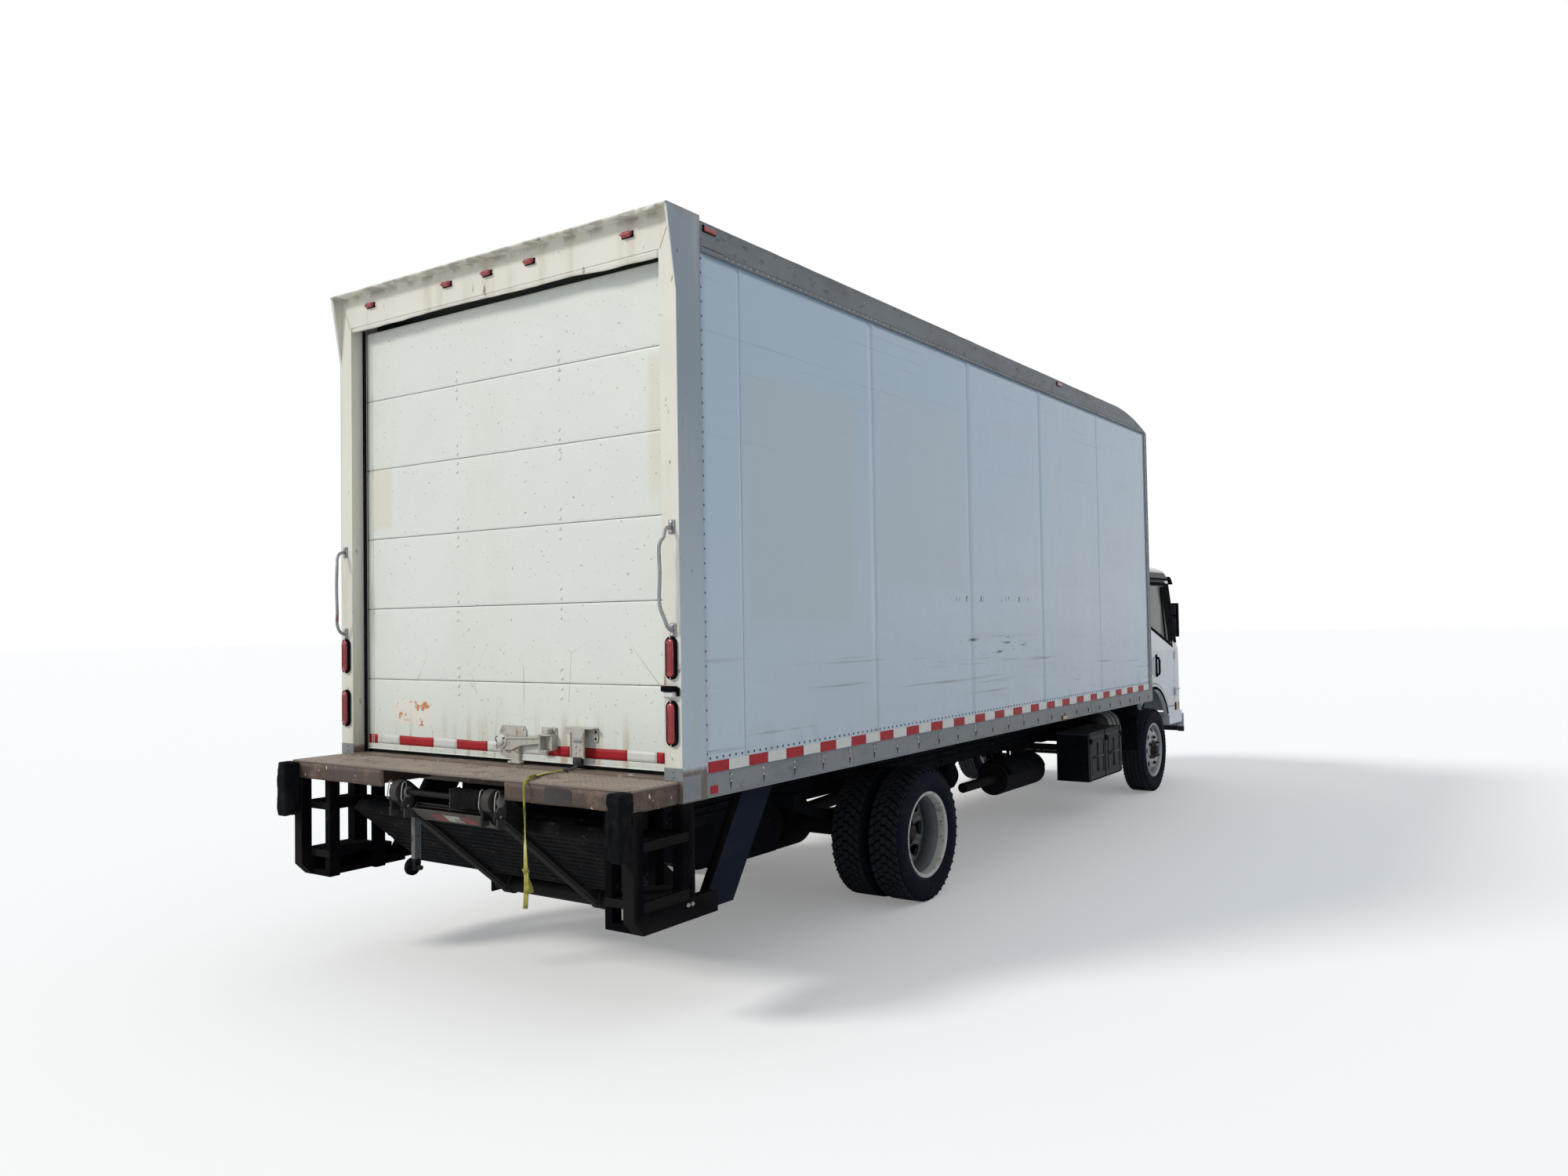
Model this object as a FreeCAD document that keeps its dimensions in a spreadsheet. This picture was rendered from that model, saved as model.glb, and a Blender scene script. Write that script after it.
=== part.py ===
import FreeCAD, Part
import math
import os
import Sketcher
from FreeCAD import Placement, Rotation, Vector

# A box truck: cab-over chassis, dry-freight body with a roll-up rear door, tuck-under liftgate.
# Millimetres. +Z up, the front faces -Y, +X is the truck's left side.
# The origin lies on the ground, midway between the outermost faces.

doc = FreeCAD.newDocument("box_truck")
sheet = doc.addObject("Spreadsheet::Sheet", "Sizes")


class Size:
    """A length known both as a number and as the sheet expression that gives it."""

    def __init__(self, text, value):
        self.text = text
        self.value = value

    def _with(self, sign, other, value):
        return Size("({} {} {})".format(self.text, sign, size(other).text), value)

    def __add__(self, other):
        return self._with("+", other, self.value + size(other).value)

    def __sub__(self, other):
        return self._with("-", other, self.value - size(other).value)

    def __mul__(self, other):
        return self._with("*", other, self.value * size(other).value)

    def __truediv__(self, other):
        return self._with("/", other, self.value / size(other).value)

    def __radd__(self, other):
        return size(other) + self

    def __rsub__(self, other):
        return size(other) - self

    def __rmul__(self, other):
        return size(other) * self

    def __neg__(self):
        return size(0) - self


def size(number):
    """Any number as a Size."""
    return number if isinstance(number, Size) else Size(repr(float(number)), float(number))


def root(square):
    """Square root of a Size."""
    return Size("sqrt({})".format(square.text), math.sqrt(square.value))


def dimensions(**cells):
    """Write named sizes to the sheet, one row each, and return them as Size objects."""
    named = {}
    for name, value in cells.items():
        dimensions.row += 1
        sheet.set("A{}".format(dimensions.row), name)
        sheet.set("B{}".format(dimensions.row), str(value))
        sheet.setAlias("B{}".format(dimensions.row), name)
        named[name] = Size("Sizes." + name, float(value))
    return named


dimensions.row = 0


class Group:
    """The sizes of one assembly, read as attributes."""

    def __init__(self, **cells):
        self.__dict__.update(dimensions(**cells))


# Load space: lengths ahead are measured forward from the rear face of the rear frame.
body = Group(
    rear_face=4140, body_length=6770, body_width=2440, rail_bottom=946, roof_top=3550,
    top_rail_bottom=3409, lower_rail_top=1052, rail_thickness=12, skin_recess=4, wall=38,
    roof_sheet=25, nose_start=5880, nose_radius=3000, corner_post_depth=80,
    deck_top=1048, deck_thickness=26, cross_sill_width=45, cross_sill_pitch=305,
    long_sill_width=75)
rear = Group(
    frame_top=3573, header_bottom=3395, post_width=100, post_depth=170, header_depth=50,
    frame_bottom=945, gutter_reach=60, gutter_thickness=12, gusset_bottom=3200,
    door_recess=80, door_thickness=25, door_bottom=1065, panel_height=385, panel_gap=0.5,
    track_lip=30, track_metal=4, lamp_reach=25, seal_gap=0.3, handle_bracket=26,
    handle_inset=41)
chassis = Group(
    rail_top=840, rail_depth=230, rail_half_width=425, rail_flange=75, rail_metal=8,
    rail_rear=450, rail_front=8360, rear_axle_ahead=2479, wheelbase=5080)
wheel = Group(
    tyre_radius=405, tyre_width=226, rim_radius=250, flange_radius=262, rim_metal=12,
    flange_inset=14, tread_half=92, axle_tube_radius=65, hub_radius=98, drum_radius=180,
    rear_outer_centre=1017, rear_inner_centre=757, front_centre=885, hand_hole_radius=24,
    hand_hole_circle=178)
steer = Group(
    kingpin_x=805, kingpin_radius=20, boss_radius=44, ear_radius=46, ear_height=28,
    boss_low=330, boss_high=480, pin_gap=5, spindle_radius=36, play=0.3, arm_back=170,
    arm_x=700, arm_low=290, arm_height=26, ball_radius=11, tie_radius=16, tie_z=350)
cab = Group(
    cab_half=1000, cab_front=8620, cab_back=6905, skirt_bottom=710, cab_wall=40, roof=2220,
    floor_bottom=1050, floor_thickness=40, arch_radius=500, arch_height=500,
    hinge_ahead=8420, hinge_height=830, hinge_radius=16, door_front=8262, door_rear=7380,
    door_gap=8, glass=6, glass_inset=14, door_pin_ahead=8270, door_pin_x=1004,
    door_pin_radius=7, door_knuckle_radius=13, door_knuckle_height=24)
gate = Group(
    heel_ahead=420, heel_height=350, pin_back=280, pin_height=930, arm_half_span=330,
    arm_width=50, arm_depth=110, heel_radius=45, lug_radius=140, barrel_ahead=1150,
    barrel_height=620, barrel_radius=42, rod_radius=20, slab_half=900, slab_thickness=56,
    slab_start=165, slab_end=715, slot_half=36, pin_radius=14,
    heel_pin_radius=20, lug_pin_radius=9, open_eye_radius=16)
dock = Group(
    plate_reach=310, plate_top=1040, plate_thickness=10, plate_half=1200, skirt_depth=90,
    skirt_inner=440, bumper_reach=90, bumper_bottom=750, bumper_width=90,
    bumper_proud=20)

nodes = {}


def node(name, thing):
    """Name a finished sub-part; its label is also its file name."""
    thing.Label = name
    nodes[name] = thing
    return thing


def bind(thing, target, value):
    thing.setExpression(target, size(value).text)


def place(thing, x, y, z, rotation=Rotation()):
    """Put an object at x, y, z, bound to the sheet."""
    thing.Placement = Placement(Vector(size(x).value, size(y).value, size(z).value), rotation)
    for letter, value in zip("xyz", (x, y, z)):
        bind(thing, "Placement.Base." + letter, value)
    return thing


def ahead(distance):
    """The y coordinate of a place so far ahead of the rear face."""
    return body.rear_face - distance


def span_ahead(near, far):
    """The y span between two distances ahead of the rear face."""
    return ahead(far), ahead(near)


def outward(side, inner, outer):
    """The x span between two distances from the centre line, on one side."""
    return (size(inner), size(outer)) if side > 0 else (-size(outer), -size(inner))


def block(x, y, z):
    """A box given by its low and high ends along each axis."""
    box = doc.addObject("Part::Box", "Block")
    for prop, (low, high) in zip(("Length", "Width", "Height"), (x, y, z)):
        bind(box, prop, size(high) - low)
    return place(box, x[0], y[0], z[0])


TURNS = {"X": Rotation(Vector(0, 1, 0), 90), "Y": Rotation(Vector(1, 0, 0), -90), "Z": Rotation()}


def rod(axis, start, length, radius):
    """A round bar from a start point along +X, +Y or +Z."""
    cylinder = doc.addObject("Part::Cylinder", "Rod")
    bind(cylinder, "Radius", radius)
    bind(cylinder, "Height", length)
    return place(cylinder, *start, rotation=TURNS[axis])


def slanted_rod(x, start, end, radius):
    """A round bar between two (y, z) points at one x."""
    dy, dz = size(end[0]) - start[0], size(end[1]) - start[1]
    cylinder = doc.addObject("Part::Cylinder", "Rod")
    bind(cylinder, "Radius", radius)
    bind(cylinder, "Height", root(dy * dy + dz * dz))
    turn = Rotation(Vector(0, 0, 1), Vector(0, dy.value, dz.value))
    return place(cylinder, x, *start, rotation=turn)


def slanted_bar(x, start, end, depth, offset=0):
    """A flat bar that fills x and is centred on the line between two (y, z) points."""
    start, end = [size(v) for v in start], [size(v) for v in end]
    dy, dz = end[0] - start[0], end[1] - start[1]
    run = root(dy * dy + dz * dz)
    shift = size(offset) - size(depth) / 2
    box = doc.addObject("Part::Box", "Bar")
    bind(box, "Length", size(x[1]) - x[0])
    bind(box, "Width", run)
    bind(box, "Height", depth)
    turn = Rotation(Vector(1, 0, 0), math.degrees(math.atan2(dz.value, dy.value)))
    return place(box, x[0], start[0] - shift * dz / run, start[1] + shift * dy / run, turn)


def cut(base, *tools):
    """Base with every tool taken away."""
    tool = tools[0] if len(tools) == 1 else fuse(*tools)
    result = doc.addObject("Part::Cut", "Cut")
    result.Base = base
    result.Tool = tool
    return result


def fuse(*shapes):
    """Touching pieces joined to one."""
    result = doc.addObject("Part::MultiFuse", "Fusion")
    result.Shapes = list(shapes)
    return result


def common(first, second):
    """What two shapes share."""
    result = doc.addObject("Part::MultiCommon", "Common")
    result.Shapes = [first, second]
    return result


def together(*shapes):
    """Separate pieces of one sub-part."""
    result = doc.addObject("Part::Compound", "Pieces")
    result.Links = list(shapes)
    return result


def mirrored(source):
    """The same piece on the other side of the centre line."""
    result = doc.addObject("Part::Mirroring", "Mirror")
    result.Source = source
    result.Base = Vector(0, 0, 0)
    result.Normal = Vector(1, 0, 0)
    return result


def draw(sketch, corners):
    """Fill a sketch with a closed outline.

    A corner is (u, v), or (u, v, radius, side) where an arc leaves it; the arc's centre
    lies left of the direction of travel where side is 1, and right of it where it is -1.
    """
    count = len(corners)
    flat = [(size(c[0]).value, size(c[1]).value) for c in corners]
    # the number of each edge's start and end point, as constraints name them
    ends = []
    for index, corner in enumerate(corners):
        start, end = Vector(*flat[index], 0), Vector(*flat[(index + 1) % count], 0)
        if len(corner) == 2:
            sketch.addGeometry(Part.LineSegment(start, end))
            ends.append((1, 2))
            continue
        radius, side = size(corner[2]).value, corner[3]
        along = end - start
        rise = math.sqrt(max(radius ** 2 - along.Length ** 2 / 4, 0))
        left = Vector(-along.y, along.x, 0).normalize()
        centre = (start + end) / 2 + left * (side * rise)
        first, last = (start, end) if side > 0 else (end, start)
        angles = [math.atan2(p.y - centre.y, p.x - centre.x) for p in (first, last)]
        sketch.addGeometry(Part.ArcOfCircle(
            Part.Circle(centre, Vector(0, 0, 1), radius), *angles))
        ends.append((1, 2) if side > 0 else (2, 1))
    constraints, values = [], {}
    for index, corner in enumerate(corners):
        following = (index + 1) % count
        for kind, value in (("DistanceX", corner[0]), ("DistanceY", corner[1])):
            values[len(constraints)] = value
            constraints.append(Sketcher.Constraint(
                kind, -1, 1, index, ends[index][0], size(value).value))
        constraints.append(Sketcher.Constraint(
            "Coincident", index, ends[index][1], following, ends[following][0]))
        if len(corner) == 4:
            values[len(constraints)] = corner[2]
            constraints.append(Sketcher.Constraint("Radius", index, size(corner[2]).value))
    sketch.addConstraint(constraints)
    for number, value in values.items():
        bind(sketch, "Constraints[{}]".format(number), value)


def base_plane(part, role):
    return [plane for plane in part.Origin.OriginFeatures if plane.Role == role][0]


def sketch_on(part, role, corners):
    """A sketch of a closed outline on one of a body's own base planes."""
    sketch = part.newObject("Sketcher::SketchObject", "Outline")
    sketch.AttachmentSupport = [(base_plane(part, role), "")]
    sketch.MapMode = "FlatFace"
    draw(sketch, corners)
    return sketch


def prism(plane, corners, span):
    """An outline in the YZ, XZ or XY plane, padded over a span along the third axis."""
    part = doc.addObject("PartDesign::Body", "Prism")
    sketch = sketch_on(part, plane + "_Plane", corners)
    pad = part.newObject("PartDesign::Pad", "Pad")
    pad.Profile = sketch
    bind(pad, "Length", size(span[1]) - span[0])
    sketch.Visibility = False
    if plane == "XZ":
        pad.Reversed = True
    axis = {"YZ": "x", "XZ": "y", "XY": "z"}[plane]
    bind(part, "Placement.Base." + axis, span[0])
    return part


def turned(corners, axis_x=0):
    """A solid of revolution about a line parallel to X, outlined by (x, radius) corners."""
    part = doc.addObject("PartDesign::Body", "Turned")
    sketch = sketch_on(part, "XY_Plane", [(c[0] + size(axis_x),) + tuple(c[1:]) for c in corners])
    revolution = part.newObject("PartDesign::Revolution", "Revolution")
    revolution.Profile = sketch
    revolution.ReferenceAxis = (base_axis(part, "X_Axis"), [""])
    revolution.Angle = 360
    return part


def base_axis(part, role):
    return [axis for axis in part.Origin.OriginFeatures if axis.Role == role][0]


# ---------------------------------------------------------------- load space

half = body.body_width / 2
skin = half - body.skin_recess
inner = skin - body.wall
rail_inside = half - body.rail_thickness
nose_drop = body.nose_radius - root(
    body.nose_radius * body.nose_radius
    - (body.body_length - body.nose_start) * (body.body_length - body.nose_start))


def roof_outline(depth):
    """Side outline of the roof line: level, then falling in a large arc to the front."""
    back, bend, front = ahead(rear.post_depth), ahead(body.nose_start), ahead(body.body_length)
    low_drop = body.nose_radius - depth - root(
        (body.nose_radius - depth) * (body.nose_radius - depth)
        - (body.body_length - body.nose_start) * (body.body_length - body.nose_start))
    return [
        (back, body.roof_top), (bend, body.roof_top, body.nose_radius, 1),
        (front, body.roof_top - nose_drop), (front, body.roof_top - depth - low_drop,
                                             body.nose_radius - depth, -1),
        (bend, body.roof_top - depth), (back, body.roof_top - depth)]


def cargo_roof():
    return prism("YZ", roof_outline(body.roof_sheet), (-inner, inner))


def cargo_side(side):
    """One side wall between the rails, the corner post and the rear frame."""
    return block(outward(side, inner, skin),
                 span_ahead(rear.post_depth, body.body_length - body.corner_post_depth),
                 (body.lower_rail_top, body.top_rail_bottom))


def side_rails():
    """Lower rail, top rail and front corner post, joined to one piece on each side."""
    end = body.body_length - body.corner_post_depth
    front = ahead(body.body_length)
    top = prism("YZ", [
        (ahead(rear.post_depth), body.top_rail_bottom),
        (ahead(rear.post_depth), body.roof_top),
        (ahead(body.nose_start), body.roof_top, body.nose_radius, 1),
        (front, body.roof_top - nose_drop), (front, body.top_rail_bottom)], (inner, half))
    lower = block((rail_inside, half), span_ahead(rear.post_depth, end),
                  (body.rail_bottom, body.lower_rail_top))
    post = block((inner, half), (front, ahead(end)), (body.rail_bottom, body.top_rail_bottom))
    left = fuse(top, lower, post)
    return together(left, mirrored(left))


def cargo_front_wall():
    """Front wall; its top follows the underside of the roof."""
    run_front = body.body_length - body.nose_start
    run_back = run_front - body.wall
    under = body.nose_radius - body.roof_sheet
    drop_front = under - root(under * under - run_front * run_front)
    drop_back = under - root(under * under - run_back * run_back)
    top = body.roof_top - body.roof_sheet
    front, back = ahead(body.body_length), ahead(body.body_length - body.wall)
    return prism("YZ", [(front, body.rail_bottom), (front, top - drop_front),
                        (back, top - drop_back), (back, body.rail_bottom)], (-inner, inner))


def cargo_floor():
    return block((-inner, inner), span_ahead(rear.post_depth, body.body_length - body.wall),
                 (body.deck_top - body.deck_thickness, body.deck_top))


def cross_sills():
    """Cross sills side by side under the deck."""
    under_deck = body.deck_top - body.deck_thickness
    last = body.body_length - body.wall - body.cross_sill_width
    count = int((last.value - rear.post_depth.value) // body.cross_sill_pitch.value)
    pieces = []
    for index in range(1, count + 1):
        near = rear.post_depth + body.cross_sill_pitch * index - body.cross_sill_width
        pieces.append(block((-rail_inside, rail_inside),
                            span_ahead(near, near + body.cross_sill_width),
                            (body.rail_bottom, under_deck)))
    return together(*pieces)


def long_sills():
    """Two long sills that carry the cross sills on the chassis rails."""
    outer = chassis.rail_half_width
    return together(*[block(outward(side, outer - body.long_sill_width, outer),
                            span_ahead(rear.post_depth, body.body_length - body.wall),
                            (chassis.rail_top, body.rail_bottom)) for side in (-1, 1)])


# ---------------------------------------------------------------- rear frame and door

def rear_frame():
    """Posts, header, sill, closing plate, rain gutter with its gussets, and the door tracks."""
    face = body.rear_face
    post_in = half - rear.post_width
    depth = (face - rear.post_depth, face)
    pieces = [
        block((-half, half), (face - rear.header_depth, face), (rear.header_bottom, rear.frame_top)),
        block((-half, half), depth, (rear.frame_bottom, body.deck_top)),
        block((-half, half), (face, face + rear.gutter_reach),
              (rear.frame_top - rear.gutter_thickness, rear.frame_top)),
        block((-post_in, post_in), (face - rear.post_depth, face - rear.header_depth),
              (body.roof_top - body.roof_sheet, body.roof_top))]
    gusset = [(face, rear.gusset_bottom), (face + rear.gutter_reach, rear.frame_top),
              (face, rear.frame_top)]
    plane = face - rear.door_recess
    for side in (-1, 1):
        pieces.append(block(outward(side, post_in, half), depth, (rear.frame_bottom, rear.frame_top)))
        pieces.append(prism("YZ", gusset, outward(side, half - rear.gutter_thickness, half)))
        pieces.append(block(outward(side, post_in - rear.track_lip, post_in),
                            (plane + rear.track_metal, plane + rear.track_metal * 2),
                            (body.deck_top, rear.header_bottom)))
    return fuse(*pieces)


def rear_door():
    """Six hinged panels of the closed roll-up door, the lowest with its seal on the deck."""
    half_door = half - rear.post_width - rear.track_metal
    front = body.rear_face - rear.door_recess
    panels = []
    for index in range(6):
        low = rear.door_bottom + rear.panel_height * index
        panels.append(block((-half_door, half_door), (front - rear.door_thickness, front),
                            (low, low + rear.panel_height - rear.panel_gap)))
    seal = block((-half_door, half_door), (front - rear.door_thickness + 5, front - 5),
                 (body.deck_top + rear.seal_gap, rear.door_bottom))
    return together(fuse(panels[0], seal), *panels[1:])


def door_hardware():
    """Latch plate with its lever and catch, and the pull handle with its hanging plate."""
    face = body.rear_face - rear.door_recess
    latch = [block((-378, 22), (face, face + 6), (1076, 1104)),
             block((-200, -120), (face, face + 8), (1090, 1240)),
             block((-378, -190), (face + 4, face + 34), (1082, 1104))]
    handle = [block((-648, -600), (face, face + 6), (1180, 1246)),
              block((-512, -464), (face, face + 6), (1200, 1246)),
              block((-648, -464), (face + 4, face + 44), (1228, 1246)),
              block((-600, -500), (face + 38, face + 44), (1100, 1240))]
    return together(fuse(*latch), fuse(*handle))


# x of the five header lamps
HEADER_LAMPS = (-940, -305, 0, 305, 940)
# low z, high z of the tail lamps on each post
TAIL_LAMPS = ((1192, 1392), (1484, 1672))


def tail_lamp(x, low, high):
    """An upright lamp with arched ends, standing off the rear face."""
    wide, arch = 30, 31
    return prism("XZ", [
        (x - wide, low + 24), (x - wide, high - 24, arch, -1),
        (x + wide, high - 24), (x + wide, low + 24, arch, -1)],
        (body.rear_face, body.rear_face + rear.lamp_reach))


def rear_lamps():
    """Tail, header, side marker and licence lamps."""
    face = body.rear_face
    lamps = []
    for side in (-1, 1):
        for low, high in TAIL_LAMPS:
            lamps.append(tail_lamp((half - rear.post_width / 2) * side, low, high))
        for near, low in ((190, 3505), (4530, 3505), (4480, 952)):
            lamps.append(block(outward(side, half, half + 12), span_ahead(near, near + 95),
                               (low, low + 30)))
    for x in HEADER_LAMPS:
        lamps.append(block((x - 33, x + 33), (face, face + rear.lamp_reach), (3480, 3506)))
    lamps.append(block((-half + 20, -half + 90), (face, face + 40), (1405, 1456)))
    return together(*lamps)


def grab_handles():
    """A bent rod on each rear post."""
    face = body.rear_face
    reach = 70
    low, high, radius = 1700, 2152, 9
    handles = []
    for side in (-1, 1):
        x = (half - rear.handle_inset) * side
        handles.append(fuse(
            rod("Z", (x, face + reach, low), high - low, radius),
            rod("Y", (x, face, low), reach, radius), rod("Y", (x, face, high), reach, radius),
            block((x - 20, x + 20), (face, face + 6),
                  (low - rear.handle_bracket, low + rear.handle_bracket)),
            block((x - 20, x + 20), (face, face + 6),
                  (high - rear.handle_bracket, high + rear.handle_bracket))))
    return together(*handles)


# ---------------------------------------------------------------- dock plate, steps, bumpers

def dock_plate():
    """Tread plate behind the sill with rear skirts and ribs below it."""
    face = body.rear_face
    edge = face + dock.plate_reach
    under = dock.plate_top - dock.plate_thickness
    pieces = [block((-dock.plate_half, dock.plate_half), (face, edge), (under, dock.plate_top))]
    for side in (-1, 1):
        pieces.append(block(outward(side, dock.skirt_inner, dock.plate_half),
                            (edge - dock.plate_thickness, edge),
                            (dock.plate_top - dock.skirt_depth, under)))
        for x in (dock.skirt_inner + 20, dock.plate_half - 140):
            pieces.append(block(outward(side, x, x + 50), (face, edge - dock.plate_thickness),
                                (under - 70, under)))
    return fuse(*pieces)


def dock_bumpers():
    """Rubber blocks at the rear corners."""
    back = body.rear_face + dock.plate_reach
    edge = dock.plate_half + dock.bumper_proud
    blocks = []
    for side in (-1, 1):
        blocks.append(block(outward(side, edge - dock.bumper_width, edge),
                            (back, back + dock.bumper_reach), (dock.bumper_bottom, dock.plate_top)))
    return together(*blocks)


def side_steps():
    """Welded steps at both rear corners: posts, bottom rail, treads and a long brace."""
    face = body.rear_face
    back = face + dock.plate_reach - dock.plate_thickness
    top = dock.plate_top - dock.plate_thickness
    outer = dock.plate_half
    sill_under = rear.frame_bottom
    outline = [(back - 60, top), (back, top), (back, 490), (back - 60, 430), (face - 260, 430),
               (face - 260, 520), (back - 60, 520)]
    sides = []
    for side in (-1, 1):
        pieces = [prism("YZ", outline, outward(side, outer - 60, outer)),
                  block(outward(side, outer - 60, outer), (face - 100, face - 20), (520, sill_under)),
                  block(outward(side, 980, 1020), (face - 100, face - 40), (430, sill_under)),
                  block(outward(side, 980, 1020), (face + 180, face + 240), (430, top)),
                  prism("YZ", [(face - 548, body.rail_bottom), (face - 790, body.rail_bottom),
                               (face - 445, 430), (face - 220, 430)], outward(side, 1090, 1140)),
                  block(outward(side, 1020, 1140), (face - 260, face + 240), (430, 460))]
        for height in (560, 810):
            pieces.append(block(outward(side, 980, outer), (face - 60, face + 240),
                                (height - 30, height)))
        sides.append(fuse(*pieces))
    return together(*sides)


# ---------------------------------------------------------------- chassis

rear_axle_y = ahead(chassis.rear_axle_ahead)
front_axle_ahead = chassis.rear_axle_ahead + chassis.wheelbase
front_axle_y = ahead(front_axle_ahead)
rail_bottom = chassis.rail_top - chassis.rail_depth
rail_web = chassis.rail_half_width - chassis.rail_metal

# distances ahead of the rear face of the plain cross members
CROSS_MEMBERS = (520, 1240, 2060, 3300, 4400, 5500, 6500)


def chassis_rail():
    """Left rail, a channel open to the middle."""
    outer, metal = chassis.rail_half_width, chassis.rail_metal
    flange = outer - chassis.rail_flange
    low, high = rail_bottom, chassis.rail_top
    return prism("XZ", [
        (outer, low), (outer, high), (flange, high), (flange, high - metal), (rail_web, high - metal),
        (rail_web, low + metal), (flange, low + metal), (flange, low)],
        span_ahead(chassis.rail_rear, chassis.rail_front))


def chassis_rails():
    """Both rails of the ladder frame."""
    left = chassis_rail()
    return together(left, mirrored(left))


def cross_members():
    """Cross members between the rails, the foremost with the cab's hinge brackets."""
    members = [block((-rail_web, rail_web), span_ahead(distance - 40, distance + 40), (690, 820))
               for distance in CROSS_MEMBERS]
    pieces = [block((-rail_web, rail_web), span_ahead(8250, 8350), (640, 700))]
    pin_y, pin_z = ahead(cab.hinge_ahead), cab.hinge_height
    for side in (-1, 1):
        pieces.append(block(outward(side, 385, rail_web), (pin_y, ahead(8250)),
                            (pin_z - 36, chassis.rail_top - chassis.rail_metal)))
        pieces.append(rod("X", (size(side * 401) - 16, pin_y, pin_z), 32, 36))
        pieces.append(rod("X", (size(side * 401) - 66, pin_y, pin_z), 132, cab.hinge_radius))
    return together(fuse(*pieces), *members)


def engine():
    """Engine as one block on its mounts, with the radiator ahead of it."""
    mass = fuse(block((-280, 280), span_ahead(7250, 8120), (500, 1000)),
                block((-rail_web, rail_web), span_ahead(7660, 7740), (700, 760)))
    radiator = block((-330, 330), span_ahead(8250, 8310), (700, 1000))
    return together(mass, radiator)


def driveline():
    """Gearbox behind the engine and the shaft to the rear axle."""
    return fuse(block((-160, 160), span_ahead(6700, 7250), (520, 800)),
                rod("Y", (0, ahead(6700), 620), 60, 60),
                slanted_rod(0, (ahead(6680), 620), (rear_axle_y - 263, wheel.tyre_radius + 20), 45))


def front_axle():
    """Dropped beam with a kingpin at each end."""
    centre = front_axle_y
    top = 410
    pieces = [block((-steer.kingpin_x, steer.kingpin_x), (centre - 35, centre + 35), (350, top))]
    for side in (-1, 1):
        x = size(side) * steer.kingpin_x
        pieces.append(rod("Z", (x, centre, steer.boss_low), steer.boss_high - steer.boss_low,
                          steer.boss_radius))
        pieces.append(rod("Z", (x, centre, steer.boss_low - steer.pin_gap - steer.ear_height),
                          steer.boss_high - steer.boss_low + (steer.pin_gap + steer.ear_height) * 2,
                          steer.kingpin_radius))
    return fuse(*pieces)


def leaf_spring(centre, chord, thickness, eye_z, seat_z):
    """Side outline of an arched spring that hangs between the rail and its seat."""
    def sagitta(depth):
        return size(chord) * chord / (size(depth) * 8) + size(depth) / 2
    low, high = size(eye_z) - thickness, size(eye_z)
    back, front = centre + size(chord) / 2, centre - size(chord) / 2
    return [(back, low), (back, high, sagitta(high - seat_z - thickness * 2), -1),
            (front, high), (front, low, sagitta(low - seat_z), 1)]


def leaf_springs():
    """Springs under the rails with hangers at both ends."""
    springs = []
    for side in (-1, 1):
        x = outward(side, 355, 420)
        front = leaf_spring(front_axle_y, 1180, 26, 590, 410)
        springs.append(fuse(prism("YZ", front, x),
                            block(x, (front_axle_y - 620, front_axle_y - 560), (560, rail_bottom)),
                            block(x, (front_axle_y + 560, front_axle_y + 620), (560, rail_bottom))))
        x = outward(side, 500, 580)
        rear_spring = leaf_spring(rear_axle_y, 1300, 34, 660, 470)
        springs.append(fuse(prism("YZ", rear_spring, x),
                            block(outward(side, chassis.rail_half_width, 580),
                                  (rear_axle_y - 680, rear_axle_y - 620), (620, 700)),
                            block(outward(side, chassis.rail_half_width, 580),
                                  (rear_axle_y + 620, rear_axle_y + 680), (620, 700))))
    return together(*springs)


def rear_axle():
    """Axle housing with the differential and its spring seats."""
    hub_height = wheel.tyre_radius
    tube_half = size(860)
    pieces = [rod("X", (-tube_half, rear_axle_y, hub_height), tube_half * 2,
                  wheel.axle_tube_radius),
              rod("Y", (0, rear_axle_y - 120, hub_height), 240, 185),
              rod("Y", (0, rear_axle_y + 110, hub_height), 50, 140),
              rod("Y", (0, rear_axle_y - 260, hub_height + 20), 160, 75)]
    for side in (-1, 1):
        pieces.append(block(outward(side, 500, 580), (rear_axle_y - 60, rear_axle_y + 60),
                            (hub_height, 470)))
    return fuse(*pieces)


def fuel_tank():
    """Tank between the rails, hung on straps."""
    pieces = [block((-330, 330), span_ahead(1340, 1960), (320, 600))]
    for distance in (1450, 1820):
        pieces.append(block((-rail_web, rail_web), span_ahead(distance, distance + 50),
                            (600, rail_bottom)))
    return fuse(*pieces)


def exhaust():
    """Silencer under the right rail and its tail pipe."""
    x = size(-500)
    return fuse(rod("Y", (x, ahead(5600), 420), 800, 130),
                rod("Y", (x, ahead(4800), 420), 560, 38),
                block((-520, -400), span_ahead(5000, 5040), (540, rail_bottom)),
                block((-520, -400), span_ahead(5400, 5440), (540, rail_bottom)))


def battery_box():
    """Box with a ribbed cover outside the right rail."""
    pieces = [block((-1000, -720), span_ahead(5650, 6480), (320, 730))]
    for distance in (5800, 6280):
        pieces.append(block((-720, -chassis.rail_half_width), span_ahead(distance, distance + 60),
                            (640, 710)))
    return fuse(*pieces)


def air_cleaner():
    """Canister behind the cab on the right rail."""
    return fuse(rod("Y", (-720, ahead(6960), 700), 330, 130),
                block((-600, -chassis.rail_half_width), span_ahead(6760, 6830), (660, 740)))


def mudguards():
    """Splash shield behind each front wheel."""
    shields = []
    for side in (-1, 1):
        shields.append(fuse(
            block(outward(side, 600, 990), span_ahead(7026, 7034), (450, 925)),
            block(outward(side, chassis.rail_half_width, 600), span_ahead(7010, 7034), (700, 740)),
            block(outward(side, 600, 990), span_ahead(7010, 7026), (700, 740))))
    return together(*shields)


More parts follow.
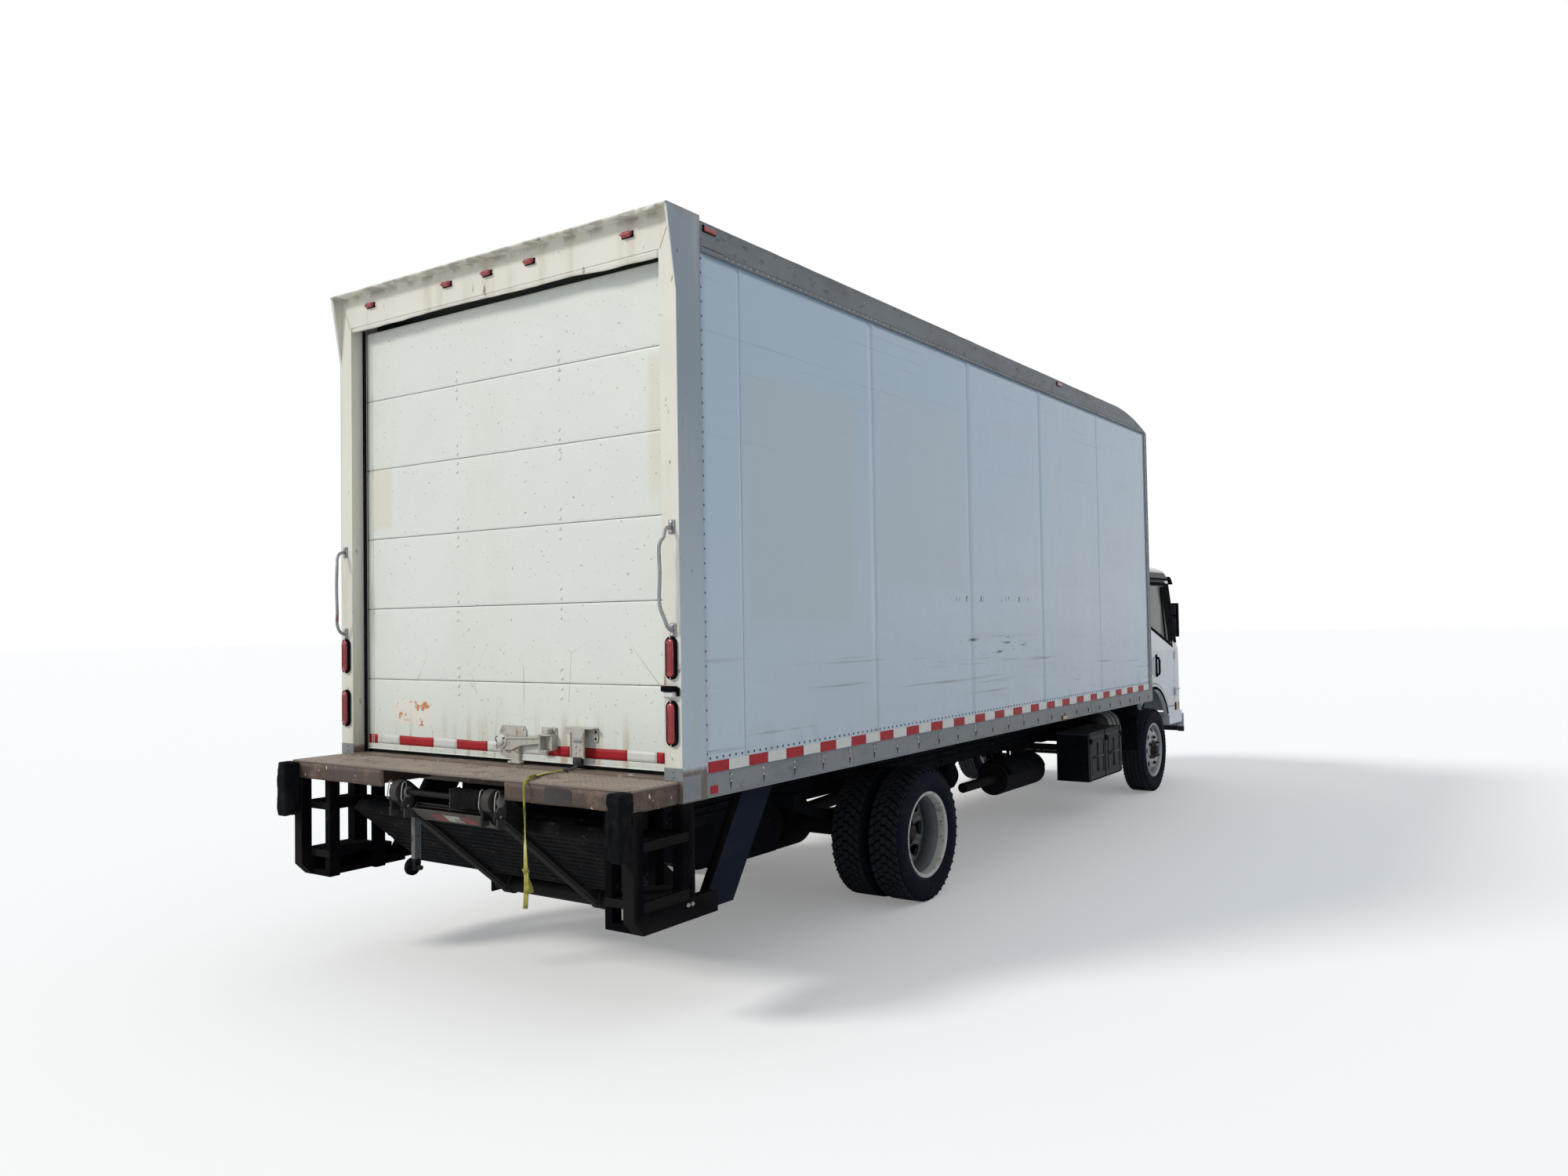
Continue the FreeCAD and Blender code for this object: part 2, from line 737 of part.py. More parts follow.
def front_bumper():
    """Bumper with round corners, on two brackets from the rails."""
    low, high = 500, 690
    front, back, corner = ahead(cab.cab_front + 60), ahead(cab.cab_front - 60), size(110)
    wide, shell = cab.cab_half, size(60)
    plan = [
        (-wide, back), (-wide, front + corner, corner, 1), (-wide + corner, front),
        (wide - corner, front, corner, 1), (wide, front + corner), (wide, back),
        (wide - shell, back), (wide - shell, front + corner, corner - shell, -1),
        (wide - corner, front + shell), (corner - wide, front + shell, corner - shell, -1),
        (shell - wide, front + corner), (shell - wide, back)]
    pieces = [prism("XY", plan, (low, high))]
    for side in (-1, 1):
        pieces.append(block(outward(side, 300, 420), (front + shell, ahead(8200)), (low, 580)))
        pieces.append(block(outward(side, 300, 420), span_ahead(8200, 8340), (580, rail_bottom)))
        pieces.append(block(outward(side, 350, 370), (front + shell, front + shell + 90), (430, low)))
    eyes = rod("X", (-400, front + shell + 45, 468), 800, 18)
    return cut(fuse(*pieces), eyes)


# ---------------------------------------------------------------- wheels and steering

def tyre(centre):
    """A tyre outlined by beads between the rim's flanges, side walls and tread."""
    bead_x = wheel.tyre_width / 2 - wheel.flange_inset - wheel.rim_metal - 2.1
    lip_x = wheel.tyre_width / 2 - wheel.flange_inset - 1
    shoulder, side_wall = wheel.tread_half + 8, size(140)
    bead, lip, top = wheel.rim_radius, wheel.flange_radius + 0.3, wheel.tyre_radius
    return turned([
        (-bead_x, bead), (-bead_x - 1.8, lip), (-lip_x, lip + 2, side_wall, -1), (-shoulder, top - 18),
        (-wheel.tread_half, top), (wheel.tread_half, top), (shoulder, top - 18, side_wall, -1),
        (lip_x, lip + 2), (bead_x + 1.8, lip), (bead_x, bead)], centre)


def rim_barrel(centre):
    """The barrel of a rim with its two flanges."""
    w, metal = wheel.tyre_width / 2 - wheel.flange_inset, wheel.rim_metal
    outer, lip = wheel.rim_radius, wheel.flange_radius
    return turned([
        (-w, outer - metal), (-w, lip), (metal - w, lip), (metal - w + 2, outer),
        (w - metal - 2, outer), (w - metal, lip), (w, lip), (w, outer - metal)], centre)


def dished_disc(face, turn):
    """A disc bolted flat at x = face, then flaring to its barrel along turn (1 or -1)."""
    metal, edge = wheel.rim_metal, wheel.rim_radius - wheel.rim_metal / 2
    flare = size(turn) * metal
    return turned([
        (face, wheel.hub_radius - 8), (face + flare, wheel.hub_radius - 8),
        (face + flare, 166), (face + flare * 4, edge), (face + flare * 2.8, edge), (face, 172)])


def hand_holes(x, start, length):
    """Round holes through a wheel disc, spread evenly."""
    holes = []
    for index in range(8):
        angle = math.radians(45 * index)
        holes.append(rod("X", (start, wheel.hand_hole_circle * math.cos(angle),
                               wheel.hand_hole_circle * math.sin(angle)),
                         length, wheel.hand_hole_radius))
    return holes


def front_rim():
    """Left front rim about its own centre: disc near the outer flange, hub and brake drum."""
    metal = wheel.rim_metal
    plate = rod("X", (size(78) - metal / 2, 0, 0), metal, wheel.rim_radius - metal / 2)
    hub = rod("X", (20, 0, 0), 90, 88)
    cap = rod("X", (110, 0, 0), 26, 52)
    drum = cut(rod("X", (-90, 0, 0), 122, 172), rod("X", (-100, 0, 0), 120, 152))
    bore = rod("X", (0, 0, 0), 62, steer.spindle_radius + steer.play)
    return cut(fuse(rim_barrel(0), plate, hub, cap, drum), bore, *hand_holes(0, 60, 60))


def rear_rims():
    """Left pair of rear rims about the outer tyre's centre, bolted disc to disc."""
    apart = wheel.rear_outer_centre - wheel.rear_inner_centre
    face = -apart / 2
    hub = rod("X", (face - 60, 0, 0), 230, wheel.hub_radius)
    cap = rod("X", (face + 170, 0, 0), 46, 62)
    drum = rod("X", (-apart - 90, 0, 0), apart / 2 + 40, wheel.drum_radius)
    bore = rod("X", (-apart - 120, 0, 0), apart / 2 + 130, wheel.axle_tube_radius + steer.play)
    solid = fuse(rim_barrel(0), rim_barrel(-apart), dished_disc(face, 1), dished_disc(face, -1),
                 hub, cap, drum)
    return cut(solid, bore, *hand_holes(0, face - 48, 110))


def wheel_at(source, side, centre, axle_y):
    """A wheel piece drawn for the left side, set on its axle on either side."""
    piece = source if side > 0 else mirrored(source)
    holder = together(piece)
    return place(holder, size(centre) * side, axle_y, wheel.tyre_radius)


def knuckle(side):
    """Fork round the axle's end, spindle and steering arm."""
    s = side
    x, y = size(s) * steer.kingpin_x, front_axle_y
    low = steer.boss_low - steer.pin_gap - steer.ear_height
    high = steer.boss_high + steer.pin_gap
    web = outward(s, steer.kingpin_x + steer.boss_radius + 6, steer.kingpin_x + 85)
    ears = []
    for level in (low, high):
        ears.append(rod("Z", (x, y, level), steer.ear_height, steer.ear_radius))
        ears.append(block(outward(s, steer.kingpin_x, steer.kingpin_x + 60),
                          (y - steer.ear_radius, y + steer.ear_radius),
                          (level, level + steer.ear_height)))
    spindle_start = steer.kingpin_x + 60
    spindle = rod("X", (spindle_start if s > 0 else -spindle_start - 76, y, wheel.tyre_radius), 76,
                  steer.spindle_radius)
    arm_end = y + steer.arm_back
    arm = fuse(block(outward(s, steer.arm_x - 20, steer.kingpin_x - 16), (arm_end - 30, arm_end + 16),
                     (steer.arm_low, steer.arm_low + steer.arm_height)),
               block(outward(s, steer.kingpin_x - 44, steer.kingpin_x - 16), (y, arm_end + 16),
                     (steer.arm_low, steer.arm_low + steer.arm_height)))
    solid = fuse(*ears, block(web, (y - steer.ear_radius, y + steer.ear_radius),
                              (low, high + steer.ear_height)), spindle, arm)
    pin_hole = rod("Z", (x, y, low - 20), high - low + 100, steer.kingpin_radius + steer.play)
    ball = (size(s) * steer.arm_x, arm_end, steer.arm_low)
    if s > 0:
        return cut(solid, pin_hole, rod("Z", ball, 60, steer.ball_radius + steer.play))
    stud = rod("Z", ball, steer.tie_z - steer.tie_radius - 5 - steer.arm_low, steer.ball_radius)
    return cut(fuse(solid, stud), pin_hole)


def tie_rod():
    """Rod between the steering arms; its left pin turns in the left arm, its right end is open."""
    y = front_axle_y + steer.arm_back
    pieces = [rod("X", (-steer.arm_x, y, steer.tie_z), steer.arm_x * 2, steer.tie_radius)]
    pieces.append(rod("Z", (steer.arm_x, y, steer.arm_low), steer.tie_z - steer.arm_low,
                      steer.ball_radius))
    return fuse(*pieces)


# ---------------------------------------------------------------- cab

# height, front ahead, back ahead, half width, front corner radius, back corner radius
CAB_SECTIONS = (
    (710, 8620, 6905, 996, 200, 60),
    (1380, 8590, 6905, 1004, 210, 60),
    (1420, 8550, 6905, 1002, 210, 60),
    (2120, 8420, 6920, 950, 170, 70),
    (2190, 8340, 6945, 926, 160, 80),
    (2220, 8210, 7000, 880, 150, 80))


def cab_section(row, inset, height=None):
    """A level section of the cab: a rectangle with round corners."""
    z, front, back, wide, front_corner, back_corner = [size(value) for value in row]
    z = z if height is None else size(height)
    front, back, wide = ahead(front - inset), ahead(back + inset), wide - inset
    front_corner, back_corner = front_corner - inset, back_corner - min(inset, 30)
    sketch = doc.addObject("Sketcher::SketchObject", "Section")
    draw(sketch, [
        (-wide, front + front_corner, front_corner, 1), (front_corner - wide, front),
        (wide - front_corner, front, front_corner, 1), (wide, front + front_corner),
        (wide, back - back_corner, back_corner, 1), (wide - back_corner, back),
        (back_corner - wide, back, back_corner, 1), (-wide, back - back_corner)])
    place(sketch, 0, 0, z)
    return sketch


def cab_form(inset, bottom=None, top=None):
    """The cab's outer form, drawn in by an inset."""
    sections = [cab_section(row, inset) for row in CAB_SECTIONS]
    if bottom is not None:
        sections[0] = cab_section(CAB_SECTIONS[0], inset, bottom)
    if top is not None:
        sections[-1] = cab_section(CAB_SECTIONS[-1], inset, top)
    loft = doc.addObject("Part::Loft", "Form")
    loft.Sections = sections
    loft.Solid = True
    loft.Ruled = True
    return loft


def door_outline(grow):
    """Side outline of a cab door; its lower rear edge follows the wheel arch."""
    front, back = ahead(cab.door_front + grow), ahead(cab.door_rear - grow)
    sweep = cab.arch_radius + 60 - grow
    centre_y, centre_z = front_axle_y, cab.arch_height
    low = size(800) - grow
    low_run = root(sweep * sweep - (low - centre_z) * (low - centre_z))
    high = centre_z + sweep
    return [
        (front, low), (centre_y - low_run, low, sweep, -1), (centre_y, high), (back, high),
        (back, size(2080) + grow), (ahead(size(8165) + grow * 0.5), size(2080) + grow),
        (front, size(1470) + grow * 0.5)]


def window_outline(grow):
    """Side outline of a door's window, its sill falling to the front."""
    front, back = ahead(size(8190) + grow), ahead(size(7470) - grow)
    return [(front, size(1430) - grow), (back, size(1640) - grow), (back, size(2030) + grow),
            (ahead(size(8105) + grow * 0.5), size(2030) + grow), (front, size(1540) + grow * 0.5)]


def windshield_outline(grow):
    """Front outline of the windshield."""
    return [(-size(860) - grow, size(1460) - grow), (size(860) + grow, size(1460) - grow),
            (size(800) + grow, size(2050) + grow), (-size(800) - grow, size(2050) + grow)]


def rear_window_outline(grow):
    return [(-size(520) - grow, size(1560) - grow), (size(520) + grow, size(1560) - grow),
            (size(520) + grow, size(1960) + grow), (-size(520) - grow, size(1960) + grow)]


FULL = (-1100, 1100)


def cab_walls():
    """Walls and roof of the cab, hollow, with the wheel arches cut."""
    outer = cab_form(0)
    hollow = cab_form(cab.cab_wall.value, bottom=600, top=cab.roof - cab.cab_wall)
    arch = rod("X", (-1100, front_axle_y, cab.arch_height), 2200, cab.arch_radius)
    behind = block(FULL, span_ahead(6800, 7180), (600, 950))
    return cut(outer, hollow, arch, behind)


# low z of the two hinges of a cab door
DOOR_HINGES = (900, 1280)
# inner x, outer x, low z, high z of a headlamp, and how far ahead its back lies
LAMP = (560, 790, 770, 930)
LAMP_BACK = 8606


def door_pin_at(side, height):
    return size(side) * cab.door_pin_x, ahead(cab.door_pin_ahead), size(height)


def door_pin_room(side):
    """Room round both hinges of one door."""
    tall = cab.door_knuckle_height * 3
    return [rod("Z", door_pin_at(side, low - 6), tall + 12, cab.door_knuckle_radius + 6)
            for low in DOOR_HINGES]


def door_pins(side):
    """The cab's half of one door's hinges: pins held in knuckles above and below."""
    tall, radius = cab.door_knuckle_height, cab.door_knuckle_radius
    pieces = []
    for low in DOOR_HINGES:
        pieces.append(rod("Z", door_pin_at(side, low), tall * 3, cab.door_pin_radius))
        for level in (size(low), low + tall * 2):
            pieces.append(rod("Z", door_pin_at(side, level), tall, radius))
            pieces.append(block(outward(side, cab.door_pin_x - 30, cab.door_pin_x - 2),
                                span_ahead(cab.door_pin_ahead, cab.door_pin_ahead + 40),
                                (level, level + tall)))
    return pieces


def door_knuckles(side):
    """The door's half of its hinges."""
    pieces = []
    for low in DOOR_HINGES:
        level = low + cab.door_knuckle_height + 1
        tall = cab.door_knuckle_height - 2
        pieces.append(fuse(
            rod("Z", door_pin_at(side, level), tall, cab.door_knuckle_radius),
            block(outward(side, cab.door_pin_x - 30, cab.door_pin_x - 2),
                  span_ahead(cab.door_pin_ahead - 40, cab.door_pin_ahead), (level, level + tall))))
    return pieces


def cab_shell(walls):
    """Cab body without its doors: openings cut, floor and hinge lugs added."""
    side_span = (-1100, 1100)
    doors = prism("YZ", door_outline(cab.door_gap), side_span)
    front_cut = prism("XZ", windshield_outline(0), span_ahead(8000, 8700))
    rear_cut = prism("XZ", rear_window_outline(0), span_ahead(6850, 7100))
    inside = cab.cab_half - cab.cab_wall - 16
    floor_z = (cab.floor_bottom, cab.floor_bottom + cab.floor_thickness)
    floor = block((-inside, inside), span_ahead(cab.cab_back + 20, cab.cab_front - 240), floor_z)
    toe = block((-inside + 160, inside - 160), span_ahead(cab.cab_front - 260, cab.cab_front - 20),
                floor_z)
    pieces = [cut(walls, doors, front_cut, rear_cut), floor, toe]
    pin_y, pin_z = ahead(cab.hinge_ahead), cab.hinge_height
    for side in (-1, 1):
        for near in (344, 426):
            lug = block(outward(side, near, near + 34), (ahead(cab.cab_front - 30), pin_y + 30),
                        (pin_z - 30, cab.floor_bottom + 10))
            pieces.append(lug)
        pieces.append(block(outward(side, 925, 992), span_ahead(8080, 8535), (610, 730)))
    solid = fuse(*pieces)
    away = [rod("X", (-470, pin_y, pin_z), 940, cab.hinge_radius + steer.play),
            rod("X", (-1100, front_axle_y, cab.arch_height), 2200, cab.arch_radius)]
    play = steer.play
    for side in (-1, 1):
        away.append(block(outward(side, size(LAMP[0]) - play, size(LAMP[1]) + play),
                          span_ahead(size(LAMP_BACK) - play, 8700),
                          (size(LAMP[2]) - play, size(LAMP[3]) + play)))
    away += door_pin_room(-1) + door_pin_room(1)
    return fuse(cut(solid, *away), *door_pins(-1), *door_pins(1))


def cab_door(side, walls):
    """One door with its window opening."""
    outline = prism("YZ", door_outline(0), outward(side, 860, 1100))
    window = prism("YZ", window_outline(0), outward(side, 800, 1100))
    leaf = cut(common(walls, outline), window, *door_pin_room(side))
    bores = [rod("Z", door_pin_at(side, low), cab.door_knuckle_height * 3,
                 cab.door_pin_radius + steer.play) for low in DOOR_HINGES]
    return cut(fuse(leaf, *door_knuckles(side)), *bores)


def glass_skin():
    """A thin skin inside the cab's outer form, from which the panes are taken."""
    return cut(cab_form(cab.glass_inset.value), cab_form((cab.glass_inset + cab.glass).value,
                                                         bottom=600, top=cab.roof - 40))


def cab_glass(skin_form):
    """Windshield and rear window, held in their openings' edges."""
    front = common(skin_form, prism("XZ", windshield_outline(-0.3), span_ahead(8000, 8700)))
    back = common(skin_form, prism("XZ", rear_window_outline(-0.3), span_ahead(6850, 7100)))
    return together(front, back)


def door_glass(side, skin_form):
    return common(skin_form, prism("YZ", window_outline(-0.3), outward(side, 800, 1100)))


def seats():
    """Driver's seat and a wider passenger bench on their bases."""
    floor = cab.floor_bottom + cab.floor_thickness
    pieces = []
    # low x, high x
    for low, high in ((280, 760), (-760, 200)):
        pieces.append(fuse(
            block((low + 30, high - 30), span_ahead(7080, 7480), (floor, floor + 130)),
            block((low, high), span_ahead(7060, 7560), (floor + 130, floor + 280)),
            slanted_bar((low, high), (ahead(7120), floor + 260), (ahead(7030), floor + 840), 110)))
    return together(*pieces)


def dashboard():
    """Dashboard across the cab with the steering column and wheel."""
    floor = cab.floor_bottom + cab.floor_thickness
    top = size(1430)
    panel = prism("YZ", [
        (ahead(8470), floor), (ahead(8470), top), (ahead(8180), top), (ahead(8090), top - 90),
        (ahead(8150), floor + 60), (ahead(8260), floor)], (-820, 820))
    centre = (ahead(7920), size(1530))
    foot = (ahead(8180), size(1370))
    column = slanted_rod(500, foot, centre, 22)
    ring = doc.addObject("Part::Torus", "SteeringRim")
    bind(ring, "Radius1", 200)
    bind(ring, "Radius2", 14)
    tilt = Rotation(Vector(0, 0, 1), Vector(0, (centre[0] - foot[0]).value,
                                            (centre[1] - foot[1]).value))
    place(ring, 500, *centre, rotation=tilt)
    hub = slanted_rod(500, (centre[0] - 14, centre[1] - 8), (centre[0] + 10, centre[1] + 6), 60)
    spoke = doc.addObject("Part::Box", "Spoke")
    bind(spoke, "Length", 400)
    bind(spoke, "Width", 40)
    bind(spoke, "Height", 12)
    across = tilt.multVec(Vector(-200, -20, -6))
    place(spoke, size(500) + across.x, centre[0] + across.y, centre[1] + across.z, rotation=tilt)
    return fuse(panel, column, ring, hub, spoke)


def headlamps():
    """Headlamps and turn lamps on the front of the cab."""
    lamps = []
    for side in (-1, 1):
        lamps.append(block(outward(side, LAMP[0], LAMP[1]), span_ahead(LAMP_BACK, LAMP_BACK + 30),
                           (LAMP[2], LAMP[3])))
    return together(*lamps)


def mirrors():
    """Mirror heads on arms, folded in ahead of the windshield pillars."""
    sides = []
    for side in (-1, 1):
        x = outward(side, 770, 950)
        sides.append(cut(fuse(
            block(x, span_ahead(8615, 8670), (1500, 1860)),
            slanted_rod(size(side * 850), (ahead(8330), 2050), (ahead(8640), 1850), 11),
            slanted_rod(size(side * 850), (ahead(8510), 1380), (ahead(8640), 1520), 11)),
            cab_form(-steer.play.value)))
    return together(*sides)


# ---------------------------------------------------------------- liftgate

heel = (ahead(gate.heel_ahead), gate.heel_height)
pin = (body.rear_face + gate.pin_back, gate.pin_height)
reach_y, reach_z = pin[0] - heel[0], pin[1] - heel[1]
arm_length = root(reach_y * reach_y + reach_z * reach_z)


def along_arm(distance, offset=0):
    """The (y, z) point a distance up the arm from its heel, offset square to it."""
    return (heel[0] + size(distance) * reach_y / arm_length - size(offset) * reach_z / arm_length,
            heel[1] + size(distance) * reach_z / arm_length + size(offset) * reach_y / arm_length)


lug = along_arm(0, gate.lug_radius)
barrel_pin = (ahead(gate.barrel_ahead), gate.barrel_height)


def liftgate_frame():
    """Hanging plates on the rails, the heel pins and the cross tube of the cylinder."""
    pieces = []
    outer = chassis.rail_half_width
    for side in (-1, 1):
        pieces.append(prism("YZ", [
            (heel[0] - 50, heel[1] - 50), (heel[0] + 50, heel[1] - 50), (heel[0] + 50, heel[1] + 60),
            (heel[0] - 30, rail_bottom + 150), (heel[0] - 380, rail_bottom + 150),
            (heel[0] - 380, rail_bottom)], outward(side, outer, outer + 12)))
        pin_span = outward(side, outer - 50, outer + 12)
        pieces.append(rod("X", (pin_span[0], *heel), 62, gate.heel_pin_radius))
    tube_z = barrel_pin[1] + 84
    pieces.append(rod("X", (-rail_web, barrel_pin[0], tube_z), rail_web * 2, 34))
    for side in (-1, 1):
        pieces.append(block(outward(side, 30, 42), (barrel_pin[0] - 30, barrel_pin[0] + 30),
                            (barrel_pin[1] - 30, tube_z)))
    pieces.append(rod("X", (-42, *barrel_pin), 84, gate.pin_radius))
    return fuse(*pieces)


def lift_arms():
    """Two arms on a heel tube, their cross bar, the cylinder's lug and the platform's strut."""
    span, width = gate.arm_half_span, gate.arm_width
    pieces = []
    for side in (-1, 1):
        x = outward(side, span - width / 2, span + width / 2)
        pieces.append(slanted_bar(x, heel, along_arm(arm_length), gate.arm_depth))
        pieces.append(rod("X", (x[0], *pin), width, gate.arm_depth / 2))
        pieces.append(rod("X", (x[0], *heel), width, gate.arm_depth / 2))
    tube_half = chassis.rail_half_width - 5
    pieces.append(rod("X", (-tube_half, *heel), tube_half * 2, gate.heel_radius))
    pieces.append(rod("X", (-span, *along_arm(arm_length - 130, -20)), span * 2, 34))
    pieces.append(slanted_bar((-span + 55, span - 55), along_arm(arm_length - 190, -24),
                              along_arm(arm_length - 70, -16), 10))
    for x in ((-29, -15), (15, 29)):
        pieces.append(slanted_bar(x, heel, along_arm(0, gate.lug_radius + 25), 70))
    pieces.append(rod("X", (-29, *lug), 58, gate.lug_pin_radius))
    strut = size(span + 3)
    pieces.append(block((strut - 15, strut + 15), (body.rear_face + 180, body.rear_face + 212),
                        (580, 800)))
    pieces.append(rod("X", (strut - 40, body.rear_face + 196, 545), 80, 12))
    pieces.append(block((strut - 15, strut + 15), (body.rear_face + 180, body.rear_face + 212),
                        (530, 580)))
    solid = fuse(*pieces)
    bore_length = 54
    bores = [rod("X", (-chassis.rail_half_width, *heel), bore_length,
                 gate.heel_pin_radius + steer.play),
             rod("X", (chassis.rail_half_width - bore_length, *heel), bore_length,
                 gate.heel_pin_radius + steer.play),
             rod("X", (-span - 60, *pin), span * 2 + 120, gate.pin_radius + steer.play)]
    return cut(solid, *bores)


def opener_roller():
    """Roller at the foot of the strut."""
    strut = gate.arm_half_span + 3
    y = body.rear_face + 196
    roller = rod("X", (strut + 18, y, 545), 20, 43)
    return cut(roller, rod("X", (strut, y, 545), 60, 12.3))


def liftgate_platform():
    """The folded platform: a main slab and the flip-over slab on it, slotted for the arms."""
    half_slab, slot = gate.slab_half, gate.slot_half
    span = gate.arm_half_span
    start, end = along_arm(gate.slab_start), along_arm(gate.slab_end)
    slabs = []
    for x in ((-half_slab, -span - slot), (slot - span, span - slot), (span + slot, half_slab)):
        slabs.append(slanted_bar(x, start, end, gate.slab_thickness))
    slabs.append(slanted_bar((-half_slab, half_slab), along_arm(gate.slab_start, 74),
                             along_arm(gate.slab_end - 60, 74), 34))
    for x in (-half_slab, half_slab - 60, -span - slot - 60, span + slot, slot - span,
              span - slot - 60):
        slabs.append(slanted_bar((x, x + 60), along_arm(gate.slab_start, 42),
                                 along_arm(gate.slab_end - 60, 42), 40))
    # pads that fill the slots beside the arms
    for side in (-1, 1):
        for inner_x, outer_x in ((span - slot, span - gate.arm_width / 2),
                                 (span + gate.arm_width / 2, span + slot)):
            slabs.append(slanted_bar(outward(side, inner_x, outer_x), along_arm(gate.slab_start + 40),
                                     along_arm(gate.slab_start + 120), gate.slab_thickness))
    return fuse(*slabs)


def liftgate_shackles():
    """Pairs of link plates on a pin through both arms, with the spring's sleeve."""
    pieces = [rod("X", (-gate.arm_half_span - 48, *pin), gate.arm_half_span * 2 + 96, gate.pin_radius)]
    for side in (-1, 1):
        for near in (gate.arm_half_span - gate.arm_width / 2 - 22,
                     gate.arm_half_span + gate.arm_width / 2 + 8):
            pieces.append(block(outward(side, near, near + 14), (pin[0] - 32, pin[0] + 32),
                                (pin[1] - 90, pin[1] + 34)))
    pieces.append(rod("X", (-270, *pin), 200, 34))
    return fuse(*pieces)


def cylinder_line(distance):
    """A (y, z) point along the lift cylinder, from its rear pin."""
    dy, dz = lug[0] - barrel_pin[0], lug[1] - barrel_pin[1]
    length = root(dy * dy + dz * dz)
    return barrel_pin[0] + size(distance) * dy / length, barrel_pin[1] + size(distance) * dz / length


BARREL_START = 80
BARREL_LENGTH = 480
ROD_START = 160


def lift_cylinder_barrel():
    """Barrel with its eye on the frame's pin, hollow for the rod."""
    eye = rod("X", (-24, *barrel_pin), 48, 34)
    neck = slanted_bar((-24, 24), cylinder_line(10), cylinder_line(BARREL_START + 10), 40)
    tube = slanted_rod(0, cylinder_line(BARREL_START), cylinder_line(BARREL_LENGTH),
                       gate.barrel_radius)
    bore = slanted_rod(0, cylinder_line(ROD_START - 60), cylinder_line(BARREL_LENGTH + 10),
                       gate.rod_radius + 0.5)
    return cut(fuse(eye, neck, tube), rod("X", (-60, *barrel_pin), 120, gate.pin_radius + steer.play), bore)


def lift_cylinder_rod():
    """Rod with its eye at the arm's lug."""
    shaft = slanted_rod(0, cylinder_line(ROD_START), lug, gate.rod_radius)
    eye = rod("X", (-9, *lug), 18, 30)
    return cut(fuse(common(shaft, block((-9, 9), (lug[0] - 100, lug[0] + 40), (0, 2000))), eye,
                    slanted_rod(0, cylinder_line(ROD_START), cylinder_line(580), gate.rod_radius)),
               rod("X", (-60, *lug), 120, gate.open_eye_radius))


# ---------------------------------------------------------------- tie strap

# x, y behind the rear face, z of the strap's route, from the handle to its hanging end
STRAP_POINTS = (
    (-550, -39, 1099.7), (-550, -39, 1072), (-538, -20, 1056), (-510, 6, 1054.6), (-486, 46, 1049),
    (-482, 105, 1047), (-496, 172, 1047), (-520, 232, 1047.5), (-540, 286, 1051),
    (-553, 326, 1050.5), (-560, 341, 1020), (-565, 343, 950), (-570, 345, 830), (-577, 350, 700),
    (-582, 347, 600), (-576, 352, 510))
STRAP_RADIUS = 6


def tie_strap():
    """The strap as a round tube of straight runs joined by tangent arcs."""
    points = [Vector(x, body.rear_face.value + y, z) for x, y, z in STRAP_POINTS]
    edges, at, radii = [], points[0], []
    for before, corner, after in zip(points, points[1:], points[2:]):
        back, forth = before - corner, after - corner
        run = min(back.Length, forth.Length)
        turn = math.pi - back.getAngle(forth)
        cut_back = 0.45 * run
        radii.append(cut_back / math.tan(turn / 2))
        start = corner + back.normalize() * cut_back
        end = corner + forth.normalize() * cut_back
        bisector = (start + end) / 2 - corner
        centre = corner + bisector.normalize() * math.hypot(cut_back, radii[-1])
        middle = centre + (corner - centre).normalize() * radii[-1]
        edges += [Part.LineSegment(at, start).toShape(), Part.Arc(start, middle, end).toShape()]
        at = end
    edges.append(Part.LineSegment(at, points[-1]).toShape())
    path = Part.Wire(edges)
    circle = Part.Circle(points[0], points[1] - points[0], STRAP_RADIUS)
    profile = Part.Wire([circle.toShape()])
    solid = path.makePipeShell([profile], True, True)
    length = sum(edge.Length for edge in edges)
    print("strap length", round(length), "radii", [round(r) for r in radii],
          "volume ratio", round(solid.Volume / (math.pi * STRAP_RADIUS ** 2 * length), 3))
    feature = doc.addObject("Part::Feature", "Strap")
    feature.Shape = solid
    return feature


# ---------------------------------------------------------------- assembly

def build():
    """Make every sub-part."""
    simple = (cargo_roof, cargo_front_wall, cargo_floor, cross_sills, long_sills, rear_frame, rear_door,
              door_hardware, rear_lamps, grab_handles, dock_plate, dock_bumpers, side_steps,
              chassis_rails, cross_members, engine, driveline, front_axle, leaf_springs, rear_axle, fuel_tank,
              exhaust, battery_box, air_cleaner, mudguards, front_bumper, tie_rod, seats,
              dashboard, headlamps, mirrors, liftgate_frame, lift_arms, opener_roller,
              liftgate_platform, liftgate_shackles, lift_cylinder_barrel, lift_cylinder_rod,
              tie_strap)
    for maker in simple:
        node(maker.__name__, maker())
    node("cargo_rails", side_rails())
    tyre_form, front_form, rear_form = tyre(0), front_rim(), rear_rims()
    tyre_pair = together(tyre_form, place(together(tyre_form), wheel.rear_inner_centre
                                          - wheel.rear_outer_centre, 0, 0))
    walls, skin_form = cab_walls(), glass_skin()
    node("cab_shell", cab_shell(walls))
    node("cab_glass", cab_glass(skin_form))
    for side, word in ((1, "left"), (-1, "right")):
        node("cargo_side_" + word, cargo_side(side))
        node("front_tyre_" + word, wheel_at(tyre_form, side, wheel.front_centre, front_axle_y))
        node("front_rim_" + word, wheel_at(front_form, side, wheel.front_centre, front_axle_y))
        node("rear_tyres_" + word, wheel_at(tyre_pair, side, wheel.rear_outer_centre, rear_axle_y))
        node("rear_rims_" + word, wheel_at(rear_form, side, wheel.rear_outer_centre, rear_axle_y))
        node("knuckle_" + word, knuckle(side))
        node("cab_door_" + word, cab_door(side, walls))
        node("door_glass_" + word, door_glass(side, skin_form))


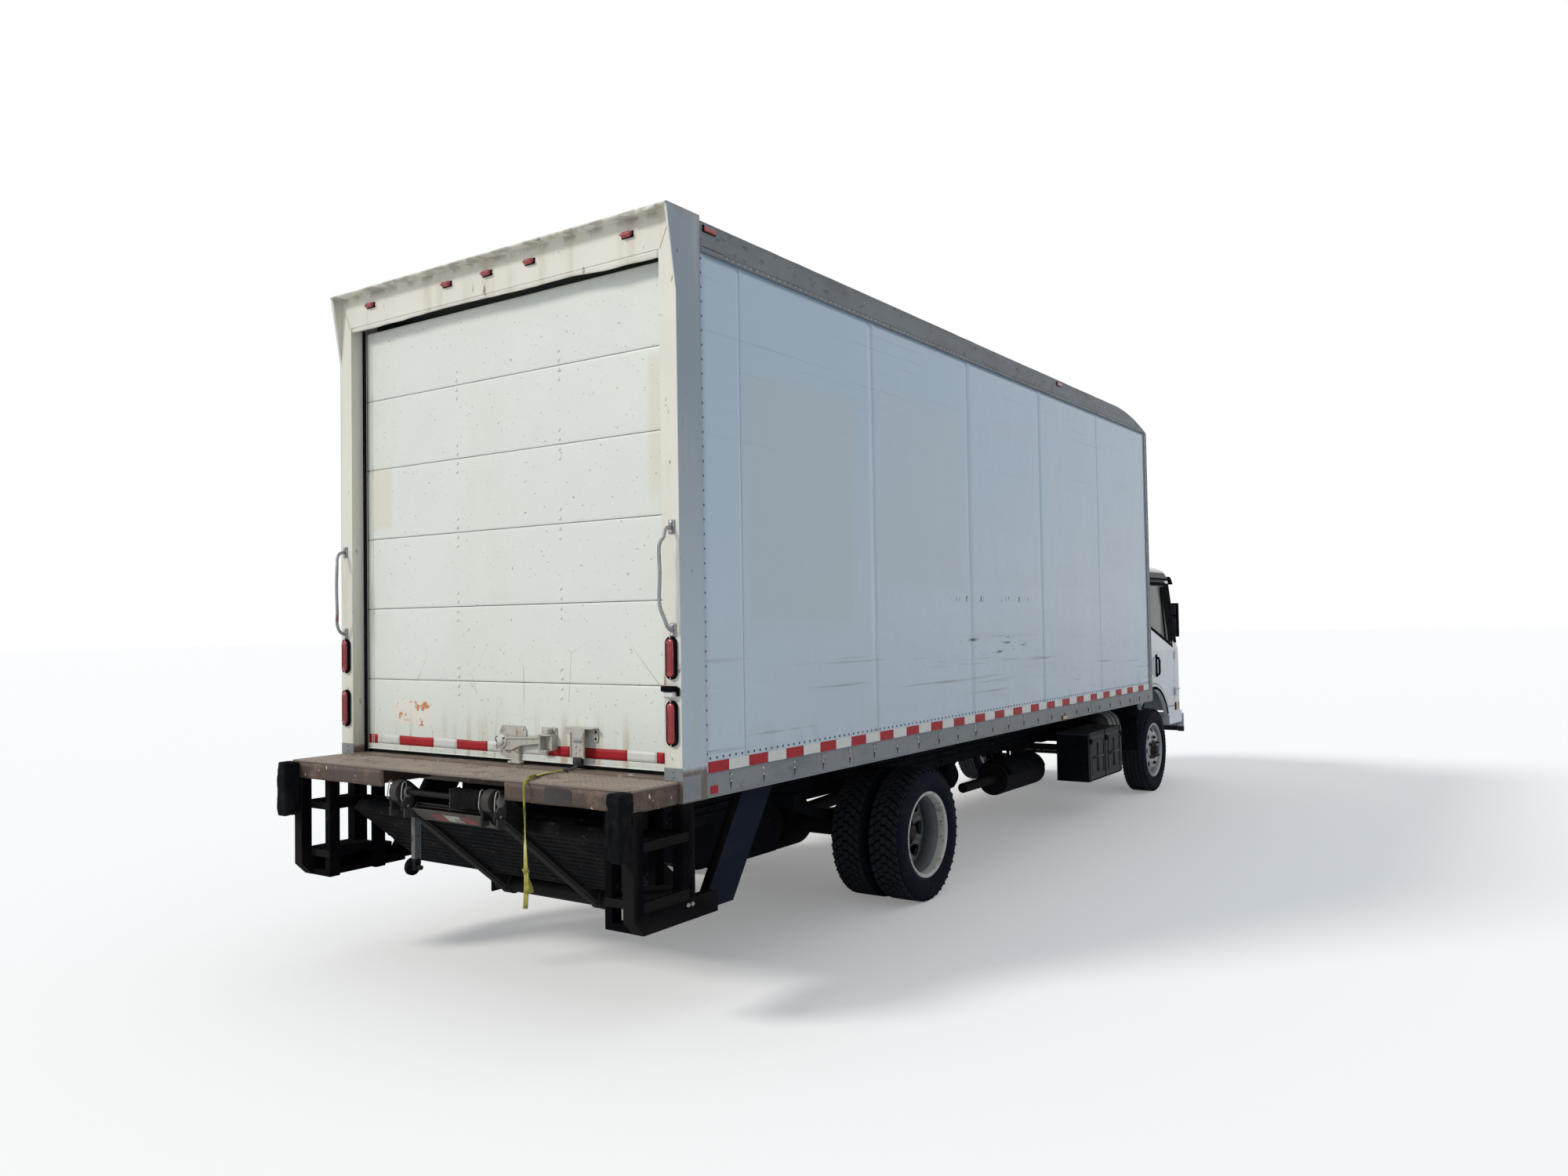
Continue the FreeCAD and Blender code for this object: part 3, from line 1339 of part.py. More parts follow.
def write():
    """Check every object and sub-part, then write the files."""
    for thing in doc.Objects:
        if "Invalid" in thing.State or "Error" in thing.State:
            raise RuntimeError("{} {} {}".format(thing.Label, thing.Name, thing.State))
    for name, thing in nodes.items():
        if thing.Shape.isNull() or not thing.Shape.isValid() or not thing.Shape.Solids:
            raise RuntimeError(name + " has no valid solid")
    os.makedirs("parts", exist_ok=True)
    for name, thing in nodes.items():
        thing.Shape.exportStep("parts/{}.step".format(name))
    print(len(nodes), "sub-parts, volume",
          round(sum(thing.Shape.Volume for thing in nodes.values()) / 1e9, 3), "m3")


doc.recompute()
build()
doc.recompute()
write()
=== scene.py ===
"""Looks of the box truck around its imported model, in metres: the front faces -Y, +X is left."""

from math import atan2, copysign, cos, hypot, pi, radians, sin, sqrt, tau

import bmesh
import bpy
from mathutils import Matrix, Vector, noise


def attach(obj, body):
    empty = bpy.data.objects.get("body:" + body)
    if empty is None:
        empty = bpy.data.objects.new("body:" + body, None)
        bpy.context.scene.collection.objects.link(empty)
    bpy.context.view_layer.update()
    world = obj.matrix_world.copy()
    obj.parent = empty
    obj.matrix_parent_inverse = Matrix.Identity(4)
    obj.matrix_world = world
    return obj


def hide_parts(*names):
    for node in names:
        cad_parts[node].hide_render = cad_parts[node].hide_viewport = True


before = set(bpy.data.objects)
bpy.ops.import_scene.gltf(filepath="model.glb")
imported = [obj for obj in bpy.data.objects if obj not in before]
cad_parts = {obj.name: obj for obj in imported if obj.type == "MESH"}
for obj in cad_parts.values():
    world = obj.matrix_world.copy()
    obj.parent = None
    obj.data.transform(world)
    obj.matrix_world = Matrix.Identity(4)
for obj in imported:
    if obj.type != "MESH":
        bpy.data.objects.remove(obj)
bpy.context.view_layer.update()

scene = bpy.context.scene
scene.view_settings.view_transform = "Standard"
X, Y, Z = Vector((1, 0, 0)), Vector((0, 1, 0)), Vector((0, 0, 1))
# y of the back faces of the rear frame and of the door, x of the rails' outer face
REAR = 4.140
DOOR = 4.060
RAIL_X = 1.2195
SIDES = (("left", 1), ("right", -1))


# ---------------------------------------------------------------- numbers

def span(*values):
    """The values as a low and a high end."""
    return tuple(sorted(values))


def about(middle, reach):
    """The low and high end of a span round its middle."""
    return middle - reach, middle + reach


def shares(count):
    """Values from 0 to 1 in equal parts."""
    return [k / count for k in range(count + 1)]


def angles(count):
    """Angles round a full turn in equal parts."""
    return [tau * k / count for k in range(count)]


def steps(low, high, pitch, *extra):
    """Values from low to high about a pitch apart, with extra ones among them."""
    count = max(1, round((high - low) / pitch))
    values = [low + (high - low) * i / count for i in range(count + 1)]
    values = [v for v in values if all(abs(v - e) > pitch * 0.3 for e in extra)]
    return sorted(values + list(extra))


def wobble(a, b, scale, seed=0.0):
    """Smooth noise over a plane, from -1 to 1."""
    return noise.noise(Vector((a * scale, b * scale, seed)))


def eased(value, low, high):
    """A smooth rise from 0 at low to 1 at high."""
    share = min(max((value - low) / (high - low), 0), 1)
    return share * share * (3 - 2 * share)


def bent(path, count, first=0):
    """Points along the curves that touch the middles of a path's straight pieces."""
    points = []
    for a, b, c in zip(path, path[1:], path[2:]):
        a, b, c = Vector(a), Vector(b), Vector(c)
        p, q = (a + b) / 2, (b + c) / 2
        points += [p * (1 - s) ** 2 + b * 2 * s * (1 - s) + q * s ** 2
                   for s in shares(count)[first:first + count]]
    return points


def rectangle(a0, a1, b0, b1):
    """The corners of a rectangle in a plane."""
    return [(a0, b0), (a1, b0), (a1, b1), (a0, b1)]


def raised(outline, axis, level):
    """Points in space from a plane outline set at a level of one axis."""
    return [(*pair[:axis], level, *pair[axis:]) for pair in outline]


# ---------------------------------------------------------------- meshes

class Form:
    """Points and faces of one piece, gathered from small forms; each face has a finish number."""

    def __init__(self):
        self.points, self.faces, self.finishes, self.round = [], [], [], []

    def add(self, points, faces, finish=0, smooth=False):
        """Points and their faces, with one finish number or a list of one for each face."""
        base = len(self.points)
        self.points += [Vector(p) for p in points]
        self.faces += [[base + i for i in face] for face in faces]
        self.finishes += finish if isinstance(finish, list) else [finish] * len(faces)
        self.round += [smooth] * len(faces)

    def loft(self, rings, finish=0, closed=False, ends=(0, -1), smooth=True):
        """A skin over rings of equally many points, joined round again or closed at its ends."""
        count, total = len(rings[0]), len(rings)
        faces = []
        for i in range(total if closed else total - 1):
            here, after = i * count, (i + 1) % total * count
            faces += [[here + k, here + (k + 1) % count, after + (k + 1) % count, after + k]
                      for k in range(count)]
        if not closed:
            faces += [[end % total * count + k for k in range(count)] for end in ends]
        self.add([p for ring in rings for p in ring], faces, finish, smooth)

    def bar(self, x, y, z, chamfer=0.002, finish=0, turn=None):
        """A block with chamfered edges between low and high ends, turned by a matrix if given."""
        ends = (x, y, z)
        chamfer = min(chamfer, *[abs(high - low) * 0.45 for low, high in ends])
        points, index = [], {}
        for corner in range(8):
            signs = [(corner >> axis) & 1 for axis in range(3)]
            for face in range(3):
                index[corner, face] = len(points)
                points.append(Vector([ends[axis][sign] + chamfer * (1 - 2 * sign) * (axis != face)
                                      for axis, sign in enumerate(signs)]))
        faces = []
        for axis in range(3):
            a, b = (axis + 1) % 3, (axis + 2) % 3
            one, two = 1 << a, 1 << b
            for sign in (0, 1 << axis):
                faces.append([index[sign | c, axis] for c in (0, one, one | two, two)])
            for c in (0, one, two, one | two):
                far = c | (1 << axis)
                faces.append([index[c, a], index[far, a], index[far, b], index[c, b]])
        faces += [[index[corner, face] for face in range(3)] for corner in range(8)]
        self.add([turn @ p for p in points] if turn else points, faces, finish)

    def bars(self, *rows):
        """Blocks from rows of low and high ends on X, Y and Z, chamfer and finish number."""
        for x0, x1, y0, y1, z0, z1, *rest in rows:
            self.bar((x0, x1), (y0, y1), (z0, z1), *rest)

    def tube(self, path, radius, sides=12, finish=0, closed=False, radii=None, flat=1.0, up=None):
        """A round tube along points; flat squeezes it to a ribbon."""
        path = [Vector(p) for p in path]
        last = len(path) - 1
        side = None
        rings = []
        for i, p in enumerate(path):
            before = path[i - 1] if i or closed else p
            after = path[(i + 1) % len(path)] if i < last or closed else p
            along = (after - before).normalized()
            if side is None:
                side = along.cross(Vector(up) if up else (Z if abs(along.z) < 0.9 else X))
            side = (side - along * side.dot(along)).normalized()
            other = along.cross(side)
            r = radii[i] if radii else radius
            rings.append([p + side * cos(a) * r + other * sin(a) * r * flat
                          for a in angles(sides)])
        self.loft(rings, finish, closed)

    def rod(self, start, end, radius, sides=16, chamfer=0.0015, finish=0):
        """A round bar with chamfered ends."""
        start, end = Vector(start), Vector(end)
        along = (end - start).normalized()
        inner = max(radius - chamfer, radius * 0.5)
        self.tube([start, start + along * chamfer, end - along * chamfer, end], radius, sides,
                  finish, radii=[inner, radius, radius, inner])

    def turned(self, profile, centre, axis=X, sides=48, finish=0):
        """A closed profile of (along the axis, radius) points turned round an axis."""
        centre = Vector(centre)
        one = axis.orthogonal().normalized()
        two = axis.cross(one)
        self.loft([[centre + axis * u + (one * cos(a) + two * sin(a)) * r
                    for u, r in profile] for a in angles(sides)], finish, True)

    def dome(self, centre, normal, radius, height, sides=8, finish=0):
        """A domed rivet or bolt head."""
        centre, normal = Vector(centre), Vector(normal).normalized()
        one = normal.orthogonal().normalized()
        two = normal.cross(one)
        points = [centre + normal * height * rise
                  + (one * cos(a) + two * sin(a)) * radius * share
                  for share, rise in ((1, 0), (0.86, 0.55), (0.5, 0.9)) for a in angles(sides)]
        faces = [[ring + k, ring + (k + 1) % sides, ring + sides + (k + 1) % sides,
                  ring + sides + k] for ring in (0, sides) for k in range(sides)]
        faces += [[2 * sides + k, 2 * sides + (k + 1) % sides, 3 * sides] for k in range(sides)]
        self.add([*points, centre + normal * height], [*faces, list(range(sides))], finish, True)

    def nut(self, centre, normal, radius, height, finish=0):
        """A hexagon nut with its bolt end."""
        centre, normal = Vector(centre), Vector(normal).normalized()
        for sides, rises, widths in ((6, (0, 0.85, 1), (1, 1, 0.82)),
                                     (8, (0, 1.5, 1.6), (0.5, 0.5, 0.4))):
            self.tube([centre + normal * height * rise for rise in rises], radius, sides, finish,
                      radii=[radius * width for width in widths])

    def prism(self, outline, axis, low, high, finish=0):
        """A plane outline of (a, b) points on the other two axes, drawn out along an axis."""
        count = len(outline)
        faces = [list(range(count)), list(range(count, 2 * count))]
        faces += [[i, (i + 1) % count, (i + 1) % count + count, i + count] for i in range(count)]
        self.add(raised(outline, axis, low) + raised(outline, axis, high), faces, finish)

    def sheet(self, across, up, place, finish=0, thick=None, finish_of=None):
        """A grid of points place(a, b); closed behind at the thick offset where one is given."""
        rows, cols = len(up), len(across)
        points = [Vector(place(a, b)) for b in up for a in across]
        faces, kinds = [], []
        for r in range(rows - 1):
            for c in range(cols - 1):
                i = r * cols + c
                faces.append([i, i + 1, i + cols + 1, i + cols])
                kinds.append(finish_of(across[c], across[c + 1], up[r], up[r + 1])
                             if finish_of else finish)
        if thick is not None:
            rim = ([r * cols for r in range(rows)]
                   + [(rows - 1) * cols + c for c in range(1, cols)]
                   + [r * cols + cols - 1 for r in range(rows - 2, -1, -1)]
                   + list(range(cols - 2, 0, -1)))
            base, count = len(points), len(rim)
            points += [points[i] + Vector(thick) for i in rim]
            faces += [[rim[k], rim[(k + 1) % count], base + (k + 1) % count, base + k]
                      for k in range(count)]
            faces.append(list(range(base, base + count)))
            kinds += [finish] * (count + 1)
        self.add(points, faces, kinds, True)

    def make(self, name, body, slot, *finishes, replaces=()):
        """The piece as an object that rides on a body."""
        mesh = bpy.data.meshes.new(name)
        mesh.from_pydata([tuple(p) for p in self.points], [], self.faces)
        for polygon, kind, smooth in zip(mesh.polygons, self.finishes, self.round):
            polygon.material_index = kind
            polygon.use_smooth = smooth
        for finish in finishes:
            mesh.materials.append(finish)
        worked(mesh)
        piece = bpy.data.objects.new(name, mesh)
        scene.collection.objects.link(piece)
        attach(piece, body)
        if replaces:
            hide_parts(*replaces)
        return piece


def worked(mesh, weld=0.0):
    """Turn the mesh's faces outward, after joining points nearer than the weld distance."""
    work = bmesh.new()
    work.from_mesh(mesh)
    if weld:
        bmesh.ops.remove_doubles(work, verts=work.verts, dist=weld)
    bmesh.ops.recalc_face_normals(work, faces=work.faces)
    work.to_mesh(mesh)
    work.free()


# ---------------------------------------------------------------- finishes

PLAIN = (1, 1, 1)


class Graph:
    """The nodes of one procedural material or world."""

    def __init__(self, owner):
        owner.use_nodes = True
        self.owner, self.tree = owner, owner.node_tree
        self.tree.nodes.clear()
        self.coordinates = None

    def place(self):
        """The object's own coordinates."""
        if not self.coordinates:
            self.coordinates = self.node("ShaderNodeTexCoord").outputs["Object"]
        return self.coordinates

    def node(self, kind, settings=(), **inputs):
        """A new node with its settings, and its inputs by name with _ for a space."""
        made = self.tree.nodes.new(kind)
        for key, value in dict(settings).items():
            setattr(made, key, value)
        for key, value in inputs.items():
            self.feed(made.inputs[key.replace("_", " ")], value)
        return made

    def feed(self, socket, value):
        """Link an output to the socket, or set the socket's own value."""
        if isinstance(value, bpy.types.NodeSocket):
            self.tree.links.new(value, socket)
        elif isinstance(value, tuple) and len(value) == 3 and socket.type == "RGBA":
            socket.default_value = (*value, 1)
        else:
            socket.default_value = value

    def ramp(self, value, low, high):
        """A smooth rise from 0 at low to 1 at high."""
        return self.node("ShaderNodeMapRange", {"interpolation_type": "SMOOTHSTEP"}, Value=value,
                         From_Min=low, From_Max=high).outputs["Result"]

    def math(self, kind, one, two):
        """One sum or product of two values."""
        made = self.node("ShaderNodeMath", {"operation": kind})
        self.feed(made.inputs[0], one)
        self.feed(made.inputs[1], two)
        return made.outputs[0]

    def moved(self, stretch, seed):
        """The coordinates stretched, and moved to another part of the pattern."""
        return self.node("ShaderNodeMapping", Vector=self.place(), Scale=stretch,
                         Location=(seed * 3.17, seed * 1.73, seed * 5.31)).outputs["Vector"]

    def noise(self, scale, stretch=PLAIN, seed=0.0):
        """Clouds of noise."""
        return self.node("ShaderNodeTexNoise", Vector=self.moved(stretch, seed), Scale=scale,
                         Detail=5.0, Roughness=0.6).outputs["Fac"]

    def cells(self, scale, stretch=PLAIN, seed=0.0, feature="F1"):
        """Distances in a pattern of cells."""
        return self.node("ShaderNodeTexVoronoi", {"feature": feature},
                         Vector=self.moved(stretch, seed), Scale=scale).outputs["Distance"]

    def mixed(self, kind, share, one, two):
        """A mix of two colours (RGBA) or two values (FLOAT)."""
        made = self.node("ShaderNodeMix", {"data_type": kind}, Factor=share)
        self.feed(made.inputs["A"], one)
        self.feed(made.inputs["B"], two)
        return made.outputs["Result"]

    def surface(self, shader):
        """The finished material."""
        self.node("ShaderNodeOutputMaterial", Surface=shader.outputs["BSDF"])
        return self.owner

    def mask(self, spec):
        """A value from 0 to 1: noise, cells, worn edges, a band or ramp on an axis, a product."""
        if isinstance(spec, list):
            result = self.mask(spec[0])
            for other in spec[1:]:
                result = self.math("MULTIPLY", result, self.mask(other))
            return result
        if isinstance(spec, (int, float)):
            return float(spec)
        kind, first, low, *rest = spec
        if kind == "edge":
            geometry = self.tree.nodes.new("ShaderNodeNewGeometry")
            return self.ramp(geometry.outputs["Pointiness"], first, low)
        if kind in ("band", "above"):
            place = self.node("ShaderNodeSeparateXYZ", Vector=self.place()).outputs[first]
            if kind == "above":
                return self.ramp(place, low, rest[0])
            full_low, full_high, high = rest
            return self.math("MULTIPLY", self.ramp(place, low, full_low),
                             self.ramp(place, high, full_high))
        high, stretch, seed = [*rest, *(PLAIN, 0.0)[len(rest) - 1:]]
        if kind == "spots":
            return self.ramp(self.noise(first, stretch, seed), low, high)
        feature = "DISTANCE_TO_EDGE" if kind == "cracks" else "F1"
        return self.ramp(self.cells(first, stretch, seed, feature), low, high)


def finish(name, colour, rough, metal, vary, scale, layers=(), bumps=(), coat=0.0, alpha=1.0,
           spec=0.5):
    """A procedural material: a base that varies by a share at a scale, layers over it, and bumps.

    A layer is (mask, colour, roughness), or blotches as (scale, low, high, share, colour,
    roughness, stretch, seed) with no share for whole ones. A bump is (scale, depth, stretch),
    of noise or with "cells" at its end.
    """
    graph = Graph(bpy.data.materials.new(name))
    dark = tuple(c * (1 - vary * 2) for c in colour)
    bright = tuple(min(c * (1 + vary), 1) for c in colour)
    shade = graph.mixed("RGBA", graph.noise(scale, seed=1.0), dark, bright)
    low_gloss, high_gloss = max(rough - 0.08, 0.02), min(rough + 0.1, 1)
    gloss = graph.node("ShaderNodeMapRange", Value=graph.noise(scale * 6, seed=2.0),
                       To_Min=low_gloss, To_Max=high_gloss).outputs["Result"]
    metallic = None
    for layer in layers:
        if len(layer) > 3:
            *noise_levels, whole, over, over_rough = layer[:6]
            spots = ("spots", *noise_levels, *layer[6:])
            where = spots if whole is None else [spots, whole]
        else:
            where, over, over_rough = layer
        share = graph.mask(where)
        shade = graph.mixed("RGBA", share, shade, over)
        gloss = graph.mixed("FLOAT", share, gloss, float(over_rough))
        if metal:
            less = graph.math("SUBTRACT", 1.0, share)
            metallic = graph.math("MULTIPLY", metallic, less) if metallic else less
    metallic = graph.math("MULTIPLY", metallic, metal) if metallic else metal
    shader = graph.node("ShaderNodeBsdfPrincipled", Base_Color=shade, Roughness=gloss,
                        Metallic=metallic, Coat_Weight=coat, Coat_Roughness=0.12, Alpha=alpha,
                        Specular_IOR_Level=spec)
    for bump_scale, distance, *rest in bumps:
        stretch = rest[0] if rest else PLAIN
        if len(rest) > 1:
            value = graph.cells(bump_scale, stretch, 4.0)
        else:
            value = graph.noise(bump_scale, stretch, 4.0 + len(rest))
        made = graph.node("ShaderNodeBump", Height=value, Distance=distance, Strength=1.0)
        before = shader.inputs["Normal"].links
        if before:
            graph.feed(made.inputs["Normal"], before[0].from_socket)
        graph.feed(shader.inputs["Normal"], made.outputs["Normal"])
    return graph.surface(shader)


# ---------------------------------------------------------------- camera

# turns in radians, the place in metres, the focal length in mm
YAW, PITCH, ROLL = -0.968876, 0.029445, -0.016199
PLACE, FOCAL = (-4.41, 7.985, 1.729), 26.2295
ahead = Vector((cos(YAW) * cos(PITCH), sin(YAW) * cos(PITCH), sin(PITCH)))
level = ahead.cross(Z).normalized()
upright = level.cross(ahead)
right = level * cos(ROLL) + upright * sin(ROLL)
upward = upright * cos(ROLL) - level * sin(ROLL)
lens = bpy.data.cameras.new("camera")
lens.lens = FOCAL
lens.sensor_width = 36
lens.clip_end = 500
camera = bpy.data.objects.new("camera", lens)
turn = Matrix((right, upward, -ahead)).transposed().to_4x4()
camera.matrix_world = Matrix.Translation(PLACE) @ turn
scene.collection.objects.link(camera)
scene.camera = camera


# ---------------------------------------------------------------- tie strap

RUST, DIRT = (0.19, 0.075, 0.03), (0.10, 0.085, 0.07)
webbing_black = finish("webbing_black", (0.022, 0.022, 0.024), 0.8, 0, 0.2, 60,
    [], [(420, 0.0012), (90, 0.001)])
webbing_yellow = finish("webbing_yellow", (0.42, 0.38, 0.07), 0.75, 0, 0.25, 40,
    [(30, 0.45, 0.7, None, (0.16, 0.15, 0.04), 0.85),
    (9, 0.55, 0.75, None, (0.62, 0.58, 0.22), 0.7)], [(500, 0.0012), (70, 0.0015)])

# the strap's route from the handle's plate to its hanging end: x, how far behind REAR, z
ROUTE = ((-0.550, -0.039, 1.0997), (-0.550, -0.039, 1.072), (-0.538, -0.020, 1.056),
         (-0.510, 0.006, 1.0546), (-0.486, 0.046, 1.049), (-0.482, 0.105, 1.047),
         (-0.508, 0.172, 1.047), (-0.544, 0.232, 1.0475), (-0.574, 0.286, 1.051),
         (-0.592, 0.326, 1.0505), (-0.600, 0.341, 1.020), (-0.604, 0.343, 0.950),
         (-0.608, 0.345, 0.830), (-0.614, 0.350, 0.700), (-0.619, 0.347, 0.600),
         (-0.612, 0.352, 0.494))
STRAP_WIDTH, STRAP_THICK, STRAP_LENGTH = 0.026, 0.003, 0.98
# the share of the strap that is black, from its upper end
BLACK_END = 0.19


def spline_points(route):
    """Points along the smooth NURBS line that a route controls."""
    curve = bpy.data.curves.new("route", "CURVE")
    curve.dimensions = "3D"
    curve.resolution_u = 12
    line = curve.splines.new("NURBS")
    line.points.add(len(route) - 1)
    for point, (x, y, z) in zip(line.points, route):
        point.co = (x, REAR + y, z, 1)
    line.order_u = 3
    line.use_endpoint_u = True
    holder = bpy.data.objects.new("route", curve)
    scene.collection.objects.link(holder)
    mesh = bpy.data.meshes.new_from_object(holder)
    points = [v.co.copy() for v in mesh.vertices]
    bpy.data.objects.remove(holder)
    bpy.data.meshes.remove(mesh)
    return points


def ribbon(form, path, width, face_of, width_of, finish_of):
    """Folded webbing along a path; face_of gives its flat side's normal and width_of its share."""
    section = ((-1, 0), (-0.5, 0.6), (0, 1), (0.5, 0.6), (1, 0))
    count = len(path)
    rings, kinds = [], []
    for i, p in enumerate(path):
        share = i / (count - 1)
        along = (path[min(i + 1, count - 1)] - path[max(i - 1, 0)]).normalized()
        normal = face_of(share)
        normal = (normal - along * normal.dot(along)).normalized()
        side = along.cross(normal)
        half = width * width_of(share) / 2
        fold = (1 - width_of(share)) * width * 0.35
        rings.append([p + side * half * u + normal * (fold * lift - fold * 0.5 + lies)
                      for lies, half_way in ((STRAP_THICK / 2, section),
                                             (-STRAP_THICK / 2, section[::-1]))
                      for u, lift in half_way])
        kinds += [finish_of(share)] * len(rings[0])
    form.loft(rings, kinds[:-len(rings[0])] + [finish_of(0), finish_of(1)])


def turn_between(pairs, share):
    """A value read from (share, value) pairs, straight between them."""
    for (a, low), (b, high) in zip(pairs, pairs[1:]):
        if share <= b:
            return low + (high - low) * (share - a) / (b - a)
    return pairs[-1][1]


def strap_face(share):
    """The strap's flat side: up over the plate, turning outward as it hangs."""
    tilt = turn_between(((0, 90), (0.08, 60), (0.14, 14), (0.3, -12), (0.43, 10), (0.46, 25),
                         (0.5, 80), (0.62, 130), (0.75, 200), (0.86, 255), (1, 300)), share)
    angle = radians(tilt)
    if share < 0.45:
        return Z * cos(angle) + Y * sin(angle)
    return Y * sin(angle) + X * cos(angle) + Z * 0.3 * (share < 0.5)


def strap_width(share):
    """The share of its width that the strap shows, narrow where it is folded."""
    return turn_between(((0, 1), (0.1, 0.96), (0.2, 0.85), (0.3, 0.9), (0.44, 0.96),
                         (0.52, 0.95), (0.6, 0.6), (0.7, 0.5), (0.78, 0.45), (0.84, 0.8),
                         (0.93, 0.95), (1, 0.8)), share)


strap_path = spline_points(ROUTE)
strap_form = Form()
ribbon(strap_form, strap_path, STRAP_WIDTH, strap_face, strap_width,
       lambda share: 0 if share < BLACK_END else 1)
strap = strap_form.make("strap", "truck", "strap_yellow", webbing_black, webbing_yellow,
                        replaces=["tie_strap"])
KNOT = Vector((-0.6150, REAR + 0.349, 0.660))
knot_form = Form()
for lean, size in ((0.4, 0.0085), (2.1, 0.0075)):
    loop = [KNOT + Vector((cos(a) * 0.009, sin(a) * 0.009 * cos(lean),
                           sin(a) * 0.012 * sin(lean) + 0.003 * cos(2 * a)))
            for a in angles(14)]
    knot_form.tube(loop, size, 8, closed=True, flat=0.6)
knot = knot_form.make("strap_knot", "truck", "strap_yellow", webbing_yellow)
tail_form = Form()
tail_path = [KNOT + Vector((-0.004 - 0.030 * s, 0.004 * sin(3 * s), -0.008 - 0.085 * s * s))
             for s in shares(12)]
ribbon(tail_form, tail_path, 0.024,
       lambda share: Y * cos(1.9 * share) + X * sin(1.9 * share),
       lambda share: 0.55 + 0.4 * share, lambda share: 0)
tail = tail_form.make("strap_tail", "truck", "strap_yellow", webbing_yellow)


# ---------------------------------------------------------------- finishes of the CAD nodes

GREY_RUN = (0.30, 0.27, 0.22)
# where the side sheets meet
SEAMS = (3.673, 2.426, 1.197, -0.017, -1.267)

# Side sheet paint: the base colour is darkened and blued as painted shade, for sides that stand
# out of the sun, and the first layer adds more painted shade, darker and bluer towards the top.
# The later layers are patches, marks and dirt runs.
side_white_painted_shade = finish("side_white_painted_shade", (0.475, 0.570, 0.665), 0.28, 0, 0.03, 1.2,
    [([("above", "Z", 1.35, 3.15)], (0.380, 0.495, 0.615), 0.30),
    ([("band", "Y", 2.6, 2.72, 3.58, 3.66), ("band", "Z", 1.6, 1.8, 2.85, 3.0), 0.6],
     (0.43, 0.50, 0.53), 0.40),
    ([("band", "Y", 1.25, 1.35, 2.35, 2.44), ("band", "Z", 1.8, 2.0, 2.95, 3.1), 0.5],
     (0.44, 0.51, 0.56), 0.40),
    (2.0, 0.45, 0.8, 0.35, (0.40, 0.48, 0.56), 0.4, (1, 0.25, 3), 3.0),
    ([("spots", 3.2, 0.60, 0.68, (1, 0.22, 9), 5.0), ("above", "Z", 1.75, 1.3), 0.8],
     (0.28, 0.29, 0.30), 0.5),
    ([("spots", 5, 0.62, 0.66, (1, 0.12, 16), 8.0), ("above", "Z", 2.3, 3.3), 0.6],
     (0.34, 0.36, 0.38), 0.5),
    ([("spots", 40, 0.56, 0.60, (1, 1, 0.25), 6.0), ("band", "Y", 0.18, 0.26, 1.42, 1.5),
      ("band", "Z", 1.835, 1.845, 1.87, 1.88)], (0.02, 0.02, 0.02), 0.6),
    ([("spots", 18, 0.60, 0.65, (1, 0.2, 3), 7.0), ("band", "Y", 0.2, 0.4, 1.3, 1.5),
      ("band", "Z", 1.48, 1.5, 1.6, 1.62)], (0.08, 0.08, 0.08), 0.6),
    ([("spots", 7, 0.5, 0.75, (1, 1, 0.6), 2.0), ("above", "Z", 1.32, 1.07), 0.5], GREY_RUN, 0.6)],
    [(0.9, 0.02, (1, 1, 0.8)), (5, 0.0012), (160, 0.00012)], coat=0.25)
seam_dark = finish("seam_dark", (0.27, 0.29, 0.31), 0.7, 0, 0.3, 20, [], [(90, 0.0005)])
frame_white_with_painted_shade = finish("frame_white_with_painted_shade", (0.72, 0.70, 0.625), 0.42, 0, 0.05, 2.5,
    # Painted shade: the outer side faces of the rear posts are bluish grey, and darker still
    # towards the top.
    [*[([("above", "X", side * 1.2150, side * 1.2185), 0.9], (0.40, 0.48, 0.56), 0.42)
       for side in (-1, 1)],
    *[([("above", "X", side * 1.2150, side * 1.2185), ("above", "Z", 1.3, 3.0), 0.9],
       (0.235, 0.285, 0.335), 0.45) for side in (-1, 1)],
    (3, 0.48, 0.75, 0.55, (0.50, 0.44, 0.34), 0.6, (3, 3, 0.4), 2.0),
    (22, 0.66, 0.72, 0.8, (0.16, 0.12, 0.09), 0.7, (1, 1, 0.5), 4.0),
    ([("spots", 6, 0.60, 0.70, (1, 1, 0.5), 9.0), ("above", "Z", 1.9, 1.15)], RUST, 0.8),
    ([("spots", 14, 0.20, 0.42, (1, 1, 0.3), 12.0), ("above", "Z", 1.10, 1.070), 0.95],
     (0.13, 0.095, 0.07), 0.6),
    # Painted shadow of the gutter, broken up by noise, on the band just below it.
    ([("spots", 9, 0.42, 0.60, (1.5, 1.5, 0.6), 13.0), ("above", "Z", 3.52, 3.565), 0.6],
     (0.26, 0.23, 0.18), 0.7)],
    [(3, 0.004), (30, 0.0008), (220, 0.0002)])
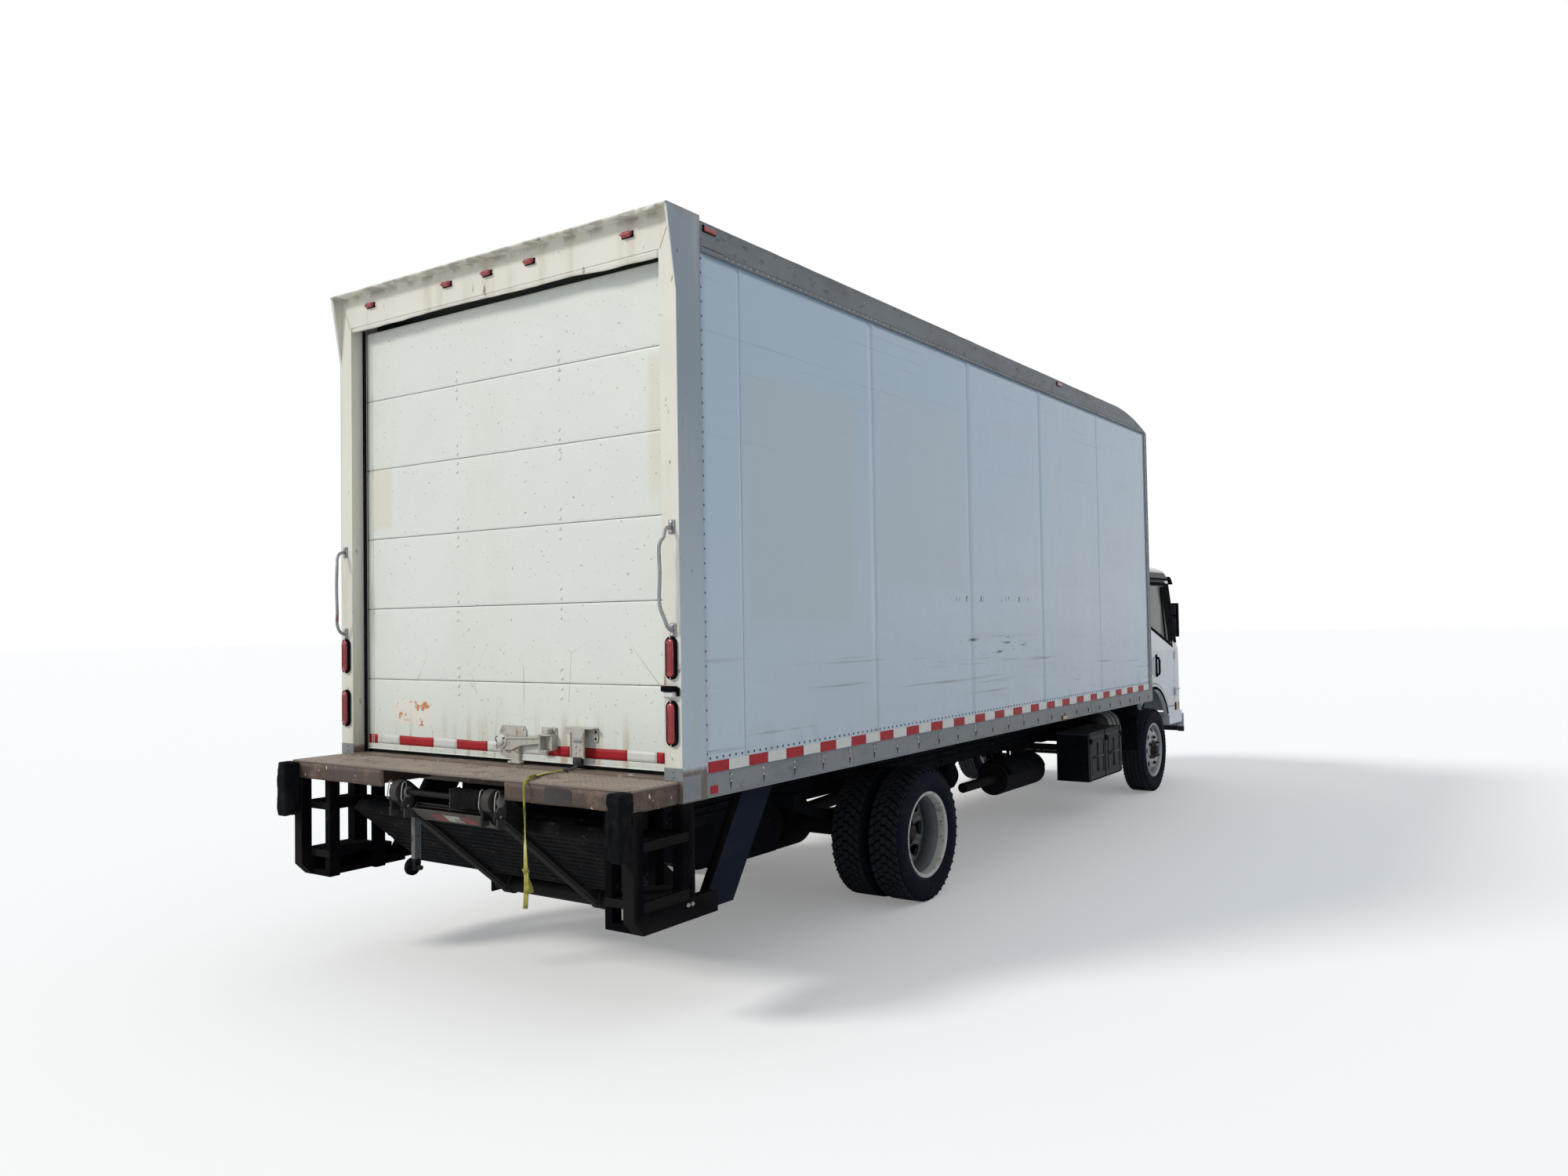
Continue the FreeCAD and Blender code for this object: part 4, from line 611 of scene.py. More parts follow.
door_white = finish("door_white", (0.70, 0.74, 0.69), 0.34, 0, 0.03, 1.5,
    [(2.2, 0.5, 0.8, 0.5, (0.62, 0.65, 0.58), 0.45, (1, 1, 0.35), 1.5),
    ([("band", "X", 0.86, 0.90, 1.04, 1.10), ("band", "Z", 2.25, 2.30, 2.6, 2.62), 0.45],
     (0.66, 0.58, 0.44), 0.55),
    ([("band", "X", -1.12, -1.08, -1.0, -0.96), ("band", "Z", 2.2, 2.4, 2.9, 3.0), 0.4],
     (0.62, 0.54, 0.40), 0.55),
    ([("band", "X", 0.55, 0.57, 0.86, 0.88), ("band", "Z", 1.20, 1.215, 1.33, 1.345), 0.75],
     (0.78, 0.72, 0.66), 0.4),
    ([("spots", 26, 0.56, 0.63, PLAIN, 3.0), ("band", "X", 0.55, 0.57, 0.86, 0.88),
      ("band", "Z", 1.20, 1.21, 1.33, 1.34)], (0.52, 0.20, 0.07), 0.7),
    ([("spots", 5, 0.50, 0.66, (4, 1, 0.12), 6.0), ("above", "Z", 1.36, 1.12),
      ("band", "X", -0.95, -0.8, 0.75, 0.9), 0.7], (0.42, 0.30, 0.19), 0.6),
    ([("cracks", 2.4, 0.012, 0.002, PLAIN, 4.0), ("spots", 1.7, 0.52, 0.6, PLAIN, 8.0),
      ("above", "Z", 1.7, 1.5), 0.5], GREY_RUN, 0.7),
    (60, 0.66, 0.70, 0.8, (0.25, 0.15, 0.08), 0.7)],
    [(1.6, 0.010, (1, 1, 0.7)), (9, 0.0016), (190, 0.00015)])
bare_rail = finish("rail_alloy", (0.165, 0.185, 0.205), 0.50, 0.25, 0.12, 4,
    [(6, 0.45, 0.72, 0.6, (0.115, 0.125, 0.135), 0.6, (1, 0.3, 2), 1.0),
    (30, 0.58, 0.66, 0.6, (0.07, 0.07, 0.07), 0.6, (1, 0.4, 1), 2.0),
    ([("spots", 5, 0.25, 0.55, (1, 0.3, 1), 6.0), ("above", "Z", 1.30, 1.10), 0.8],
     (0.235, 0.250, 0.265), 0.5),
    ([("spots", 12, 0.60, 0.70, PLAIN, 3.0), ("above", "Z", 1.06, 0.95), 0.5], RUST, 0.8)],
    [(4, 0.003), (60, 0.0004, (1, 0.2, 1))], spec=0.35)
roof_white = finish("roof_white", (0.66, 0.68, 0.69), 0.5, 0, 0.05, 1.2,
    [(2, 0.5, 0.75, 0.4, (0.42, 0.42, 0.40), 0.6)], [(1.3, 0.004), (40, 0.0004)])
deck_wood = finish("deck_wood", (0.33, 0.21, 0.11), 0.6, 0, 0.2, 3,
    [(6, 0.5, 0.7, 0.7, (0.16, 0.10, 0.06), 0.7, (12, 0.4, 1)),
    (3, 0.6, 0.7, 0.5, (0.07, 0.06, 0.05), 0.7)], [(30, 0.001, (8, 0.3, 1))])
lining = finish("lining", (0.56, 0.52, 0.45), 0.6, 0, 0.1, 2,
    [(4, 0.55, 0.75, 0.4, (0.28, 0.23, 0.17), 0.7)], [(12, 0.001)])
chassis_black = finish("chassis_black", (0.006, 0.008, 0.013), 0.75, 0, 0.3, 3,
    [(8, 0.54, 0.72, 0.5, (0.020, 0.018, 0.018), 0.85),
    (20, 0.62, 0.70, 0.7, (0.06, 0.028, 0.015), 0.85, PLAIN, 3.0)], [(25, 0.0012), (180, 0.0003)],
    spec=0.06)
step_black = finish("step_black", (0.004, 0.004, 0.006), 0.9, 0, 0.3, 4,
    [(5, 0.52, 0.70, 0.5, (0.013, 0.010, 0.010), 0.9),
    (18, 0.66, 0.72, 0.7, (0.045, 0.026, 0.018), 0.9, PLAIN, 2.0),
    ([("edge", 0.56, 0.63), 0.2], (0.06, 0.055, 0.05), 0.8)], [(14, 0.0015), (120, 0.0004)],
    spec=0.02)
brace_blue = finish("brace_blue", (0.006, 0.011, 0.024), 0.75, 0, 0.3, 4,
    [(7, 0.55, 0.7, 0.6, (0.020, 0.018, 0.017), 0.8)], [(18, 0.001)], spec=0.08)
plate_rusty = finish("plate_rusty", (0.062, 0.045, 0.036), 0.6, 0, 0.2, 6,
    [(3, 0.45, 0.70, 0.5, (0.110, 0.084, 0.066), 0.6),
    (11, 0.52, 0.66, 0.85, (0.100, 0.048, 0.027), 0.8, PLAIN, 2.0),
    (30, 0.60, 0.66, 0.8, (0.05, 0.035, 0.03), 0.8, PLAIN, 5.0),
    ([("edge", 0.53, 0.58), 0.5], (0.42, 0.36, 0.30), 0.4)], [(20, 0.0012), (150, 0.0004)],
    spec=0.3)
lug_worn = finish("lug_worn", (0.42, 0.34, 0.285), 0.5, 0.1, 0.25, 6,
    [(9, 0.50, 0.66, 0.7, (0.14, 0.085, 0.055), 0.8)], [(80, 0.0004)])
skirt_rusty = finish("skirt_rusty", (0.064, 0.040, 0.029), 0.6, 0, 0.25, 5,
    [(7, 0.50, 0.66, 0.8, (0.17, 0.10, 0.07), 0.7, PLAIN, 1.0),
    (34, 0.66, 0.69, 1.0, (0.62, 0.50, 0.30), 0.6, (1, 1, 0.5), 5.0),
    (16, 0.58, 0.64, 0.8, (0.035, 0.028, 0.026), 0.7, PLAIN, 7.0)], [(20, 0.0012), (150, 0.0004)])
rubber = finish("rubber_black", (0.006, 0.007, 0.010), 0.9, 0, 0.3, 8,
    [(12, 0.5, 0.7, 0.4, (0.022, 0.021, 0.021), 0.9)], [(30, 0.004), (9, 0.012), (130, 0.0012)],
    spec=0.06)
tyre_rubber = finish("tyre_rubber", (0.005, 0.008, 0.016), 0.8, 0, 0.3, 5,
    [(6, 0.5, 0.75, 0.35, (0.018, 0.020, 0.026), 0.8),
    (25, 0.62, 0.7, 0.4, (0.06, 0.055, 0.05), 0.9, PLAIN, 2.0)], [(60, 0.0006), (300, 0.0002)],
    spec=0.08)
tread_worn = finish("tread_worn", (0.022, 0.026, 0.034), 0.8, 0, 0.3, 9,
    [(9, 0.5, 0.7, 0.5, (0.012, 0.015, 0.022), 0.8)], [(90, 0.0006)], spec=0.12)
rim_lip = finish("rim_lip", (0.56, 0.56, 0.52), 0.45, 0, 0.1, 6,
    [(12, 0.52, 0.68, 0.7, (0.22, 0.21, 0.18), 0.7),
    (30, 0.62, 0.68, 0.9, RUST, 0.85, PLAIN, 3.0)], [(50, 0.0005)])
# The rear rims' cream paint, darkened and blued as painted shade; rim_lip keeps the cream itself
# for the outer slope and flange.
rim_cream = finish("rim_cream", (0.150, 0.168, 0.182), 0.5, 0, 0.18, 5,
    [(7, 0.50, 0.7, 0.7, (0.085, 0.088, 0.088), 0.7),
    (30, 0.62, 0.68, 0.9, RUST, 0.85, PLAIN, 3.0)], [(40, 0.0006)])
rim_silver = finish("rim_silver", (0.36, 0.38, 0.40), 0.40, 0.35, 0.12, 5,
    [(8, 0.55, 0.7, 0.6, (0.22, 0.22, 0.21), 0.6)], [(40, 0.0005)])
hub_dark = finish("hub_dark", (0.012, 0.011, 0.012), 0.65, 0, 0.3, 10,
    [(14, 0.5, 0.66, 0.8, (0.09, 0.055, 0.035), 0.8)], [(60, 0.0008)], spec=0.2)
iron = finish("cast_parts", (0.012, 0.012, 0.013), 0.75, 0, 0.3, 6,
    [(9, 0.5, 0.68, 0.6, (0.030, 0.020, 0.016), 0.85)], [(40, 0.0012), (160, 0.0004)], spec=0.1)
bar_dirty = finish("bar_dirty", (0.075, 0.062, 0.053), 0.6, 0, 0.3, 9,
    [(14, 0.50, 0.66, 0.7, (0.030, 0.024, 0.021), 0.8)], [(40, 0.001), (160, 0.0003)], spec=0.3)
gate_black = finish("gate_black", (0.009, 0.009, 0.010), 0.6, 0, 0.3, 5,
    [(6, 0.54, 0.72, 0.5, (0.030, 0.022, 0.018), 0.8),
    ([("edge", 0.53, 0.60), 0.4], (0.10, 0.095, 0.09), 0.5)], [(25, 0.001), (160, 0.0003)],
    spec=0.12)
worn_steel = finish("worn_steel", (0.20, 0.19, 0.18), 0.42, 0.6, 0.2, 12,
    [(18, 0.5, 0.64, 0.8, (0.09, 0.055, 0.035), 0.8),
    ([("edge", 0.53, 0.6), 0.7], (0.45, 0.43, 0.40), 0.35)], [(60, 0.0006)])
chrome = finish("rod_chrome", (0.62, 0.62, 0.62), 0.14, 0.9, 0.05, 8,
    [(14, 0.62, 0.72, 0.6, (0.12, 0.11, 0.10), 0.5)], [(120, 0.0002)])
# The liftgate platform's alloy, darkened to near black as painted shade under the truck.
platform_alloy = finish("platform_alloy", (0.009, 0.010, 0.012), 0.8, 0, 0.2, 5,
    [(7, 0.45, 0.7, 0.7, (0.018, 0.016, 0.015), 0.7),
    (26, 0.6, 0.68, 0.7, (0.05, 0.045, 0.04), 0.8, PLAIN, 2.0)], [(30, 0.0008), (140, 0.0003)],
    spec=0.04)
exhaust_steel = finish("exhaust_steel", (0.011, 0.011, 0.013), 0.75, 0, 0.2, 6,
    [(8, 0.54, 0.72, 0.5, (0.030, 0.019, 0.014), 0.85)], [(40, 0.001)], spec=0.08)
cleaner_grey = finish("cleaner_grey", (0.045, 0.053, 0.060), 0.5, 0, 0.12, 5,
    [(7, 0.5, 0.7, 0.6, DIRT, 0.8)], [(40, 0.0006)])
CAB_DIRT = (([("spots", 5, 0.5, 0.75, (1, 1, 0.5)), ("above", "Z", 1.15, 0.7), 0.7],
             (0.26, 0.24, 0.21), 0.55), (40, 0.68, 0.72, 0.7, (0.12, 0.08, 0.06), 0.6))
CAB_PAINT, FRAME_BLACK = (0.60, 0.65, 0.70), (0.006, 0.007, 0.010)
cab_white = finish("cab_white", CAB_PAINT, 0.22, 0, 0.02, 1.5, [*CAB_DIRT,
    *[([("band", "Z", 2.085, 2.090, 2.168, 2.174), ("above", "X", side * 0.90, side * 0.91),
        ("above", "Y", -3.10, -3.12)], FRAME_BLACK, 0.9) for side in (-1, 1)]],
    [(2, 0.001), (200, 0.0001)], coat=0.3)
cab_door_paint = finish("cab_door_paint", CAB_PAINT, 0.22, 0, 0.02, 1.5, [*CAB_DIRT,
    ([("above", "Y", -3.955, -3.962), ("above", "Z", 1.452, 1.458)], FRAME_BLACK, 0.9),
    ([("above", "Z", 2.032, 2.038)], FRAME_BLACK, 0.9)], [(2, 0.001), (200, 0.0001)], coat=0.3)
trim_black = finish("trim_black", (0.006, 0.007, 0.010), 0.9, 0, 0.2, 8,
    [(10, 0.55, 0.75, 0.4, (0.03, 0.03, 0.032), 0.7)], [(240, 0.0003)], spec=0.02)
inner_grey = finish("trim_plastic", (0.10, 0.105, 0.11), 0.6, 0, 0.12, 8,
    [(7, 0.55, 0.75, 0.3, (0.05, 0.05, 0.05), 0.7)], [(320, 0.0003)])
glass = finish("window_glass", (0.016, 0.026, 0.028), 0.05, 0, 0.05, 2,
    [(3, 0.55, 0.8, 0.3, (0.30, 0.30, 0.28), 0.3)], alpha=0.44, spec=0.3)
bumper_white = finish("bumper_white", CAB_PAINT, 0.3, 0, 0.03, 2,
    [(5, 0.5, 0.75, 0.6, (0.26, 0.24, 0.21), 0.55, (1, 1, 0.5)),
    ([("above", "Z", 0.560, 0.545)], (0.010, 0.011, 0.013), 0.6)], [(3, 0.001)], coat=0.3)
cover_navy = finish("cover_navy", (0.026, 0.032, 0.042), 0.6, 0, 0.25, 5,
    [(7, 0.5, 0.7, 0.5, (0.045, 0.045, 0.045), 0.8)], [(25, 0.0012), (180, 0.0003)], spec=0.3)
seam_pale = finish("seam_pale", (0.42, 0.44, 0.42), 0.7, 0, 0.3, 20, [], [(90, 0.0005)])
TAPE_CELLS, LENS_CELLS = (600, 0.0003, PLAIN, "cells"), (300, 0.0006, PLAIN, "cells")
red_tape = finish("red_tape", (0.40, 0.014, 0.022), 0.45, 0, 0.15, 12,
    [(14, 0.58, 0.68, 0.6, (0.16, 0.03, 0.03), 0.6),
    (60, 0.70, 0.74, 0.8, (0.60, 0.55, 0.50), 0.6, PLAIN, 3.0)],
    [TAPE_CELLS, (30, 0.0006)], spec=0.2)
white_tape = finish("white_tape", (0.68, 0.69, 0.66), 0.35, 0, 0.08, 12,
    [(12, 0.52, 0.7, 0.5, (0.42, 0.40, 0.35), 0.6)], [TAPE_CELLS, (30, 0.0006)])
red_lens = finish("red_lens", (0.34, 0.008, 0.016), 0.16, 0, 0.25, 30,
    [(40, 0.5, 0.7, 0.4, (0.60, 0.10, 0.10), 0.3)], [LENS_CELLS], coat=0.6)
amber_lens = finish("amber_lens", (0.55, 0.16, 0.02), 0.18, 0, 0.2, 30, [],
    [LENS_CELLS], coat=0.6)
clear_lens = finish("clear_lens", (0.62, 0.64, 0.64), 0.12, 0, 0.1, 20, [],
    [(200, 0.0006, PLAIN, "cells")], coat=0.6)
bright_bolt = finish("bright_bolt", (0.56, 0.57, 0.58), 0.34, 0.7, 0.15, 60,
    [(70, 0.55, 0.7, 0.6, (0.20, 0.15, 0.11), 0.7)])
# Dark grime; on the side sheets' bottom row of rivets it serves as painted shadow.
grime_and_painted_shadow = finish("grime_and_painted_shadow", (0.040, 0.038, 0.036), 0.85, 0, 0.3, 30, [], [(90, 0.0008)])
galvanised = finish("galvanised", (0.34, 0.35, 0.36), 0.42, 0.6, 0.2, 20,
    [([("cells", 60, 0.1, 0.6), 0.4], (0.24, 0.25, 0.26), 0.5), (16, 0.60, 0.7, 0.8, RUST, 0.85)],
    [(50, 0.0005)])
seat_cloth = finish("seat_cloth", (0.075, 0.080, 0.088), 0.9, 0, 0.2, 14,
    [(90, 0.5, 0.6, 0.4, (0.13, 0.135, 0.14), 0.9)], [(700, 0.0005), (9, 0.004)])

NODE_FINISHES = {
    bare_rail: ["cargo_rails"], roof_white: ["cargo_roof", "cargo_front_wall"],
    deck_wood: ["cargo_floor"], frame_white_with_painted_shade: ["rear_frame"], galvanised: ["grab_handles"],
    chassis_black: ["chassis_rails", "cross_members", "cross_sills", "long_sills", "leaf_springs",
                    "liftgate_frame", "battery_box", "fuel_tank"],
    step_black: ["side_steps"], plate_rusty: ["dock_plate"],
    iron: ["engine", "driveline", "front_axle", "rear_axle", "knuckle_left", "knuckle_right",
           "tie_rod"],
    gate_black: ["lift_arms", "liftgate_shackles", "lift_cylinder_barrel"],
    chrome: ["lift_cylinder_rod"], platform_alloy: ["liftgate_platform"],
    rubber: ["opener_roller", "mudguards"], exhaust_steel: ["exhaust"],
    cleaner_grey: ["air_cleaner"], cab_white: ["cab_shell"],
    cab_door_paint: ["cab_door_left", "cab_door_right"],
    glass: ["cab_glass", "door_glass_left", "door_glass_right"],
    trim_black: ["mirrors"], bumper_white: ["front_bumper"], inner_grey: ["dashboard"],
}
for material, names in NODE_FINISHES.items():
    for name in names:
        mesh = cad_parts[name].data
        mesh.materials.clear()
        mesh.materials.append(material)


# ---------------------------------------------------------------- load space: sides and rails

# x of a side's outer face, the wall's thickness; ends of the side in z and y
SIDE_X, WALL = 1.216, 0.038
SIDE_LOW, SIDE_HIGH = 1.052, 3.409
SIDE_BACK, SIDE_FRONT = 3.970, -2.550
# the side tape's low and high edge, a segment's length and where the first one begins
TAPE_LOW, TAPE_HIGH, TAPE_PITCH, TAPE_START = 1.056, 1.106, 0.1545, 3.957


def side_depth(y, z, seed):
    """How far the outer sheet lies inside its flat plane."""
    seam = max(max(0.0, 1 - abs(y - s) / 0.004) for s in SEAMS)
    free = eased(z, 1.12, 1.30) * eased(z, 3.40, 3.30)
    free *= eased(y, 3.96, 3.85) * eased(y, -2.54, -2.4)
    low = eased(z, 2.2, 1.4) * eased(y, 1.4, 0.2)
    wave = wobble(y, z, 1.3, seed) * 0.6 + wobble(y, z, 3.1, seed + 5) * (0.15 + 0.5 * low)
    return 0.003 * seam + free * 0.0019 * (1 + wave)


def side_panel(name, side, seed):
    """One outer wall: a wavy sheet with seams on a flat inner face, its rivets and tape."""
    seam_columns = [s + d for s in SEAMS for d in (-0.004, -0.0015, 0.0015, 0.004)]
    columns = steps(SIDE_FRONT, SIDE_BACK, 0.045, *seam_columns)
    rows = steps(SIDE_LOW, SIDE_HIGH, 0.045)

    def kind(a, b, *_):
        middle = (a + b) / 2
        return 1 if any(abs(middle - s) < 0.0016 for s in SEAMS) else 0

    form = Form()
    form.sheet(columns, rows, lambda y, z: (side * (SIDE_X - side_depth(y, z, seed)), y, z),
               thick=(-side * (WALL - 0.006), 0, 0), finish_of=kind)
    form.make("side_sheet_" + name, "truck", "body_paint", side_white_painted_shade, seam_dark,
              replaces=["cargo_side_" + name])

    rivets = Form()
    out = X * side
    # Domes with finish 1 are dark: on the bottom row at z 1.121 the dark is painted shadow of the
    # rivets on the sheet; the back column is dark too.
    for y in steps(SIDE_FRONT + 0.03, SIDE_BACK - 0.03, 0.048):
        rivets.dome((side * (SIDE_X - 0.0002), y, 1.121), out, 0.0065, 0.003, 6, 1)
        rivets.dome((side * (RAIL_X + 0.0003), y + 0.02, 3.424), out, 0.0045, 0.002, 6)
    for z in steps(1.14, 3.38, 0.0655):
        rivets.dome((side * (SIDE_X - 0.0002), SIDE_BACK - 0.0065, z), out, 0.006, 0.003, 8, 1)
        rivets.dome((side * (RAIL_X + 0.0003), -2.590, z), out, 0.006, 0.003, 6)
    rivets.make("side_rivets_" + name, "truck", "rail_alloy", bright_bolt, grime_and_painted_shadow)

    tape = Form()
    count = int((TAPE_START - SIDE_FRONT) / TAPE_PITCH)
    for k in range(count):
        high = TAPE_START - k * TAPE_PITCH
        curl = 0.0006 * wobble(high, 0, 2, seed)
        tape.bar(span(side * (SIDE_X - 0.0005), side * (SIDE_X + 0.0008)),
                 (high - TAPE_PITCH + 0.0006, high), (TAPE_LOW + curl, TAPE_HIGH + curl), 0.0002,
                 k % 2)
    tape.bar(span(side * RAIL_X, side * (RAIL_X + 0.0011)), (SIDE_BACK - 0.078, SIDE_BACK - 0.020),
             (0.962, 0.998), 0.0003, 0)
    tape.make("side_tape_" + name, "truck", "lamp_red", red_tape, white_tape)


def rail_trim(name, side):
    """Mouldings, bolts and smudges on the rails, and the dented upper edge."""
    out = X * side
    bolts, trim = Form(), Form()
    for y in steps(-2.50, 3.796, 0.2655):
        for z in (1.036, 1.008):
            bolts.dome((side * (RAIL_X + 0.0003), y + 0.012 * wobble(y, z, 9), z), out, 0.0085,
                       0.005, 8)
            size = 0.011 + 0.004 * wobble(y, z, 5, 2)
            bolts.tube([(side * (RAIL_X + 0.0001), y, z),
                        (side * (RAIL_X + 0.0008), y, z - 0.001)], size, 9, 1)
        bolts.tube([(side * (RAIL_X + 0.0007), y + 0.004 * sin(k), 1.000 - 0.012 * k)
                    for k in range(4)], 0.004, 6, 1, radii=[0.006, 0.005, 0.0035, 0.001], flat=0.2,
                   up=(0, 1, 0))
    bolts.make("rail_bolts_" + name, "truck", "rail_alloy", bright_bolt, grime_and_painted_shadow)
    for front, back, low, high, chamfer in (
            (SIDE_FRONT - 0.07, SIDE_BACK, 1.046, 1.0515, 0.001),
            (SIDE_FRONT - 0.07, SIDE_BACK, 0.948, 0.956, 0.0015),
            (SIDE_FRONT - 0.07, SIDE_BACK, 3.409, 3.4135, 0.001),
            (-2.450, SIDE_BACK, 3.432, 3.437, 0.001), (3.80, 3.965, 3.413, 3.470, 0.0015)):
        trim.bar(span(side * RAIL_X, side * (RAIL_X + 0.003)), (front, back), (low, high), chamfer)
    path = []
    for y in steps(SIDE_FRONT - 0.05, SIDE_BACK - 0.02, 0.05):
        dent = max(0, wobble(y, 0, 0.9, 4.0 + side)) + 0.4 * abs(wobble(y, 0, 3.5, side))
        fall = 3.0 - sqrt(9.0 - min(y + 1.740, 0) ** 2)
        path.append((side * (1.2150 - 0.006 * dent), y, 3.5475 - fall - 0.006 * dent))
    trim.tube(path, 0.0065, 8)
    trim.make("rail_trim_" + name, "truck", "rail_alloy", bare_rail)


for name, side, seed in (("right", -1, 3.0), ("left", 1, 11.0)):
    side_panel(name, side, seed)
    rail_trim(name, side)

bows = Form()
for y in steps(-2.3, 3.7, 0.6):
    bows.bar((-1.15, 1.15), about(y, 0.02), (3.381, 3.3885), 0.002)
bows.make("roof_bows", "truck", "rail_alloy", bare_rail)
ribs = Form()
for y in steps(-2.45, 3.85, 0.406):
    for side in (-1, 1):
        x = span(side * 1.1785, side * 1.168)
        ribs.bar(x, about(y, 0.03), (1.060, 3.38), 0.003)
for z in (1.35, 1.95, 2.55):
    for side in (-1, 1):
        ribs.bar(span(side * 1.168, side * 1.160), (-2.53, 3.95), (z, z + 0.09), 0.003)
ribs.make("load_space_lining", "truck", "deck_wood", lining)
boards = Form()
for k in range(16):
    x = -1.17 + k * 0.1465
    boards.bar((x, x + 0.1425), (-2.59, 3.965), (1.0475, 1.0490), 0.0004)
boards.make("deck_boards", "truck", "deck_wood", deck_wood)


# ---------------------------------------------------------------- roll-up door

# the door's half width and lower edge, a panel's height, x of the columns of hinge bolts
DOOR_HALF, DOOR_LOW, PANEL = 1.116, 1.065, 0.385
HINGE_COLUMNS = (0.340, -0.408)


def door_panels():
    """Six waving panels with rolled edges, the lowest with its seal on the deck."""
    form = Form()
    for index in range(6):
        low, high = DOOR_LOW + PANEL * index, DOOR_LOW + PANEL * (index + 1) - 0.0015
        rows = [low, low + 0.0015, low + 0.004, low + 0.012,
                *steps(low + 0.04, high - 0.04, 0.045),
                high - 0.012, high - 0.004, high - 0.0015, high]

        def place(x, z, low=low, high=high, index=index):
            edge = min(z - low, high - z)
            roll = 0.0032 * (1 - min(edge / 0.005, 1)) ** 2
            buckle = 0.0012 * (1 + wobble(x, z, 4, index)) * max(0, 1 - edge / 0.05)
            wave = 0.0008 * (1 + wobble(x, z, 1.6, 2.0 + index))
            ends = 0.002 * max(0, (abs(x) - 1.108) / 0.008)
            return x, DOOR - roll - buckle - wave - ends, z + 0.0006 * wobble(x, 0, 6, index)

        form.sheet(steps(-DOOR_HALF, DOOR_HALF, 0.05), rows, place, thick=(0, -0.0205, 0),
                   finish_of=lambda a, b, c, d, low=low, high=high:
                   1 if d < low + 0.002 or c > high - 0.002 else 0)
    form.bar((-1.114, 1.114), (DOOR - 0.019, DOOR - 0.006), (1.0485, 1.067), 0.004, 2)
    return form


door_panels().make("door_panels", "truck", "door_paint", door_white, seam_pale, rubber,
          replaces=["rear_door"])

door_trim = Form()
for x in HINGE_COLUMNS:
    for index in range(1, 6):
        seam = DOOR_LOW + PANEL * index
        for rise in (-0.070, -0.025, 0.025, 0.070):
            door_trim.dome((x + 0.004 * wobble(x, seam + rise, 30), DOOR - 0.002, seam + rise), Y,
                           0.0105, 0.0055, 8)
for x in steps(-1.06, 1.06, 0.19):
    door_trim.dome((x, DOOR + 0.002, 1.083), Y, 0.006, 0.003, 8)
door_trim.bars(
    (-1.114, 1.114, DOOR - 0.004, DOOR + 0.003, 1.0655, 1.0975, 0.002),
    (-1.114, 1.114, DOOR + 0.001, DOOR + 0.006, 1.066, 1.072, 0.002))
for x in (-1.060, -1.075, 1.045, 1.060):
    door_trim.bar(about(x, 0.002), (DOOR - 0.002, DOOR + 0.0015), (1.10, 3.36), 0.001)
door_trim.make("door_trim", "truck", "door_paint", door_white)

# x of the ends of the door tape's segments, red and white in turn
TAPE_ENDS = (1.085, 1.012, 0.822, 0.541, 0.354, 0.121, -0.312, -0.460, -0.542, -0.826, -1.006,
             -1.052)
door_tape = Form()
for index, (high, low) in enumerate(zip(TAPE_ENDS, TAPE_ENDS[1:])):
    def place(x, z):
        loose = z > 1.148
        lift = 0.0015 * max(0, wobble(x, z, 14, 3)) * loose
        return x, DOOR + 0.0004 + lift, z - 0.002 * (x + 0.3) + (0.004 * wobble(x, 0, 7) * loose)
    door_tape.sheet(steps(low + 0.0005, high, 0.02), [1.0995, 1.115, 1.133, 1.149], place,
                    thick=(0, -0.0012, 0), finish=index % 2)
door_tape.make("door_tape", "truck", "lamp_red", red_tape, white_tape)

tracks = Form()
for side in (-1, 1):
    x = span(side * 1.088, side * 1.1185)
    tracks.bar(x, (DOOR + 0.0075, DOOR + 0.0105), (1.050, 3.39), 0.001)
    for z in steps(1.16, 3.32, 0.18):
        tracks.dome((side * 1.104, DOOR + 0.0100, z), Y, 0.007, 0.004, 8)
tracks.make("door_tracks", "truck", "frame_paint", chassis_black)


# ---------------------------------------------------------------- latch and handle

